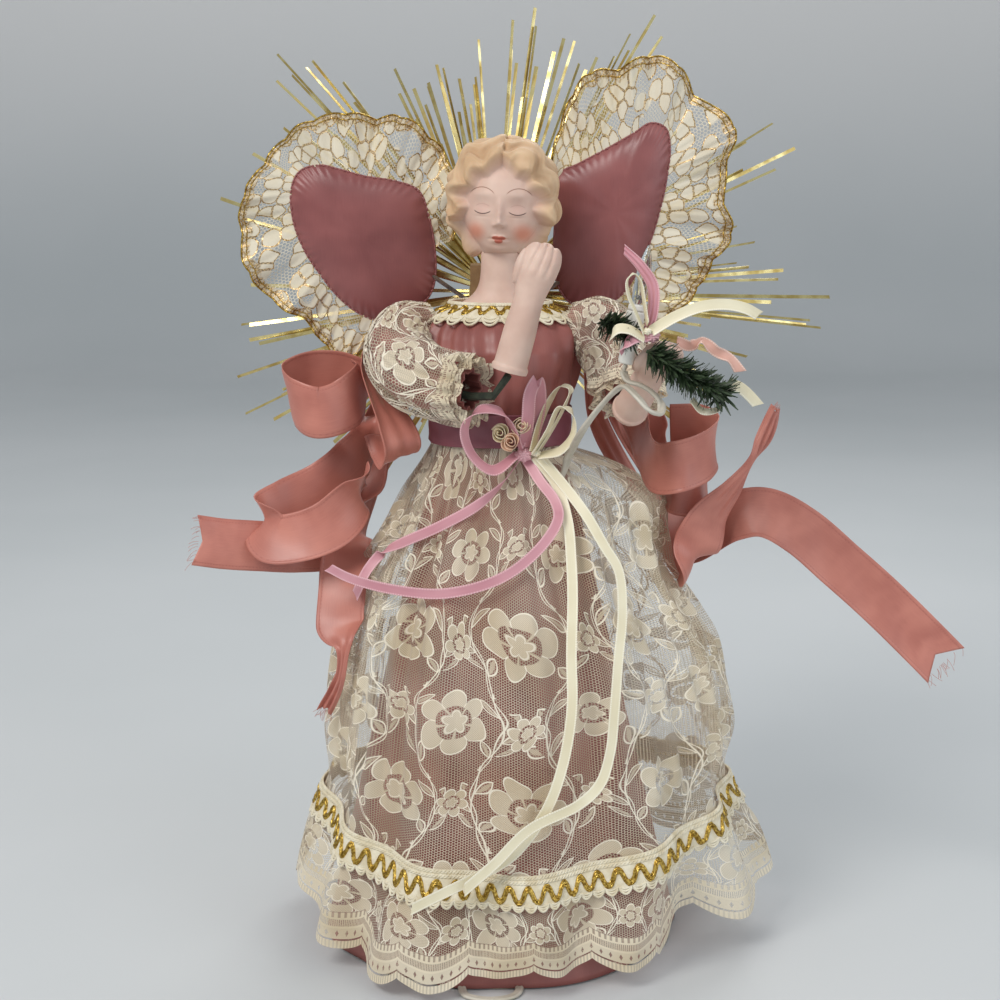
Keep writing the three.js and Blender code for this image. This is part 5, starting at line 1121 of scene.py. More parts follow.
tinsel_gold = metal("tinsel_gold", (232, 216, 156), (188, 164, 98), 0.27, 120.0)
thread_gold = metal("thread_gold", (216, 184, 96), (140, 106, 40), 0.34, 900.0)
bare_steel = metal("bare_steel", (176, 174, 170), (120, 118, 116), 0.36, 400.0)
blade_brass = metal("blade_brass", (206, 180, 120), (170, 140, 84), 0.3, 300.0)
cream_thread = plain("cream_thread", (240, 232, 210), (216, 202, 170), 0.8, 160.0, 0.2 * mm, Sheen_Weight=0.3)
lead_skin = plain("lead_skin", (214, 208, 194), (188, 180, 164), 0.42, 60.0)
lamp_plastic = plain("lamp_plastic", (236, 234, 226), (220, 216, 206), 0.32, 90.0)
needle_green = plain("needle_green", (58, 78, 46), (24, 38, 22), 0.5, 420.0, Specular_IOR_Level=0.6)
taped = plain("taped_wire", (58, 64, 50), (34, 40, 30), 0.75, 300.0, 0.2 * mm)
card = plain("card", (214, 204, 184), (194, 182, 158), 0.9, 120.0, 0.12 * mm)
block_wood = plain("block_wood", (168, 136, 96), (128, 98, 64), 0.75, 60.0, 0.15 * mm)


def clear_glass():
    material, tree, shader = finish("lamp_glass", Roughness=0.03, IOR=1.45, Transmission_Weight=1.0)
    ripple = texture("Noise", coordinates(tree, "Object"), 160.0, Detail=1.0)
    shown(shader, Base_Color=tinted(ripple["Fac"], colour(244, 248, 248), colour(232, 238, 240)),
          Normal=raised(ripple["Fac"], 0.1 * mm, 0.2))
    return material


glass = clear_glass()

# %% [markdown]
# ## The skirts
# The dress hangs on a card cone. The satin underskirt is a flat sector glued round it, so it has only
# shallow folds. The lace overskirt is a straight strip, gathered under the belt: its folds start sharp at
# the waist and grow soft, and at the figure's left it puffs out. The same folds as in the solids are used,
# with the finer creases added that a needle's gathers leave.

# %% Shapes that the skirts share
core_height = 290 * mm
foot_radius = 88 * mm
core_top_radius = 21 * mm
underskirt_height = 270 * mm
waist_top = 261.7 * mm
belt_bottom = 252 * mm
waist_radius = 33.23 * mm
overskirt_seam_radius = 87 * mm
seam_side_height = 74 * mm
ruffle_radius = 104 * mm
fall_shares = [
    [0, 0], [0.05, 0], [0.1, 0.05], [0.165, 0.15], [0.277, 0.33], [0.38, 0.55], [0.495, 0.71], [0.61, 0.8],
    [0.78, 0.86], [0.95, 0.94], [1, 1]]
puff_shares = [
    [0, 0], [0.07, 0], [0.12, 0.6], [0.2, 0.97], [0.3, 0.72], [0.4, 0.5], [0.5, 0.68], [0.6, 0.88], [0.8, 1],
    [1, 0.88]]
ruffle_reach_shares = [
    [-180, 1.02], [-163, 0.985], [-149, 1.02], [-134, 1], [-119, 1.04], [-105, 1.03], [-90, 0.975], [-74, 0.985],
    [-57, 1.01], [-45, 1.055], [-33, 1.04], [-22, 1.2], [-8, 1.33], [8, 1.3], [30, 1.14], [60, 1], [90, 1.02],
    [120, 1], [150, 1.02], [180, 1.02]]
ruffle_height_shares = [
    [-180, 0.42], [-163, 0.41], [-149, 0.25], [-134, 0.15], [-119, 0.09], [-105, 0.09], [-90, 0.16],
    [-74, 0.18], [-57, 0.16], [-45, 0.14], [-33, 0.36], [-22, 0.27], [-8, 0.37], [8, 0.45], [30, 0.35],
    [60, 0.18], [90, 0.16], [120, 0.18], [150, 0.27], [180, 0.42]]


def core_radius(z):
    return foot_radius + (core_top_radius - foot_radius) * z / core_height


def frontward(angle):
    return np.maximum(-np.sin(angle), 0)


def seam_height(angle):
    back = np.maximum(np.sin(angle), 0)
    return seam_side_height - 22 * mm * frontward(angle) ** 1.3 - 10 * mm * back ** 1.3


def overskirt_reach(angle, share):
    left = np.maximum(np.cos(angle), 0)
    fall = (overskirt_seam_radius - waist_radius) * through(fall_shares, share)
    puff = 31 * mm * through(puff_shares, share) * left**2
    return waist_radius + fall + puff + 9 * mm * share * frontward(angle)


def overskirt_fold(angle, share):
    depth = (0.4 + 2.8 * ease(share, 0.05, 0.3)) * mm
    phase = 13 * angle + 1.3 * np.sin(2 * angle + 0.7) + 0.8 * np.sin(3 * angle)
    return depth * np.cos(phase)


def overskirt_point(angle, share, lift):
    z = waist_top + (seam_height(angle) + 0.9 * mm - waist_top) * share
    return ring(angle, overskirt_reach(angle, share) + overskirt_fold(angle, share) + lift, z)


def ruffle_point(angle, share, lift, drop=0.0):
    degrees = (np.degrees(angle) + 180) % 360 - 180
    top = seam_height(angle) - 0.9 * mm
    z = top + (seam_side_height * through(ruffle_height_shares, degrees) - drop - top) * share
    fold = 4.5 * mm * np.cos(13 * angle + 1.1 * np.sin(2 * angle) + 0.9 * np.sin(5 * angle))
    start = overskirt_reach(angle, 1) + overskirt_fold(angle, 1) * (1 - share)
    reach = ruffle_radius * through(ruffle_reach_shares, degrees) - overskirt_reach(angle, 1)
    return ring(angle, start + reach * share**0.8 + fold * ease(share, 0, 0.5) + lift, z)


def around(share):
    """The way round from the back seam, as an angle from the figure's left."""
    return (full_turn * share + 1.5 * math.pi) % full_turn - math.pi


# %% The satin underskirt
underskirt_flat = (0.56, 0.275)


def underskirt_place(u, v):
    angle, z = around(u), 0.9 * mm + (underskirt_height - 1.2 * mm) * v
    depth = 2.2 * mm * (1 - z / underskirt_height)
    fold = 0.5 + 0.5 * np.cos(11 * angle + 1.4 * np.sin(3 * angle))
    crease = 0.25 * mm * np.cos(47 * angle + 5 * np.sin(2 * angle)) * ease(v, 0.4, 1)
    hem = 0.35 * mm * (ease(z, 6.2 * mm, 5.4 * mm) - 0.5)
    return ring(angle, core_radius(z) + 0.95 * mm + depth * fold + crease + hem, z)


underskirt = laid("underskirt", 300, 110, underskirt_place, underskirt_flat, closed=True, thickness=0.5 * mm)
dress(underskirt, mauve_satin, "figure", "satin", "satin_underskirt")
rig.sheet(underskirt, flat=underskirt_flat, area=0.105, held="laid", rests_on=["cone_core"])


# %% The lace overskirt and the ruffle below it
def overskirt_place(u, v):
    angle, share = around(u), 1 - v
    angle = angle - 0.175 * np.sin(2 * angle)
    gather = 0.55 * mm * np.cos(61 * angle + 3 * np.sin(3 * angle)) * ease(share, 0.02, 0.09) * (1 - share) ** 4
    depth = (0.5 + 2.9 * np.cos(angle) ** 2) * ease(share, 0.02, 0.2) * (1 - ease(share, 0.8, 0.96)) * mm
    side_folds = depth * (0.7 + np.cos(44 * angle + 2.6 * np.sin(3 * angle) + 1.6 * np.sin(5 * share)))
    ripple = 0.5 * mm * np.sin(9 * share + 5 * angle) * np.sin(23 * angle + 6 * share) * ease(share, 0.1, 0.4)
    lift = gather + side_folds + ripple * (1 - ease(share, 0.85, 0.95))
    return overskirt_point(angle, share, lift)


overskirt_flat = (0.66, 0.215)
overskirt = laid("overskirt", 660, 130, overskirt_place, overskirt_flat, closed=True)
dress(overskirt, skirt_lace, "figure", "lace", "lace_overskirt")
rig.sheet(overskirt, flat=overskirt_flat, held="gathered", rests_on=["satin_underskirt"])

ruffle_flat = (hem_scallops * scallop_width, 0.052)


def ruffle_place(u, v):
    angle, share = around(u), 1 - v
    scallop = np.abs(np.sin(math.pi * hem_scallops * u))
    ripple = 0.6 * mm * np.sin(41 * angle + 4 * share) * ease(share, 0.2, 0.7)
    return ruffle_point(angle, share, ripple, drop=1.8 * mm * scallop * share**2)


ruffle = laid("ruffle", 900, 48, ruffle_place, ruffle_flat, closed=True)
dress(ruffle, ruffle_lace, "figure", "lace", "hem_ruffle")
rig.sheet(ruffle, flat=ruffle_flat, held="gathered", rests_on=["satin_underskirt"])


# %% [markdown]
# Bought braid hides the seam between the two laces: a white corded edge, a gold zigzag, and small white
# scallops below. It is worked with threads on a woven band, because light catches each stitch of it.

# %% A braid: a band with a cord, a zigzag and scallops
def braid(name, point_at, teeth, flat, tooth_radius, scallop_count):
    """point_at(turn share, share across the band, lift) gives a place on the band."""
    band = laid(f"{name}_band", 540, 6, lambda u, v: point_at(u, 0.9 * (1 - v), np.zeros(len(u))), flat,
                closed=True, thickness=0.5 * mm)
    band.data.materials.append(cream_thread)
    pieces = [band]

    def worked(part, line, radius, material):
        strand = thread(f"{name}_{part}", line, radius, closed=True, sides=1)
        strand.data.materials.append(material)
        pieces.append(strand)

    turn = np.linspace(0, 1, teeth * 12, endpoint=False)
    saw = np.abs((turn * teeth) % 1 * 2 - 1)
    chance = np.random.default_rng(11)
    for offset, height in ((0.0, 1.1), (0.08, 0.6), (-0.08, 0.6), (0.04, 1.4), (-0.04, 1.3)):
        loose = 0.016 * np.convolve(chance.normal(0, 1, len(turn)), np.ones(3) / 3, "same")
        across = 0.36 + 0.3 * ease(saw, 0.08, 0.92) + offset + loose
        lift = height * tooth_radius + 0.16 * mm * chance.normal(0, 1, len(turn))
        worked("zigzag", point_at(turn, across, lift), 0.95 * tooth_radius, thread_gold)
    rope = np.linspace(0, 1, teeth * 16, endpoint=False)
    for middle in (0.06, 0.19):
        for strand in (0, math.pi):
            twist = full_turn * rope * 2.6 * teeth + strand
            worked("cord", point_at(rope, middle + 0.035 * np.cos(twist), (0.3 + 0.3 * np.sin(twist)) * mm),
                   0.5 * mm, cream_thread)
    turn = np.linspace(0, 1, scallop_count * 9, endpoint=False)
    hang = np.abs(np.sin(math.pi * scallop_count * turn)) ** 0.7
    for depth, radius in ((0.27, 0.6 * mm), (0.18, 0.5 * mm), (0.09, 0.5 * mm)):
        lift = np.full(len(turn), 0.35 * mm)
        worked("scallop", point_at(turn, 0.74 + depth * hang, lift), radius, cream_thread)
    return joined(name, pieces)


def hem_braid_point(turn, across, lift):
    angle = around(turn)
    base = 1.75 * mm + lift
    upper = overskirt_point(angle, 1 - 0.0373 * (1 - 2 * np.minimum(across, 0.5)), base)
    lower = ruffle_point(angle, 0.16 * (2 * np.maximum(across, 0.5) - 1), base + 0.6 * mm * (across > 0.5))
    share = ease(across, 0.42, 0.58)[:, None] if np.ndim(across) else ease(across, 0.42, 0.58)
    return upper * (1 - share) + lower * share


hem_braid = braid("braid_at_hem", hem_braid_point, 72, (0.62, 0.014), 0.55 * mm, 112)
dress(hem_braid, None, "figure", "gold_braid", "hem_braid")

# %% [markdown]
# ## Bodice and belt
# The bodice is one length of satin, gathered at the waist and at the neck over the porcelain's shoulder
# plate. Cloth gathered at both ends makes soft lengthwise folds, and sags across the chest.

# %% The bodice
bodice_flat = (0.25, 0.062)
bodice_rows = np.array([
    [262.5, 32.2, 32.2, 0], [268, 33.5, 33.5, 0], [282.3, 37.7, 34.2, -1.5], [296, 41, 33.5, -1.5],
    [303.9, 40.6, 29.1, -1], [311, 35.7, 24.1, -1], [316, 28.3, 20.1, -1.04], [318, 23.4, 17.4, -1.04]]) * mm


def bodice_point(angle, z, lift):
    width, depth, forward = (through(bodice_rows[:, [0, k]], z) for k in (1, 2, 3))
    return stack((width + lift) * np.cos(angle), forward + (depth + lift) * np.sin(angle), z)


def bodice_place(u, v):
    angle, z = around(u), bodice_rows[0, 0] + (bodice_rows[-1, 0] - bodice_rows[0, 0]) * v
    middle = ease(v, 0, 0.25) * ease(v, 1, 0.8)
    fold = 0.8 * np.cos(22 * angle + 2 * np.sin(3 * angle) + 3 * v)
    drape = 0.9 * np.cos(7 * angle - 9 * v + 1.5 * np.sin(2 * angle))
    return bodice_point(angle, z, (fold + drape) * mm * middle)


bodice = laid("bodice_satin", 280, 70, bodice_place, bodice_flat, closed=True, thickness=0.5 * mm)
dress(bodice, mauve_satin, "figure", "satin", "bodice")
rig.sheet(bodice, flat=bodice_flat, held="gathered", rests_on=["cone_core", "porcelain_bust"])


# %% The belt
belt_flat = (0.225, belt_width)


def belt_place(u, v):
    angle = around(u)
    z = belt_bottom + belt_width * v + 0.4 * mm * np.sin(3 * angle)
    crease = 0.3 * mm * np.sin(9 * v + 4 * angle) * np.sin(11 * angle)
    edge = 0.25 * mm * (ease(np.abs(v - 0.5), 0.4, 0.44))
    return ring(angle, 35.25 * mm + crease + edge, z)


belt = laid("belt", 240, 24, belt_place, belt_flat, closed=True, thickness=0.4 * mm)
dress(belt, belt_ribbon, "figure", "mauve_ribbon", "waist_belt")
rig.sheet(belt, flat=belt_flat, held="stretched", rests_on=["bodice", "lace_overskirt"])


# %% The neck braid
def neck_braid_point(turn, across, lift):
    angle = around(turn)
    z = np.interp(across, [0, 0.35, 0.7, 1], np.array([320.3, 318.6, 315.6, 310.6]) * mm)
    grow = np.interp(across, [0, 0.35, 0.7, 1], np.array([0.9, 2.0, 2.3, 2.5]) * mm)
    under = np.minimum(z, bodice_rows[-1, 0])
    return bodice_point(angle, under, grow + lift) * [1, 1, 0] + np.stack([0 * z, 0 * z, z + 0.5 * lift], axis=1)


neck_braid = braid("braid_at_neck", neck_braid_point, 22, (0.15, 0.012), 0.45 * mm, 24)
dress(neck_braid, None, "figure", "gold_braid", "neck_braid")

# %% [markdown]
# ## The bust
# Head, neck and shoulder plate come out of one mould, so they are one skin here too. A sphere's rings are
# re-laid: the lowest close the plate, the next climb the shoulders and the neck, and the rest make the head.
# The face is built from small soft forms, each a bell-shaped rise or dent: sockets, lids, nose, lips, chin.
# The hair is a thicker layer whose locks run round the face from a centre parting, in waves.

# %% The forms of the face, in millimetres: across, up, reach across, reach up, rise
face_forms = [
    (8.6, -3.2, 5.2, 4.6, -1.7), (8.6, -4.9, 4.4, 2.7, 1.5), (8.8, -6.9, 3.6, 0.55, -0.35),
    (8.2, 3.4, 6.0, 2.0, 0.6), (0, -2.0, 1.9, 4.2, 1.3), (0, -7.0, 1.8, 3.2, 2.0), (0, -9.9, 2.0, 1.7, 2.6),
    (2.3, -10.7, 1.1, 1.1, 1.1), (1.3, -12.0, 0.7, 0.5, -0.5), (0, -13.9, 0.8, 1.4, -0.25),
    (1.6, -16.3, 1.9, 0.8, 1.0), (0, -16.9, 1.2, 0.7, 0.4), (0, -18.4, 2.6, 0.95, 1.3),
    (0, -17.4, 3.9, 0.3, -0.55), (4.3, -17.3, 0.9, 0.8, -0.4), (0, -20.6, 3.4, 1.0, -0.5),
    (0, -25.2, 4.6, 2.6, 1.9), (11.5, -14.0, 5.0, 5.5, 1.3), (0, 9.0, 12.0, 6.0, 0.6)]
face_edge_shares = [
    [-1, 0.74], [-0.75, 0.84], [-0.3, 0.86], [0, 0.84], [0.2, 0.7], [0.33, 0.5], [0.46, 0.26], [0.56, 0.06],
    [0.62, -0.05], [0.75, -0.3], [1, -0.5]]


def bell(distance, reach):
    return np.exp(-((distance / reach) ** 2))


def head_form(latitude, longitude):
    """The head's points about its own centre, how far each is under hair, and the depth of the strand there, for
    painted shade.
    """
    x, front, up = np.cos(latitude) * np.sin(longitude), np.cos(latitude) * np.cos(longitude), np.sin(latitude)
    jaw = 1 - 0.3 * ease(-up, 0.25, 0.95)
    low = 1 + 0.1 * bell(up + 0.84, 0.14) * ease(front, 0.1, 0.5)
    point = stack(x * face_half_width * jaw, -front * face_half_depth * low, up * head_half_height)
    about = np.arctan2(np.abs(point[:, 0]), point[:, 2])
    lobes = 0.07 * np.sin(9.5 * about + 0.6) * ease(about, 0.25, 0.6)
    edge = (through(face_edge_shares, up) + lobes) * face_half_width
    beside = ease(np.abs(point[:, 0]) - edge, -0.8 * mm, 1.8 * mm)
    hair = np.maximum(beside, ease(-front, -0.25, 0)) * ease(up, -0.92, -0.66)
    outward = np.arccos(np.clip(front, -1, 1))
    flow = outward + 0.16 * np.sin(7.5 * about + 1.2 * np.sign(x)) + 0.05 * np.sin(17 * about)
    waves = 0.15 * np.sin(9 * about + 2.4 * outward + 0.8 * np.sign(x))
    locks = 0.12 * np.sin(11 * flow) + 0.035 * np.sin(23 * flow + 2 * about)
    strands = 0.5 + 0.5 * np.sin(40 * flow + 3 * np.sin(5 * about))
    parting = 0.09 * bell(x, 0.06) * ease(up, 0.3, 0.6)
    crown = 1 - 0.66 * ease(up, 0.55, 1)
    thick = hair_thickness * (0.94 * crown + waves * (1 - 0.5 * bell(about, 0.5)) + locks - parting)
    thick -= 0.2 * mm * strands
    point += unit(point) * (hair * thick)[:, None]
    forward = (front > 0) * (1 - hair)
    for across, height, reach_across, reach_up, rise in face_forms:
        side = bell(np.abs(point[:, 0]) - across * mm, reach_across * mm)
        point[:, 1] -= forward * rise * mm * side * bell(point[:, 2] - height * mm, reach_up * mm)
    # groove is high in the hair's grooves, where the finish paints shade.
    groove = 0.3 * strands + 0.7 * (0.5 - 0.5 * np.sin(11 * flow))
    return point, hair, groove, forward


# %% The bust's skin
def posed(points):
    roll, turn = head_roll, head_turn
    x, y, z = points.T
    x, z = x * math.cos(roll) + z * math.sin(roll), z * math.cos(roll) - x * math.sin(roll)
    x, y = x * math.cos(turn) - y * math.sin(turn), x * math.sin(turn) + y * math.cos(turn)
    return stack(x, y, z) + head_centre


bust_rows = np.array([
    [290.3, 22.5, 16.5, 0], [298, 27, 19.5, 0], [306, 29.2, 20, 0], [312.5, 27.5, 19, 0], [316.5, 24, 17.3, -0.8],
    [319.3, 19.3, 15.2, -1.3], [322.5, 14.6, 12.9, -1.7], [326.5, 11.3, 10.8, -2.35], [331.2, 9.8, 9.7, -2.7],
    [337.7, 9.3, 9.4, -3.1], [349, 9.3, 9.6, -3.1]]) * mm


def bust():
    piece, start = ball(300, 250)
    height = np.arcsin(np.clip(start[:, 2], -1, 1)) / math.pi + 0.5
    longitude = np.arctan2(start[:, 0], -start[:, 1])
    base_end, neck_end = 0.03, 0.3
    climb = np.clip((height - base_end) / (neck_end - base_end), 0, 1)
    z = bust_rows[0, 0] + (head_centre[2] - 24 * mm - bust_rows[0, 0]) * climb
    width, depth, forward = (through(bust_rows[:, [0, k]], z) for k in (1, 2, 3))
    inner = np.clip(height / base_end, 0, 1)
    body = stack(width * inner * np.sin(longitude), forward - depth * inner * np.cos(longitude), z)
    latitude = -0.33 * math.pi + (height - neck_end) / (1 - neck_end) * 0.83 * math.pi
    head, hair, groove, forward = head_form(np.clip(latitude, -math.pi / 2, math.pi / 2), longitude)
    share = ease(height, neck_end - 0.012, neck_end + 0.07)[:, None]
    move_points(piece, body * (1 - share) + posed(head) * share)
    share = share[:, 0] * (height > neck_end)
    paint = piece.data.attributes.new("paint", "FLOAT_VECTOR", "POINT")
    paint.data.foreach_set("vector", np.stack([hair * share, forward * share, 0 * share], axis=1).ravel())
    strand = piece.data.attributes.new("strand", "FLOAT", "POINT")
    strand.data.foreach_set("value", groove * share)
    bpy.ops.object.shade_smooth()
    piece.name = piece.data.name = "bust"
    return piece


bust_piece = bust()
dress(bust_piece, bisque_finish, "figure", "porcelain", "porcelain_bust")

# %% [markdown]
# ## Sleeves
# Each arm is a bare wire inside two sleeves: puffed satin, and a longer lace one that flares over it and
# ends in small ruffles. Both follow the bent wire, so they are tubes laid round a curved line. The frame of
# each ring is carried along the line without twist, or the folds would spiral.

# %% Tubes round a curved line
def even_line(points, count):
    """The smooth line through points, with its places evenly spaced."""
    fine = spline(points, np.linspace(0, 1, 1200))
    run = np.concatenate([[0], np.cumsum(np.linalg.norm(np.diff(fine, axis=0), axis=1))])
    return np.stack([np.interp(np.linspace(0, run[-1], count), run, fine[:, k]) for k in range(3)], axis=1)


def frames_along(line):
    along = unit(np.gradient(line, axis=0))
    normals = np.empty_like(along)
    carried_over = upright
    for i, direction in enumerate(along):
        carried_over = unit(carried_over - direction * carried_over.dot(direction))
        normals[i] = carried_over
    return along, normals, np.cross(along, normals)


def tube_place(points, radius_at, count=400):
    """radius_at(share along, angle) gives the tube's radius. The tube's foot is at the line's end."""
    line = even_line(points, count)
    _, normals, sides = frames_along(line)

    def at(u, v):
        share, angle = 1 - v, full_turn * u
        centre, normal, side = (between(table, share * (count - 1)) for table in (line, normals, sides))
        radius = radius_at(share, angle)[:, None]
        return centre - normal * radius * np.cos(angle)[:, None] + side * radius * np.sin(angle)[:, None]
    return at


# %% The sleeves
sleeve_radius = 14.5 * mm
satin_sleeve_flat = (0.085, 0.06)
lace_sleeve_flat = (0.108, 0.062)
sleeve_radius_shares = [[0, 0.6], [0.2, 0.92], [0.45, 1], [0.75, 0.86], [1, 0.62]]
sleeve_shares = {
    "right": [[-8.6, -0.6, 77.2], [-11.3, -2, 76.4], [-12.1, -4.6, 73.9], [-10, -7.4, 71.8], [-6, -10.1, 70.6],
              [-3.4, -11.7, 70.5]],
    "left": [[8.6, -0.6, 77.2], [11.9, -1.9, 76.4], [14.1, -4, 74.4], [15.1, -6.7, 71.2], [15, -8.3, 69.2]]}


def satin_radius(share, angle):
    puff = 0.9 * np.cos(9 * angle + 4 * share) + 0.5 * np.cos(17 * angle - 7 * share)
    return sleeve_radius * through(sleeve_radius_shares, share) + mm * puff


def lace_radius(share, angle):
    base = sleeve_radius * through(sleeve_radius_shares, share) + 3.0 * mm
    flare = 4.5 * share**3 * (1 + 0.4 * np.cos(5 * angle))
    ruffles = 1.7 * share**4 * np.cos(11 * angle + 2 * np.sin(2 * angle))
    ruffles = ruffles + 1.1 * share**2 * np.cos(7 * angle - 8 * share)
    gather = 0.35 * np.cos(31 * angle) * ease(share, 0.95, 0.6) + 0.5 * np.cos(5 * angle + 9 * share)
    return base + mm * (flare + ruffles + gather)


for side, shares in sleeve_shares.items():
    satin_sleeve = laid(f"{side}_sleeve_puff", 130, 70, tube_place(place(shares), satin_radius),
                        satin_sleeve_flat, closed=True, thickness=0.4 * mm)
    dress(satin_sleeve, mauve_satin, "figure", "satin", f"{side}_sleeve_satin")
    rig.sheet(satin_sleeve, flat=satin_sleeve_flat, held="gathered", rests_on=["arm_wire"])
    lace_sleeve = laid(f"{side}_oversleeve", 240, 96, tube_place(place(shares), lace_radius),
                       lace_sleeve_flat, closed=True)
    dress(lace_sleeve, sleeve_lace, "figure", "lace", f"{side}_sleeve_lace")
    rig.sheet(lace_sleeve, flat=lace_sleeve_flat, held="gathered", rests_on=[f"{side}_sleeve_satin"])

# %% The frills at the sleeves' ends
frill_flat = (0.115, 12 * mm)


def frill_radius(share, angle):
    wave = 2.3 * np.cos(9 * angle + 1.5 * np.sin(2 * angle)) + 1.0 * np.cos(17 * angle + 2)
    return mm * (9.8 + 5.6 * share**0.8 + wave * share**1.2)


for side, shares in sleeve_shares.items():
    line = spline(place(shares), np.linspace(0.84, 1.0, 8))
    beyond = line[-1] + unit(line[-1] - line[-2]) * 4 * mm
    frill = laid(f"{side}_frill", 300, 26, tube_place([*line, beyond], frill_radius), frill_flat, closed=True)
    dress(frill, sleeve_lace, None if side == "left" else "figure", "lace")
    if side == "left":
        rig.blend(frill, "figure", "left_forearm", start=(0.06, -0.022, 0.281), end=(0.061, -0.04, 0.2735))
    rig.sheet(frill, flat=frill_flat, held="gathered", rests_on=[f"{side}_sleeve_lace"])

# %% [markdown]
# ## Forearms
# The forearm, cuff and closed hand are one casting too. A sphere's rings are re-laid along the arm, the
# lowest turned in to make the hollow where the wire goes in. The thumb is a second form, and remeshing the
# two together melts them into one skin, as the mould's soft edges do.

# %% A forearm
forearm_length = 62 * mm
cuff_radius = 8.7 * mm
arm_widths = [
    [0, 0.97], [0.045, 1.0], [0.058, 0.91], [0.3, 0.88], [0.54, 0.8], [0.64, 0.9], [0.74, 1.04], [0.84, 1.08],
    [0.92, 0.98], [0.97, 0.74], [1, 0.2]]
arm_depths = [
    [0, 0.97], [0.045, 1.0], [0.058, 0.91], [0.3, 0.87], [0.54, 0.76], [0.64, 0.72], [0.74, 0.76], [0.84, 0.74],
    [0.92, 0.62], [0.97, 0.44], [1, 0.1]]
elbows = {"right": place([1, -15, 73]), "left": place([15.2, -11.5, 68])}
forearm_ways = {"right": (0.262, 0, 0.965), "left": (0.201, -0.793, 0.573)}


def forearm(side):
    arm, start = ball(110, 200)
    height = np.arcsin(np.clip(start[:, 2], -1, 1)) / math.pi + 0.5
    angle = np.arctan2(start[:, 1], start[:, 0])
    share = np.clip((height - 0.08) / 0.92, 0, 1)
    inner = np.clip(height / 0.08, 0, 1)
    width = cuff_radius * through(arm_widths, share) * np.interp(inner, [0, 0.6, 1], [0, 0.72, 1])
    depth = cuff_radius * through(arm_depths, share) * np.interp(inner, [0, 0.6, 1], [0, 0.72, 1])
    x, y = width * np.cos(angle), depth * np.sin(angle)
    z = forearm_length * share + 4.5 * mm * ease(inner, 1, 0.5)
    front = ease(-np.sin(angle), -0.1, 0.4)
    fingers = ease(share, 0.74, 0.86) * front
    for groove in (-4.1, 0.1, 4.2):
        line = groove * mm * (1 - 0.25 * ease(share, 0.85, 1)) + 0.7 * mm * ease(share, 0.75, 1)
        dent = bell(x - line, 0.62 * mm)
        y += 0.85 * mm * fingers * dent
        z -= 1.1 * mm * ease(share, 0.93, 1) * dent
    y -= 0.45 * mm * front * bell(share - 0.77, 0.035) * (0.5 - 0.5 * np.cos(full_turn * x / (4.15 * mm)))
    x += 1.3 * mm * ease(share, 0.6, 1)
    move_points(arm, stack(x, y, z))
    thumb, _ = ball(40, 24)
    points = points_of(thumb) * np.array([2.5, 2.7, 8.6]) * mm
    points[:, 0] -= 7.9 * mm - 0.06 * points[:, 2]
    move_points(thumb, points + np.array([0, -1.6, 48.6]) * mm)
    arm = joined(f"{side}_arm", [arm, thumb])
    apply_modifier(arm, "REMESH", mode="VOXEL", voxel_size=0.42 * mm)
    apply_modifier(arm, "SMOOTH", factor=0.5, iterations=4)
    turn = Vector((0, 0, 1)).rotation_difference(Vector(forearm_ways[side])).to_matrix()
    move_points(arm, points_of(arm) @ np.array(turn).T + elbows[side])
    bpy.ops.object.shade_smooth()
    dress(arm, bisque_finish, f"{side}_forearm", "porcelain", f"{side}_forearm")


for side in ("right", "left"):
    forearm(side)

# %% [markdown]
# ## Wings
# Each wing is a satin cushion, cut as a leaf and stuffed, with a strip of lace gathered along its edge. A
# stuffed cushion is fullest in the middle and puckers at its seam, where the cloth has to shorten.

# %% The wing cushions
wing_plane = 37 * mm
pad_shares = {
    "right": [
        [-8.2, 83], [-8.9, 89.6], [-10.3, 93.2], [-13.2, 94.4], [-17, 95], [-20, 95.8], [-23, 96.4],
        [-25.3, 95.6], [-26.4, 93.4], [-26.2, 89.4], [-25, 86], [-23, 82.8], [-20.6, 79.8], [-17.8, 77.6],
        [-14.4, 76.6], [-11.4, 78], [-9, 80]],
    "left": [
        [6.9, 84], [7, 90], [7.4, 95.2], [10, 96.6], [13.4, 98.4], [16.6, 100.2], [19, 101.6], [20.8, 101],
        [21.4, 98.6], [21, 94.4], [20.2, 90.6], [19, 86.6], [17.4, 82.8], [15.2, 79.8], [12.2, 78.4],
        [9.4, 78.8], [7.6, 80.8]]}


def flat_uv(piece):
    """A UV map in metres, as seen from the front."""
    corners = np.empty(len(piece.data.loops), dtype=int)
    piece.data.loops.foreach_get("vertex_index", corners)
    where = points_of(piece)[corners][:, [0, 2]]
    piece.data.uv_layers.active.data.foreach_set("uv", where.ravel())


def outline_of(shares, count):
    points = place([[x, 0, z] for x, z in shares])
    looped = np.concatenate([points[-3:], points, points[:3]])
    inner = np.linspace(3, len(points) + 3, count, endpoint=False) / (len(looped) - 1)
    return spline(looped, inner)


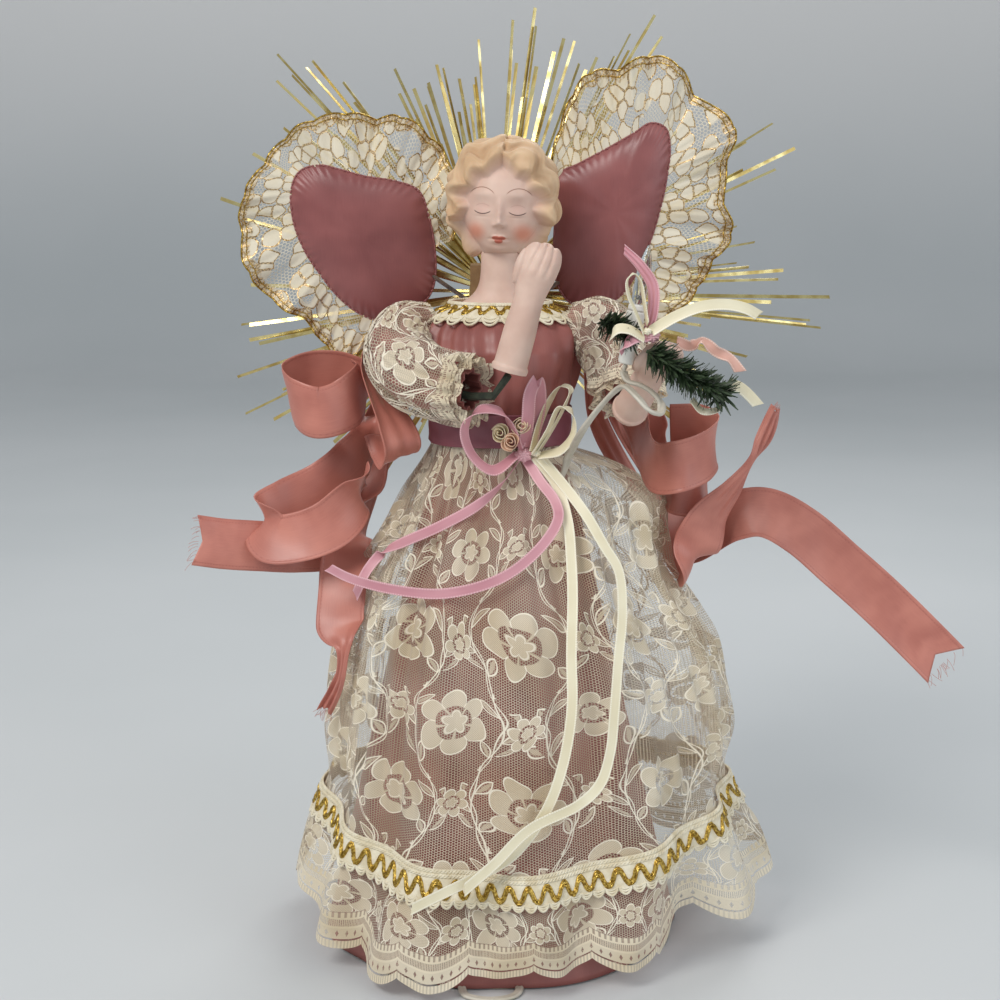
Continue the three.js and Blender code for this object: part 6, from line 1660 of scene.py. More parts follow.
def wing_cushion(side):
    pad, start = ball(270, 100)
    turn = (np.arctan2(start[:, 1], start[:, 0]) / full_turn) % 1
    edge = outline_of(pad_shares[side], 1200)
    centre = edge.mean(axis=0)
    rim = between(np.append(edge, edge[:1], axis=0), turn * len(edge))
    reach = np.sqrt(1 - start[:, 2] ** 2) ** 0.8
    fullness = np.maximum(1 - reach**2.6, 0) ** 0.62
    gathers = 0.5 + 0.5 * np.sin(full_turn * turn * 46 + 3 * np.sin(full_turn * turn * 5))
    pucker = bell(1 - reach, 0.16) * reach**8 * gathers
    spread = rim - centre
    face = np.sign(start[:, 2])
    crease = 0.35 * np.sin(spread[:, 0] * 150 + spread[:, 2] * 260 * face) * reach**2 * (1 - reach)
    depth = 6.6 * mm * face * fullness * (1 + 0.5 * crease - 0.32 * pucker * (reach < 0.995))
    points = centre + spread * (reach * (1 - 0.012 * pucker))[:, None]
    points[:, 1] = wing_plane - depth
    move_points(pad, points)
    flat_uv(pad)
    faced_out(pad)
    seam_line = outline_of(pad_shares[side], 700) + [0, wing_plane, 0]
    seam_line[:, 1] += 0.25 * mm * np.sin(np.arange(len(seam_line)) * 0.9)
    seam = thread(f"{side}_seam", seam_line, 0.55 * mm, closed=True)
    pad = joined(f"{side}_cushion", [pad, seam])
    bpy.ops.object.shade_smooth()
    dress(pad, wing_satin, f"{side}_wing", "satin", f"{side}_wing_pad")
    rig.padded(pad, 0.8)


for side in ("right", "left"):
    wing_cushion(side)

# %% The wings' lace
lace_shares = {
    "right": [
        [-8.6, 86, -6, 87], [-8.9, 89.6, -5.6, 92], [-10, 92.6, -6.8, 97], [-12, 94, -9, 99.8],
        [-14.5, 94.6, -12.4, 102.2], [-16.8, 95, -15.6, 102], [-19.4, 95.6, -19.4, 102.6],
        [-22.2, 96.2, -23.4, 101.8], [-24.6, 96, -27, 99.6], [-26, 95, -29.8, 96.4], [-26.4, 93, -32.2, 92.4],
        [-26.3, 90, -32.8, 87.8], [-25.3, 86.8, -31.8, 83], [-23.8, 84, -29, 79.6], [-22, 81.4, -25, 77.2],
        [-19.8, 79.2, -22.4, 73.8], [-17.2, 77.4, -19.8, 72], [-14.4, 76.6, -16.4, 74],
        [-12, 77.6, -13.2, 75.4]],
    "left": [
        [6.9, 92, 5.4, 93.4], [7.3, 95, 6.4, 96.6], [9.2, 96.2, 7.6, 100.8], [11.4, 97.4, 9.2, 105],
        [13.6, 98.4, 11.4, 107.6], [16, 99.8, 14.8, 108], [18.4, 101.2, 18.6, 109.6],
        [20.4, 101.4, 22.2, 108.4], [21.4, 99.6, 24.4, 105], [21.4, 97.2, 29.2, 101.2], [20.8, 94, 28.6, 97],
        [20.4, 91.6, 28.2, 91.6], [19.7, 88.6, 29.4, 87.8], [18.8, 86, 27, 84.6], [17.8, 83.6, 25.2, 81],
        [16.2, 80.8, 22.8, 78.4], [14.4, 79.2, 19, 75.8], [12.4, 78.5, 15.4, 74.6]]}


lace_tuck = 2.2 * mm


def wing_lace_strip(side):
    rows = lace_shares[side]
    inner_points = place([[x, 0, z] for x, z, _, _ in rows])
    outer_points = place([[x, 0, z] for _, _, x, z in rows])
    outer_line = spline(outer_points, np.linspace(0, 1, 400))
    inner_line, rim_line = (spline(points, np.linspace(0, 1, 60)) for points in (inner_points, outer_points))
    width = np.linalg.norm(rim_line - inner_line, axis=1).mean() + lace_tuck
    scallops = round(length_of(outer_line) / wing_scallop)
    flat = (scallops * wing_scallop, width)

    def at(u, v):
        start, end = spline(inner_points, u), spline(outer_points, u)
        way = unit(end - start)
        dip = 1.6 * mm * np.abs(np.sin(math.pi * scallops * u))
        start, end = start - lace_tuck * way, end + way * dip[:, None]
        step, share = 23 * u, 1 - v
        wave = 4 * np.sin(2.4 * step + 0.9 * np.sin(0.8 * step)) * share
        fine = np.sin(9.1 * step + 2 * np.sin(step)) * share**1.5 + 0.5 * np.sin(17 * step) * share * (1 - share)
        points = start + (end - start) * share[:, None]
        points[:, 1] = wing_plane + (wave + fine) * mm
        return points

    strip = laid(f"{side}_lace_strip", 520, 44, at, flat)
    strip.data.materials.append(wing_lace)
    edge_share = np.linspace(0, 1, 1500)
    edge = thread(f"{side}_lace_edge", at(edge_share, 0 * edge_share), 0.5 * mm, sides=1)
    edge.data.materials.append(thread_gold)
    inner_edge = thread(f"{side}_lace_thread", at(edge_share, 0 * edge_share + 0.09), 0.28 * mm, sides=1)
    inner_edge.data.materials.append(thread_gold)
    edging = joined(f"{side}_wing_edging", [edge, inner_edge])
    dress(edging, None, f"{side}_wing", "lace")
    dress(strip, None, f"{side}_wing", "lace", f"{side}_wing_lace")
    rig.sheet(strip, flat=flat, held="gathered", rests_on=[f"{side}_wing_pad"])
    print(f"{side} wing lace: {flat[0]:.3f} by {flat[1]:.3f} m")


for side in ("right", "left"):
    wing_lace_strip(side)

# %% [markdown]
# ## The tinsel spray
# Behind the block sits a bundle of gold tinsel: flat metal strips, cut by hand, that stand out in uneven
# bunches. Each strip here is its own thin ribbon with a little bend and its own twist, so that some flash
# and some go dark. They lean back, away from the wings.

# %% The strips
block_back = 46.5 * mm
tinsel_centre = np.array([-2 * mm, block_back + 0.3 * mm, 321 * mm])
tinsel_length = 180 * mm
tinsel_lean = math.radians(11)
tinsel_bunch_shares = [
    [80, 12, 4, 0.84], [68, 4, 2, 0.75], [58, 8, 3, 0.94], [100, 10, 4, 0.74], [113, 8, 3, 0.72],
    [131, 9, 4, 0.96], [143, 5, 2, 0.8], [151, 4, 2, 0.84], [164, 6, 2, 0.88], [178, 5, 1, 0.75],
    [190, 5, 2, 0.79], [203, 8, 3, 0.87], [213, 5, 2, 0.8], [224, 7, 3, 0.85], [237, 5, 2, 0.7], [-46, 5, 1, 0.6],
    [-34, 6, 3, 0.84], [-24, 5, 2, 0.78], [-14, 6, 3, 0.8], [-5, 5, 3, 1.03], [4, 4, 2, 0.88], [14, 5, 2, 0.8],
    [26, 8, 4, 1], [39, 7, 2, 0.72]]


def strip_mesh(lines, sides, widths, thickness, name):
    """Thin closed strips: each line is (n, 3) points, each side the direction of its width."""
    points, faces = [], []
    for line, side, width in zip(lines, sides, widths):
        along = unit(np.gradient(line, axis=0))
        side = unit(side - along * np.sum(side * along, axis=1, keepdims=True))
        normal = np.cross(along, side)
        base, count = sum(len(p) for p in points), len(line)
        corners = [line + side * width[:, None] / 2 * a + normal * thickness / 2 * b
                   for a, b in ((1, 1), (-1, 1), (-1, -1), (1, -1))]
        points.append(np.stack(corners, axis=1).reshape(-1, 3))
        for i in range(count - 1):
            for j in range(4):
                k = (j + 1) % 4
                faces.append((base + 4 * i + j, base + 4 * i + k, base + 4 * i + 4 + k, base + 4 * i + 4 + j))
        faces.append((base + 3, base + 2, base + 1, base))
        end = base + 4 * (count - 1)
        faces.append((end, end + 1, end + 2, end + 3))
    return faced_out(from_points(name, np.concatenate(points).tolist(), [], faces))


def tinsel_strips():
    chance = np.random.default_rng(7)
    lines, sides, widths = [], [], []
    for angle, spread, count, length_share in tinsel_bunch_shares:
        for i in range(3 * count):
            turn = math.radians(angle + spread * chance.uniform(-0.62, 0.62))
            longest = tinsel_length * length_share
            length = longest * (0.985 if i == 0 else chance.uniform(0.6, 0.97))
            way = np.array([math.cos(turn) * math.cos(tinsel_lean), math.sin(tinsel_lean),
                            math.sin(turn) * math.cos(tinsel_lean)])
            across = unit(np.cross(way, [0, 1, 0]))
            share = np.linspace(0, 1, 9)
            bend = chance.normal(0, 1.4 * mm)
            depth = (1.2 + 2.6 * chance.random()) * mm
            line = tinsel_centre + np.outer(11 * mm + (length - 11 * mm) * share, way)
            line = line + np.outer(bend * share**2, across) + [0, depth, 0]
            roll = chance.uniform(-0.9, 0.9) + chance.normal(0, 0.25) * share
            lines.append(line)
            sides.append(np.outer(np.cos(roll), across) + np.outer(np.sin(roll), np.cross(across, way)))
            widths.append(np.full(9, chance.uniform(1.25, 2.1) * mm))
    return strip_mesh(lines, sides, widths, 0.16 * mm, "tinsel_strips")


strips = tinsel_strips()
nothing_selected()
hub_centre = tuple(tinsel_centre + [0, 2.2 * mm, 0])
bpy.ops.mesh.primitive_cylinder_add(vertices=64, radius=14 * mm, depth=4.2 * mm, location=hub_centre,
                                    rotation=(math.pi / 2, 0, 0))
hub = settled(bpy.context.active_object)
apply_modifier(hub, "BEVEL", width=0.8 * mm, segments=3)
tinsel = joined("tinsel", [strips, hub])
dress(tinsel, tinsel_gold, "figure", "tinsel", "tinsel_spray")

# %% [markdown]
# ## Ribbons
# Every bow and streamer is a flat ribbon bent along a line. Satin ribbon hardly stretches, so it keeps its
# width, curls a little across, and has a hem or a woven edge on both sides. Its ends are cut on a slant or
# in a V, and the streamers' ends have frayed.

# %% A ribbon along a line
def gathered(share):
    return 0.3 + 0.7 * ease(share, 0, 0.3)


def ribbon(name, rows, width, narrowing=None, notch=0.0, slant=0.0, curl=0.0, ripple=0.0, thickness=0.35 * mm,
           steps=170, columns=18, hem=0.0):
    """rows are [x, y, z, and the direction of the width], places in hundredths of the figure's height."""
    table = np.array(rows, dtype=float)
    centre_points, way_points = place(table[:, :3]), unit(table[:, 3:])
    samples = np.linspace(0, 1, 801)
    centre, way = spline(centre_points, samples), spline(way_points, samples)
    along = unit(np.gradient(centre, axis=0))
    side = unit(way - along * np.sum(way * along, axis=1, keepdims=True))
    normal = np.cross(along, side)
    length = length_of(centre)

    def at(u, v):
        across = 2 * u - 1
        near_end = ease(v, 0.8, 1)
        v = v * (1 - notch / length * (1 - np.abs(across)) * near_end) + slant / length * across * near_end
        where = np.clip(v, 0, 1) * (len(centre) - 1)
        middle, sideways, upward = (between(line, where) for line in (centre, side, normal))
        narrow = np.ones(len(u)) if narrowing is None else narrowing(v)
        bow = curl * (across**2 - 0.4) + ripple * np.sin(v * length / (9 * mm) * 2 + 3 * across)
        ridge = hem * ease(np.abs(across), 1 - 2 * 1.9 * mm / width, 1 - 2 * 1.5 * mm / width)
        pleat = 1.3 * mm * np.cos(5 * math.pi * u) * (1 - narrow)
        over = np.maximum(v - 1, 0) * length
        middle = middle + over[:, None] * along[-1]
        lift = bow * narrow + ridge + pleat
        return middle + sideways * (width / 2 * across * narrow)[:, None] + upward * lift[:, None]

    return laid(name, columns, steps, at, (width, length), thickness=thickness), (width, length)


# %% The bow on the belt
pink_loops = {
    "left": [
        [2.2, -9.9, 62.7, 0, 0.9, 0.4], [-0.9, -12, 61, 0, 0.8, 0.6], [-3.4, -12.8, 63.2, 0.5, 0.8, 0.2],
        [-4.1, -13.6, 66.4, 0.6, 0.8, 0], [-2.3, -13.6, 68.4, 0.1, 0.8, 0.5], [0.3, -12.8, 68, -0.3, 0.8, 0.5],
        [1.4, -11.4, 65.9, -0.5, 0.8, 0], [2.3, -10.3, 63.5, -0.5, 0.8, 0]],
    "up": [
        [2.9, -9.9, 63.2, 0.9, 0.4, 0], [3.3, -11.6, 67, 0.9, 0.3, 0], [3.6, -12.2, 70.3, 0.9, 0.3, 0],
        [4.3, -12.2, 71.6, 0.9, 0.4, 0], [4.7, -11.2, 70, 0.9, 0.4, 0], [4.4, -10.4, 66.7, 0.9, 0.4, 0],
        [3.4, -9.9, 63.3, 0.9, 0.4, 0]]}
cream_loops = {
    "back": [
        [3.9, -10, 63, 0.4, 0.8, -0.3], [4.7, -10.2, 66.2, 0.4, 0.8, -0.3], [6, -9.9, 69.1, 0.4, 0.8, -0.2],
        [7.3, -9.9, 70.8, 0.2, 0.9, 0], [8.2, -10.9, 70.4, 0.2, 0.9, 0.2], [7.4, -11.3, 68.2, 0.3, 0.9, 0],
        [5.9, -10.9, 65.2, 0.3, 0.9, 0], [4.6, -10, 63, 0.3, 0.9, 0]],
    "front": [
        [4.2, -10.2, 62.8, 0.3, 0.9, -0.2], [5.7, -12.1, 65.8, 0.3, 0.9, -0.2],
        [7.1, -12.8, 68.6, 0.3, 0.9, -0.2], [8.4, -13, 68.1, 0, 0.9, 0.3], [8.6, -12.6, 65.6, -0.3, 0.9, 0],
        [7.2, -11.8, 63.4, -0.3, 0.9, 0.3], [4.8, -10.2, 62.5, 0, 0.9, 0.3]]}


def knot(name, centre, radius, squash=(1.0, 0.8, 0.85), pleats=7):
    """A tight knot: a ball with the creases of the ribbon that wraps it."""
    piece, start = ball(72, 40)
    crease = 1 + 0.1 * np.sin(pleats * np.arctan2(start[:, 2], start[:, 0]) + 3 * start[:, 1]) \
        + 0.05 * np.sin(19 * start[:, 0] + 11 * start[:, 2])
    move_points(piece, start * crease[:, None] * np.array(squash) * radius + centre)
    flat_uv(piece)
    bpy.ops.object.shade_smooth()
    piece.name = name
    return piece


def loops_piece(name, loops, satin_now, slot, node, knot_place, knot_radius):
    parts = [ribbon(f"{name}_{key}", rows, bow_width, curl=0.25 * mm, ripple=0.1 * mm)[0]
             for key, rows in loops.items()]
    parts.append(knot(f"{name}_knot", place(knot_place), knot_radius))
    dress(joined(name, parts), satin_now, "figure", slot, node)


loops_piece("pink_loops", pink_loops, pink_ribbon, "pink_ribbon", "bow_pink_loops", [2.8, -10.1, 62.5], 3.9 * mm)
loops_piece("cream_loops", cream_loops, cream_ribbon, "cream_ribbon", "bow_cream_loops", [4.3, -10.3, 62.8],
            2.2 * mm)


# %% Rosebuds of rolled ribbon
def rosebud(name, centre, radius, tilt):
    def at(u, v):
        turn = 3.1 * full_turn * u + tilt
        spread = (0.1 + 0.82 * u**0.85) * (0.55 + 0.5 * v**0.7) * (1 + 0.1 * np.sin(2.3 * turn) * v)
        height = -0.7 + (1.5 - 0.75 * u) * v + 0.1 * np.sin(3.1 * turn) * v
        x, z = radius * spread * np.cos(turn), radius * spread * np.sin(turn)
        forward = radius * height
        lean = 0.35 * math.cos(tilt)
        return stack(x + lean * forward, -forward, z + 0.25 * forward) + centre
    return laid(name, 300, 14, at, (0.07, 0.006), thickness=0.35 * mm)


for i, centre in enumerate(([0, -11.2, 65.3], [1.3, -11.4, 64.3], [2.3, -11, 66.2]), start=1):
    bud = rosebud(f"rolled_bud_{i}", place(centre) - [0, 0.8 * mm, 0], 4.9 * mm, 2.1 * i)
    dress(bud, bud_ribbons[i - 1], "figure", "cream_ribbon", f"rosebud_{i}")

# %% The bow's tails
tail_rows = {
    "pink_tail_left": [
        [2.4, -9.4, 61.8, 0.6, 0, 0.8], [0, -11, 58.9, 0.6, 0, 0.8], [-2.9, -11.9, 56.6, 0.4, 0, 0.9],
        [-7.2, -11.4, 54.1, 0.2, 0, 1], [-11.6, -9.6, 51.8, 0.3, 0, 1], [-14.2, -7.8, 50.2, 0.8, 0, 0.6],
        [-16.2, -8, 47.9, 1, -0.3, 0], [-17.6, -8.8, 45, 0.8, -0.5, 0]],
    "pink_tail_across": [
        [3.2, -9.5, 61.8, 0.9, 0, 0.4], [4.8, -11.2, 59.5, 0.9, 0, 0.4], [6.5, -12.6, 57.4, 1, 0, 0.2],
        [6.9, -13.6, 55.7, 1, 0, -0.2], [5.3, -15.2, 53, 0.7, 0, -0.7], [0.5, -17.2, 49.3, 0.3, 0, -1],
        [-6.1, -17.2, 47.3, 0, 0, -1], [-12.8, -14, 47, 0, 0, -1], [-18, -11.6, 47.8, 0.2, 0, -1],
        [-20.6, -10.4, 48.8, 0.2, 0, -1]],
    "cream_tail_long": [
        [4.2, -9.9, 62.3, 0.9, 0, 0.4], [6.7, -10.7, 59, 0.9, 0, 0.4], [8, -13, 55.1, 1, 0, 0.2],
        [8.4, -15, 50.6, 1, 0, 0], [8.5, -17, 46.7, 1, 0, 0], [8.3, -19.8, 40.7, 1, 0, 0],
        [8.3, -21.8, 34.4, 1, 0, 0], [7.2, -22.9, 27.9, 0.9, 0, -0.3], [5.3, -23.8, 22.9, 0.8, 0, -0.5],
        [1.4, -24.9, 17.9, 0.7, 0, -0.7], [-2.4, -25.4, 15.7, 0.5, 0, -0.8], [-7, -26.4, 13.7, 0.5, 0, -0.8],
        [-10.2, -26.6, 12.1, 0.5, 0, -0.8]],
    "cream_tail_wide": [
        [4.6, -9.9, 62.4, 0.9, 0.2, 0.5], [7.4, -10.8, 59.2, 0.9, 0, 0.4], [10.1, -12.8, 55.9, 0.9, 0, 0.3],
        [12.4, -13.9, 52.1, 0.9, 0.3, 0.2], [14, -14.4, 49.4, 0.9, 0.4, 0.1], [14.4, -16.2, 44.8, 0.9, 0.4, 0],
        [13.8, -19, 39.5, 0.9, 0.4, 0], [13.3, -21, 34.1, 0.9, 0.3, 0], [12.8, -22.1, 29.5, 0.9, 0.3, 0],
        [11.6, -23.1, 26, 0.9, 0, -0.4], [9.1, -24.3, 23.9, 0.6, 0, -0.8], [3.4, -25.4, 21.3, 0.4, 0, -0.9],
        [-0.6, -26, 17.4, 0.6, 0, -0.8], [-4.1, -26.8, 14.5, 0.6, 0, -0.8]]}
for name, rows in tail_rows.items():
    tint = "pink" if "pink" in name else "cream"
    tail, flat = ribbon(f"{name}_ribbon", rows, tail_width, slant=2 * mm, curl=0.15 * mm, thickness=0.3 * mm,
                        steps=260)
    dress(tail, pink_tail_ribbon if tint == "pink" else cream_tail_ribbon, "figure", f"{tint}_ribbon", name)
    print(f"{name}: {flat[1]:.3f} m long")

# %% The streamers
streamer_rows = {
    "right_streamer_front": [
        [-13, 3.5, 77, 0.1, 0.95, 0.2], [-15.8, 1.5, 74.2, 0.1, 0.95, 0.2], [-16, -1.6, 71.8, 0.2, 0.95, 0.1],
        [-14.5, -4.4, 68.5, 0.6, 0.75, -0.2], [-12.6, -6.6, 65.5, 0.85, 0.5, 0], [-11.8, -7, 63, 0.9, 0.4, 0.2],
        [-12.6, -5.2, 61.2, 0.9, 0.3, 0.4], [-13.6, -2.2, 61.8, 0.8, 0.5, 0.3],
        [-14.6, 0, 63.5, 0.7, 0.7, 0.2]],
    "right_streamer_upper": [
        [-12, 3, 76.5, 0.2, 0.95, 0.2], [-15, 1.5, 74, 0.3, 0.85, 0.4], [-16.5, -1, 71, 0.3, 0.6, 0.75],
        [-18.5, -4.5, 68, 0, 0.2, 1], [-22, -6, 67, -0.1, 0.1, 1], [-25.2, -4, 68, -0.2, 0, 1],
        [-26, -1, 69.5, -0.2, 0, 1], [-24, 1.5, 70.5, 0, 0, 1], [-20.5, 2.5, 70.5, 0.1, 0, 1],
        [-17, 3.4, 69, 0.1, 0, 1]],
    "right_streamer_lower": [
        [-12, 5, 74, 0.7, 0.6, 0.3], [-14, 5.4, 69, 0.6, 0.5, 0.5], [-16, 4.8, 64, 0.3, 0.3, 0.9],
        [-18.4, 2.6, 60, 0.3, 0.3, 0.9], [-22, 0, 57, 0.3, 0.3, 0.9], [-26.5, -2, 55, 0.3, 0.3, 0.9],
        [-29.2, -3.8, 53.4, 0.3, 0.3, 0.9], [-28, -6, 51.5, 0.3, 0.3, 0.9], [-24, -7, 52, 0.3, 0.3, 0.9],
        [-20.4, -6.4, 53.5, 0.3, 0.3, 0.9], [-17.6, -4.5, 56.5, 0.3, 0.3, 0.9],
        [-16.6, -2.4, 59, 0.3, 0.3, 0.9]],
    "right_streamer_side_tail": [
        [-12.4, 7, 73, 0.9, 0.3, 0], [-15, 9, 66, 0.9, 0.3, 0], [-17.4, 7.6, 58, 0.8, 0.2, 0.4],
        [-18.4, 4.5, 52.5, 0.3, 0.1, 0.9], [-20.8, 0.4, 49.6, 0, 0.2, 1], [-25, -2, 49.5, 0, 0.2, 1],
        [-29.8, -3.5, 50, 0, 0.2, 1], [-34, -4.5, 50.5, 0, 0.3, 1], [-37.5, -5.5, 51.2, 0, 0.3, 1]],
    "right_streamer_down_tail": [
        [-11.6, 7.4, 72, 0.9, 0.3, 0], [-13.5, 10.5, 64, 0.8, 0.4, 0], [-17, 8.5, 56, 0.5, 0.8, 0],
        [-19, 3, 52, 0.4, 0.9, 0], [-19, -2.4, 49.5, 0.8, 0.5, 0], [-19.3, -6.2, 45.5, 0.9, -0.3, 0],
        [-19.5, -8.2, 41.5, 0.9, -0.3, 0], [-19, -10.2, 39, 0.6, -0.7, 0], [-19.3, -10.2, 35.5, 0.4, -0.8, 0],
        [-20.4, -8.6, 32.5, 0.7, -0.7, 0], [-21.8, -7.4, 29.8, 0.9, -0.3, 0.3]],
    "left_streamer_cup": [
        [12.4, 4.4, 75, 0.8, 0.1, 0.5], [15, 6, 71, 0.8, 0.1, 0.5], [17.4, 4, 66.6, 0.4, 0.2, 0.9],
        [17.8, 0, 62.8, 0.1, 0.2, 1], [19, -6, 60.3, 0, 0.1, 1], [21.6, -9, 61, 0, 0, 1],
        [24.8, -7.5, 62, 0, 0, 1], [26.5, -3.5, 63.2, 0, 0, 1], [25, 0.5, 64, 0, 0, 1],
        [21.4, 2.4, 63.8, 0, 0, 1]],
    "left_streamer_fold": [
        [12.8, 6, 74, 0.8, 0.2, 0.5], [16, 9.6, 68, 0.7, 0.2, 0.6], [19.4, 8, 61.5, 0.3, 0.1, 0.9],
        [20.8, 2.6, 58.4, 0.1, 0, 1], [21.6, -2.4, 57, 0, 0, 1], [24.4, -2.6, 56.7, 0, 0, 1],
        [26.2, 1.6, 57.2, 0, 0, 1]],
    "left_streamer_up_tail": [
        [12.4, 7.2, 73, 0.9, 0.2, 0], [15, 12, 65, 0.8, 0.4, 0], [19.4, 11.6, 57, 0.5, 0.7, 0],
        [22.8, 6, 51.5, 0.3, 0.9, 0.2], [23.6, 0.4, 48.5, 0.1, 0.9, 0.4], [23.8, -4, 47.8, 0.3, 0.5, 0.7],
        [24.6, -4.8, 51, 0.7, 0.2, -0.5], [25.8, -4.8, 54, 0.7, 0.3, -0.5], [28.6, -4.6, 57.5, 0.6, 0.5, -0.5],
        [31, -4, 61, 0.3, 0.9, -0.2], [32.6, -3.6, 64, 0.8, 0.4, -0.3], [33.9, -3, 67.4, 0.5, 0.8, 0]],
    "left_streamer_long_tail": [
        [11.4, 8, 72, 0.9, 0.2, 0], [13, 14, 63, 0.8, 0.4, 0], [18, 15, 54, 0.5, 0.7, 0],
        [22.4, 10, 49.2, 0.3, 0.4, 0.9], [24.8, 3.4, 49.4, 0.1, 0.2, 1], [29.2, -2, 53.5, -0.1, 0.3, 0.9],
        [32.8, -3.5, 54.2, 0.3, 0.3, 0.9], [37, -4.5, 52.2, 0.6, 0.2, 0.8], [42, -5, 48, 0.65, 0.1, 0.75],
        [46.8, -6, 43.8, 0.65, 0.1, 0.75], [51.8, -7, 39, 0.65, 0.1, 0.75], [55, -7.5, 35.8, 0.65, 0.1, 0.75]]}


def tapering(low, high, least):
    return lambda share: gathered(share) * (1 - (1 - least) * ease(share, low, high))


streamer_ends = {
    "right_streamer_front": {"narrowing": lambda share: gathered(share) * 0.78},
    "right_streamer_side_tail": {"notch": 6 * mm}, "left_streamer_long_tail": {"notch": 12 * mm},
    "right_streamer_down_tail": {"narrowing": tapering(0.6, 0.75, 0.3), "notch": 5 * mm},
    "left_streamer_up_tail": {"narrowing": tapering(0.55, 0.8, 0.35), "notch": 4 * mm}}


def frayed(name, rows, width, seed):
    """A few loose threads at a ribbon's cut end."""
    chance = np.random.default_rng(seed)
    table = np.array(rows, dtype=float)
    end, before = place(table[-1, :3]), place(table[-2, :3])
    way, side = unit(end - before), unit(table[-1, 3:])
    side = unit(side - way * side.dot(way))
    strands = []
    for i in range(16):
        across = chance.uniform(-0.5, 0.5) * width
        share = np.linspace(0, 1, 6)[:, None]
        drift = side * chance.normal(0, 1.5 * mm) + [0, 0, -1.5 * mm]
        line = end + side * across + way * (share * chance.uniform(2, 6) * mm - 2 * mm) + share**2 * drift
        strands.append(thread(f"{name}_thread_{i}", line, 0.09 * mm, sides=0))
    return strands


for number, (name, rows) in enumerate(streamer_rows.items()):
    settings = {"narrowing": gathered, "notch": 0.0, **streamer_ends.get(name, {})}
    piece, flat = ribbon(f"{name}_ribbon", rows, streamer_width, curl=0.9 * mm, ripple=0.16 * mm, hem=0.3 * mm,
                         steps=150, columns=26, **settings)
    ends = 1 - 0.7 * ("tail" in name and settings["narrowing"] is not gathered)
    if "tail" in name:
        piece = joined(piece.name, [piece, *frayed(name, rows, streamer_width * ends, number)])
    dress(piece, rose_ribbon, "figure", "rose_ribbon", name)
    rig.sheet(piece, flat=flat, held="hung", rests_on=[name.split("_")[0] + "_streamer_knot"])
    print(f"{name}: {flat[1]:.3f} m long")

for side, sign in (("right", -1), ("left", 1)):
    gathering = knot(f"{side}_gathering", place([10.6 * sign, 4.4, 76]), 9 * mm, (1, 1, 1), pleats=11)
    dress(gathering, rose_ribbon, "figure", "rose_ribbon", f"{side}_streamer_knot")

# %% [markdown]
# ## The bouquet
# In the raised hand stands the lamp holder with two short pieces of tinsel pine bound round it, small bows
# and ribbon ends. Tinsel pine is hundreds of flat green strips caught in a twisted wire, so each needle is
# a strip of its own. All of it rides on the forearm and moves with the elbow.

# %% The bows and ribbon ends
bouquet_rows = {
    "pink_spike": [
        [16.3, -23.9, 78.6, 0.9, -0.2, 0.2], [16.8, -24.2, 80.9, 0.9, -0.2, 0.2],
        [16.7, -24.2, 83.6, 0.9, -0.2, 0.3], [15.3, -24.2, 85.8, 0.7, -0.3, 0.5],
        [13.6, -23.9, 87.5, 0.5, -0.3, 0.7]],
    "pink_stray": [
        [16.2, -24, 78, 0, 0.4, 0.9], [14.7, -25, 77.9, 0, 0.4, 0.9], [13.8, -25, 77.2, 0.4, 0.4, 0.8],
        [13.2, -24.7, 76.3, 0.7, 0.4, 0.4]],
    "cream_loop": [
        [15.9, -24.2, 78.4, 0.3, 0.9, 0], [14.9, -25, 80.7, 0.3, 0.9, 0], [14, -25.4, 82.8, 0.3, 0.9, 0],
        [13.9, -25.4, 84.3, 0.2, 0.9, 0], [14.6, -25.2, 84.9, 0, 1, 0], [15.3, -24.9, 84, -0.2, 0.9, 0],
        [15.7, -24.7, 82, -0.2, 0.9, 0], [16.2, -24.3, 79.2, -0.2, 0.9, 0]],
    "cream_tail": [
        [16.6, -24.3, 78.6, -0.3, 0.3, 0.9], [19.2, -24.6, 80.2, -0.3, 0.3, 0.9], [22, -24.6, 81.3, 0, 0.3, 1],
        [24.8, -24, 81.5, 0, 0.3, 1], [27.1, -23.4, 81, 0.2, 0.3, 1], [28.6, -22.8, 80.2, 0.3, 0.3, 1]],
    "cream_stray": [
        [15.9, -24.4, 77.8, 0, 0.6, 0.8], [14.1, -25.2, 78.9, 0, 0.6, 0.8], [12.8, -25.2, 78.9, 0, 0.6, 0.8],
        [12, -24.8, 77.6, 0.5, 0.6, 0.6]],
    "rosette": [
        [19.6, -23, 77.4, 0.4, 0.7, 0.5], [21.1, -22.6, 76.8, 0.4, -0.2, 0.8],
        [22.4, -22.6, 77.4, 0.4, 0.8, 0.4], [24, -22.4, 76.2, 0.5, -0.2, 0.8], [25.6, -22, 75.4, 0.5, 0.6, 0.5],
        [26.9, -21.5, 73.8, 0.6, 0, 0.7]],
    "low_loop": [
        [21.3, -23.2, 70.9, 0.3, 0.8, 0.4], [22.5, -23.4, 69.6, 0.3, 0.8, 0.4],
        [24.3, -23.2, 69.8, 0.3, 0.8, 0.4], [25.6, -22.6, 71.6, 0.3, 0.8, 0.3]],
    "cream_end": [
        [25.4, -22.6, 72.6, 0.6, 0.2, 0.7], [26.8, -22, 72.1, 0.6, 0.2, 0.7], [28, -21.6, 71.1, 0.6, 0.2, 0.7],
        [29, -21.3, 70, 0.6, 0.2, 0.7]]}


def bouquet_ribbon(key, width=tail_width, narrowing=None):
    return ribbon(f"bouquet_{key}_ribbon", bouquet_rows[key], width, narrowing, curl=0.3 * mm, slant=1.5 * mm,
                  thickness=0.3 * mm, steps=90)[0]


def spike_width(share):
    return 0.6 + 0.8 * share * (1 - share)


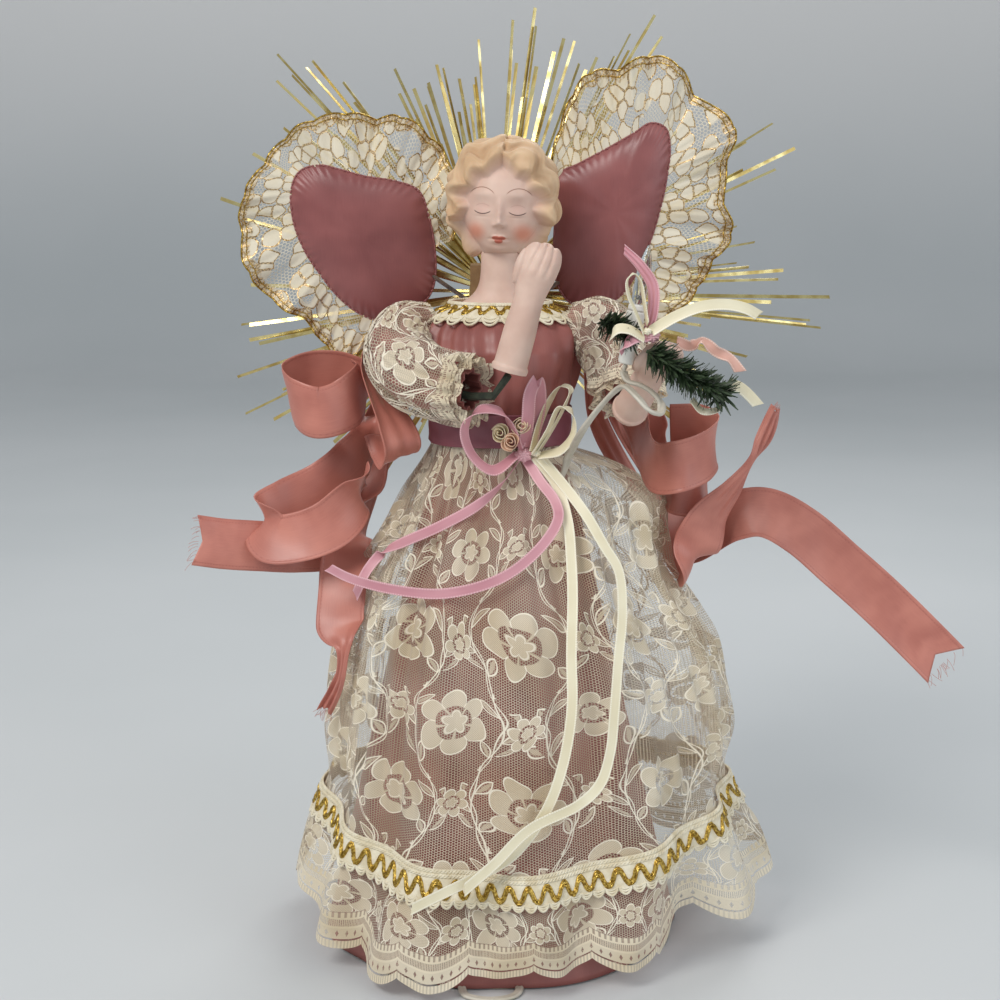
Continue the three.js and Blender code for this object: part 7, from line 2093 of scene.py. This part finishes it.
bouquet_pink = joined("bouquet_pink", [
    bouquet_ribbon("pink_spike", bow_width, spike_width), bouquet_ribbon("pink_stray"),
    knot("bouquet_pink_knot", place([16.8, -23.8, 78]), 3.3 * mm)])
dress(bouquet_pink, pink_ribbon, "left_forearm", "pink_ribbon", "bouquet_pink_bow")
bouquet_cream = joined("bouquet_cream", [
    bouquet_ribbon("cream_loop"), bouquet_ribbon("cream_tail"), bouquet_ribbon("cream_stray"),
    knot("bouquet_cream_knot", place([16.2, -24.4, 78.6]), 1.9 * mm)])
dress(bouquet_cream, cream_ribbon, "left_forearm", "cream_ribbon", "bouquet_cream_bow")
dress(bouquet_ribbon("rosette"), peach_ribbon, "left_forearm", "peach_ribbon", "bouquet_rosette")
cream_ends = joined("bouquet_cream_ends", [
    bouquet_ribbon("low_loop"), bouquet_ribbon("cream_end"),
    knot("bouquet_end_knot", place([25.5, -22.6, 72.1]), 2.5 * mm)])
dress(cream_ends, cream_ribbon, "left_forearm", "cream_ribbon", "bouquet_cream_end")


# %% The tinsel pine
def sprig(name, shares, needles, reach, seed):
    chance = np.random.default_rng(seed)
    path = spline(place(shares), np.linspace(0, 1, 201))
    along, normal, binormal = frames_along(path)
    lines, sides, widths = [], [], []
    for i in range(needles):
        where = int(chance.uniform(0.0, 1.0) * 200)
        turn = i * full_turn * 0.382 + chance.normal(0, 0.3)
        out = normal[where] * math.cos(turn) + binormal[where] * math.sin(turn)
        tip = reach * chance.uniform(0.5, 1.0)
        share = np.linspace(0, 1, 5)[:, None]
        way = unit(out + along[where] * chance.uniform(0.25, 0.75))
        droop = along[where] * chance.normal(0, 0.12) * tip
        lines.append(path[where] + way * share * tip + droop * share**2)
        sides.append(np.tile(np.cross(way, along[where]) + chance.normal(0, 0.5, 3), (5, 1)))
        widths.append(1.05 * mm * np.array([0.7, 1, 1, 0.9, 0.4]))
    spikes = strip_mesh(lines, sides, widths, 0.09 * mm, name)
    angle = np.linspace(0, 26 * full_turn * len(shares) / 5, 201)[:, None]
    wires = [thread(f"{name}_wire_{k}", path + (normal * np.cos(angle + k * math.pi) + binormal *
                    np.sin(angle + k * math.pi)) * 0.45 * mm, 0.5 * mm, sides=1) for k in range(2)]
    return joined(name, [spikes, *wires])


main_sprig = sprig("pine_main", [[16.2, -24.4, 76.4], [18.2, -24.6, 75.2], [20.4, -24.6, 73.9],
                                 [22.7, -24.4, 72.7], [24.9, -23.6, 71.4]], 620, 11.5 * mm, 3)
small_sprig = sprig("pine_small", [[11.4, -21.4, 79.4], [12.9, -22.6, 78.9], [14.6, -23.8, 78]], 260, 9.5 * mm, 4)
dress(main_sprig, needle_green, "left_forearm", "greenery", "sprig_main")
dress(small_sprig, needle_green, "left_forearm", "greenery", "sprig_small")

# %% [markdown]
# ## The lamp
# The lamp is a pointed miniature bulb. Its white base is a push fit in a white holder, and pulls out when
# it has to be changed. All three are turned shapes, so a profile is spun round the lamp's axis. Inside the
# glass stand the bead, the two support wires and the filament.

# %% Turned pieces
lamp_foot = place([14.1, -20.8, 74.6])
lamp_way = unit(np.array([0.182, 0, 0.983]))
bore_floor = 10 * mm
bead_height = 27.3 * mm


def turned(name, profile, foot, way):
    """A profile of [radius, height] in mm, spun round the line from foot along way."""
    edges = [(i, i + 1) for i in range(len(profile) - 1)]
    piece = from_points(name, [(r * mm, 0, h * mm) for r, h in profile], edges, [])
    apply_modifier(piece, "SCREW", angle=full_turn, steps=64, render_steps=64, use_merge_vertices=True,
                   merge_threshold=1e-6, use_normal_calculate=True)
    edited(piece, bpy.ops.mesh.remove_doubles, threshold=1e-6)
    faced_out(piece)
    side = unit(np.cross([0, 1, 0], way))
    frame_axes = np.stack([side, np.cross(way, side), way])
    move_points(piece, points_of(piece) @ frame_axes + foot)
    bpy.ops.object.shade_smooth_by_angle(angle=math.radians(35))
    return piece


holder = turned("holder", [
    [0, 0], [2.6, 0], [3.4, 0.5], [3.7, 1.6], [3.7, 6], [3.9, 6.5], [3.9, 16], [4.2, 16.8], [4.2, 23.6],
    [3.8, 24], [3.15, 24], [3.1, 23.6], [3.1, 10], [0, 10]], lamp_foot, lamp_way)
base_profile = [[0, 0], [2.2, 0], [2.8, 0.8], [2.8, 14], [3.5, 14.05], [3.9, 14.5], [3.9, 16.2], [3.4, 16.7],
                [0, 16.7]]
base = turned("base", base_profile, lamp_foot + lamp_way * (bore_floor + 0.3 * mm), lamp_way)
dress(holder, lamp_plastic, "left_forearm", "white_plastic", "lamp_holder")
dress(base, lamp_plastic, "lamp", "white_plastic", "lamp_base")

# %% The glass and what stands in it
bulb_share = [
    [0.0, 0.0], [2.4, 0], [2.9, 0.6], [3.15, 2.4], [3.2, 6], [3.2, 13.5], [3.0, 16.5], [2.65, 19], [2.1, 21.4],
    [1.45, 23.6], [0.95, 25.1], [0.55, 26.2], [0, 26.7]]
bulb_foot = lamp_foot + lamp_way * bead_height
smooth_profile = spline(np.column_stack([np.array(bulb_share[1:]), np.zeros(12)]), np.linspace(0, 1, 60))[:, :2]
bulb = turned("bulb", [[0, 0], *smooth_profile.tolist()], bulb_foot, lamp_way)
dress(bulb, glass, "lamp", "bulb_glass", "lamp_glass")

lamp_side = unit(np.cross([0, 1, 0], lamp_way))


def in_lamp(side, up):
    return bulb_foot + lamp_side * side * mm + lamp_way * up * mm


wires = [thread(f"support_{k}", np.array([in_lamp(0.7 * k, 0.4), in_lamp(0.75 * k, 5), in_lamp(1.3 * k, 10)]),
                0.16 * mm, sides=1) for k in (-1, 1)]
turn = np.linspace(0, 14 * full_turn, 240)
coil_side, coil_up = np.linspace(-1.3, 1.3, 240), 10 + 0.22 * np.sin(turn)
filament = thread("filament_coil", np.array([in_lamp(s, u) for s, u in zip(coil_side, coil_up)])
                  + np.outer(0.22 * mm * np.cos(turn), [0, 1, 0]), 0.05 * mm, sides=0)
nothing_selected()
bpy.ops.mesh.primitive_uv_sphere_add(segments=24, ring_count=12, radius=1.05 * mm, location=tuple(in_lamp(0, 3)))
bead = settled(bpy.context.active_object)
bpy.ops.object.shade_smooth()
dress(joined("filament", [*wires, filament, bead]), bare_steel, "lamp", "steel_wire")

# %% [markdown]
# ## The lamp's lead
# The lead comes out of the cone beside the bow, runs up in front of the bodice to the raised hand, and
# makes one loop round the bouquet to the holder's foot. It crosses the elbow, so it bends with it.

# %% The lead to the lamp
lead_hole_angle = math.radians(-50)
lead_hole_height = 238 * mm


def hole_at(radius):
    return np.array([radius * math.cos(lead_hole_angle), radius * math.sin(lead_hole_angle), lead_hole_height])


lamp_lead_shares = [
    [7.8, -9.2, 60.8], [8.1, -10.2, 62.3], [8.6, -12.6, 63.8], [9, -15.6, 65.3], [9.9, -17.9, 67.3],
    [11.3, -19.5, 69.5], [12.8, -20.8, 71.4], [13.9, -22.6, 72.3], [15.3, -24.2, 71.2], [16.5, -24.8, 69.9],
    [17.7, -24, 69.4], [18, -22.9, 70.3], [17.1, -22.4, 71.5], [15.6, -22, 72.4], [14.4, -21.4, 72.7]]
lamp_lead_path = spline(np.concatenate([
    [hole_at(r * mm) for r in (38.3, 40.6, 45.2)], place(lamp_lead_shares),
    [lamp_foot - lamp_way * lead_width, lamp_foot - lamp_way * 0.3 * mm]]), np.linspace(0, 1, 260))
sideways = np.cross(upright, unit(np.gradient(lamp_lead_path, axis=0)))
lamp_lead_piece = carried("twin_lead", lamp_lead_path, sideways + 1e-6, twin_section())
dress(lamp_lead_piece, lead_skin, None, "lead", "lamp_lead")
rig.blend(lamp_lead_piece, "figure", "left_forearm", start=(0.036, -0.043, 0.25), end=(0.058, -0.085, 0.285))
lamp_lead_length = length_of(lamp_lead_path)
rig.cord(lamp_lead_piece, exit=tuple(lamp_lead_path[0]), length=lamp_lead_length, diameter=lead_width,
        far_end="object", lay="loose", path=lamp_lead_path[::4].tolist() + [lamp_lead_path[-1].tolist()])
print(f"the lamp's lead is {lamp_lead_length:.3f} m long")

# %% [markdown]
# ## The mains cord and its plug
# The plug is a small moulded one with two flat blades. Its body is a box with rounded edges, narrower
# where the fingers grip, with ribs, and a tapered sleeve where the cord goes in.

# %% The plug
plug_face, plug_far = 45 * mm, 67 * mm
plug_middle = np.array([0, 173.25, 5.6]) * mm
blade_spacing = 12.7 * mm


def plug_shell():
    nothing_selected()
    bpy.ops.mesh.primitive_cube_add(size=1, location=(56 * mm, plug_middle[1], plug_middle[2]),
                                    scale=(22 * mm, 16.2 * mm, 10.4 * mm))
    body = settled(bpy.context.active_object)
    apply_modifier(body, "BEVEL", width=3.0 * mm, segments=6)
    edited(body, bpy.ops.mesh.subdivide, number_cuts=4)
    points = points_of(body)
    share = (points[:, 0] - plug_face) / (plug_far - plug_face)
    grip = 1 - 0.14 * np.exp(-((share - 0.42) / 0.22) ** 2)
    ribs = 1 - 0.03 * (np.cos(share * 22 * full_turn / 3) > 0.3) * (np.abs(share - 0.42) < 0.26)
    points[:, 1:] = (points[:, 1:] - plug_middle[1:]) * (grip * ribs)[:, None] + plug_middle[1:]
    move_points(body, points)
    body.name = body.data.name = "plug_shell"
    bpy.ops.object.shade_smooth_by_angle(angle=math.radians(40))
    return body


def blade(sign):
    nothing_selected()
    bpy.ops.mesh.primitive_cube_add(size=1, location=(74 * mm, plug_middle[1] + sign * blade_spacing / 2,
                                                      plug_middle[2]), scale=(16 * mm, 1.5 * mm, 6.3 * mm))
    piece = settled(bpy.context.active_object)
    apply_modifier(piece, "BEVEL", width=0.5 * mm, segments=3)
    return piece


shell = plug_shell()
dress(shell, lamp_plastic, "figure", "white_plastic", "plug_body")
blades = joined("plug_blades", [blade(-1), blade(1)])
dress(blades, blade_brass, "figure", "white_plastic")
end = cord_path[-1]
relief_line = np.array([end + [x * mm, 0, 0] for x in np.linspace(-22, 0.4, 24)])
relief_parts = carried("plug_relief", relief_line, np.tile([0.0, 1.0, 0.0], (24, 1)), twin_section(24))
points = points_of(relief_parts)
share = np.clip((points[:, 0] - relief_line[0, 0]) / (relief_line[-1, 0] - relief_line[0, 0]), 0, 1)
grow = (1.25 + 0.75 * share) * (1 - 0.1 * (np.cos(share * 6 * full_turn) > 0))
points[:, 1:] = (points[:, 1:] - end[1:]) * grow[:, None] + end[1:]
move_points(relief_parts, points)
dress(relief_parts, lamp_plastic, "figure", "white_plastic")

# %% The mains cord
dress(mains_cord, lead_skin, "figure", "lead", "cord_run", "cord_coil")
mains_length = length_of(cord_path)
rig.cord(mains_cord, exit=tuple(cord_path[0]), length=mains_length, diameter=lead_width, far_end="plug",
        lay="coiled", path=cord_path.tolist(), with_pieces=[shell, blades, relief_parts])
print(f"the mains cord is {mains_length:.3f} m long")

# %% [markdown]
# ## The pieces that keep their own solids
# The card core, the arm wire, the block and the wing wires already have their true shape in the frame.
# They only get the finish of the real thing.

# %% Finishes for the hidden pieces
kept = {"cone_core": card, "inner_lead": lead_skin, "arm_wire": taped, "right_forearm_wire": taped,
        "left_forearm_wire": taped, "wing_anchor": block_wood, "right_wing_wire": bare_steel,
        "left_wing_wire": bare_steel}
for name, material in kept.items():
    mesh = frame["nodes"][name].data
    mesh.materials.clear()
    mesh.materials.append(material)
print("finished solids:", ", ".join(kept))

# %% [markdown]
# ## Stage and light
# The photograph was taken on a pale sheet that sweeps up behind the figure, in soft daylight from the left
# and above. A curved sheet has no corner to draw the eye. It rises well behind the figure here, so that a
# camera can also stand at the back. Large lamps make soft shadows, and a pale sky fills them.

# %% The sheet
def stage_place(u, v):
    run = -9 + 15 * v
    bend_start, radius = 2.4, 0.6
    bend = np.clip((run - bend_start) / (radius * math.pi / 2), 0, 1) * math.pi / 2
    y = np.minimum(run, bend_start) + radius * np.sin(bend)
    z = radius * (1 - np.cos(bend)) + np.maximum(run - bend_start - radius * math.pi / 2, 0)
    return stack(-12 + 24 * u, y, z)


def stage_finish():
    material, tree, shader = finish("sheet", Roughness=0.75, Specular_IOR_Level=0.25)
    where = coordinates(tree, "Object")
    cloud = texture("Noise", where, 1.6, Detail=3.0)
    grain = texture("Noise", where, 900.0, Detail=2.0)
    _, _, height = parted(where)
    floor_tint = tinted(stepped(cloud["Fac"], 0.3, 0.7), colour(199, 202, 203), colour(206, 208, 209))
    # The sheet is painted lighter from 0.12 m to 0.8 m above the floor: painted light on the backdrop.
    shown(shader, Base_Color=tinted(stepped(height, 0.12, 0.8), floor_tint, colour(250, 247, 245)),
          Normal=raised(grain["Fac"], 0.1 * mm, 0.2))
    return material


sheet = laid("stage_sheet", 8, 300, stage_place, (24, 15))
sheet.data.materials.append(stage_finish())
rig.stage(sheet)


# %% The lamps and the sky
def lamp(name, location, target, size, power, tint):
    light = bpy.data.lights.new(name, "AREA")
    light.shape = "DISK"
    light.size = size
    light.energy = power
    light.color = tint
    holder = bpy.data.objects.new(name, light)
    bpy.context.collection.objects.link(holder)
    holder.location = location
    holder.rotation_euler = (Vector(target) - Vector(location)).to_track_quat("-Z", "Y").to_euler()


lamp("key_light", (-0.9, -1.1, 1.5), (0, 0, 0.25), 0.9, 20, (1.0, 0.97, 0.93))
lamp("fill_light", (1.2, -0.9, 0.7), (0, 0, 0.2), 1.2, 6, (0.93, 0.96, 1.0))
lamp("rim_light", (0.3, 1.0, 1.3), (0, 0, 0.3), 0.8, 7, (1.0, 1.0, 1.0))

world = bpy.data.worlds.new("soft_sky")
bpy.context.scene.world = world
world.use_nodes = True
world.node_tree.nodes["Background"].inputs["Color"].default_value = colour(226, 234, 240)
world.node_tree.nodes["Background"].inputs["Strength"].default_value = 0.55
bpy.context.scene.view_settings.view_transform = "Standard"

# %% Measure and finish
final_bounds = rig.bounds()
with open("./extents.json", "w") as out:
    json.dump({"cad": [list(corner) for corner in cad_bounds],
               "dressed": [list(corner) for corner in final_bounds]}, out)
print("solids:", cad_bounds)
print("dressed:", final_bounds)
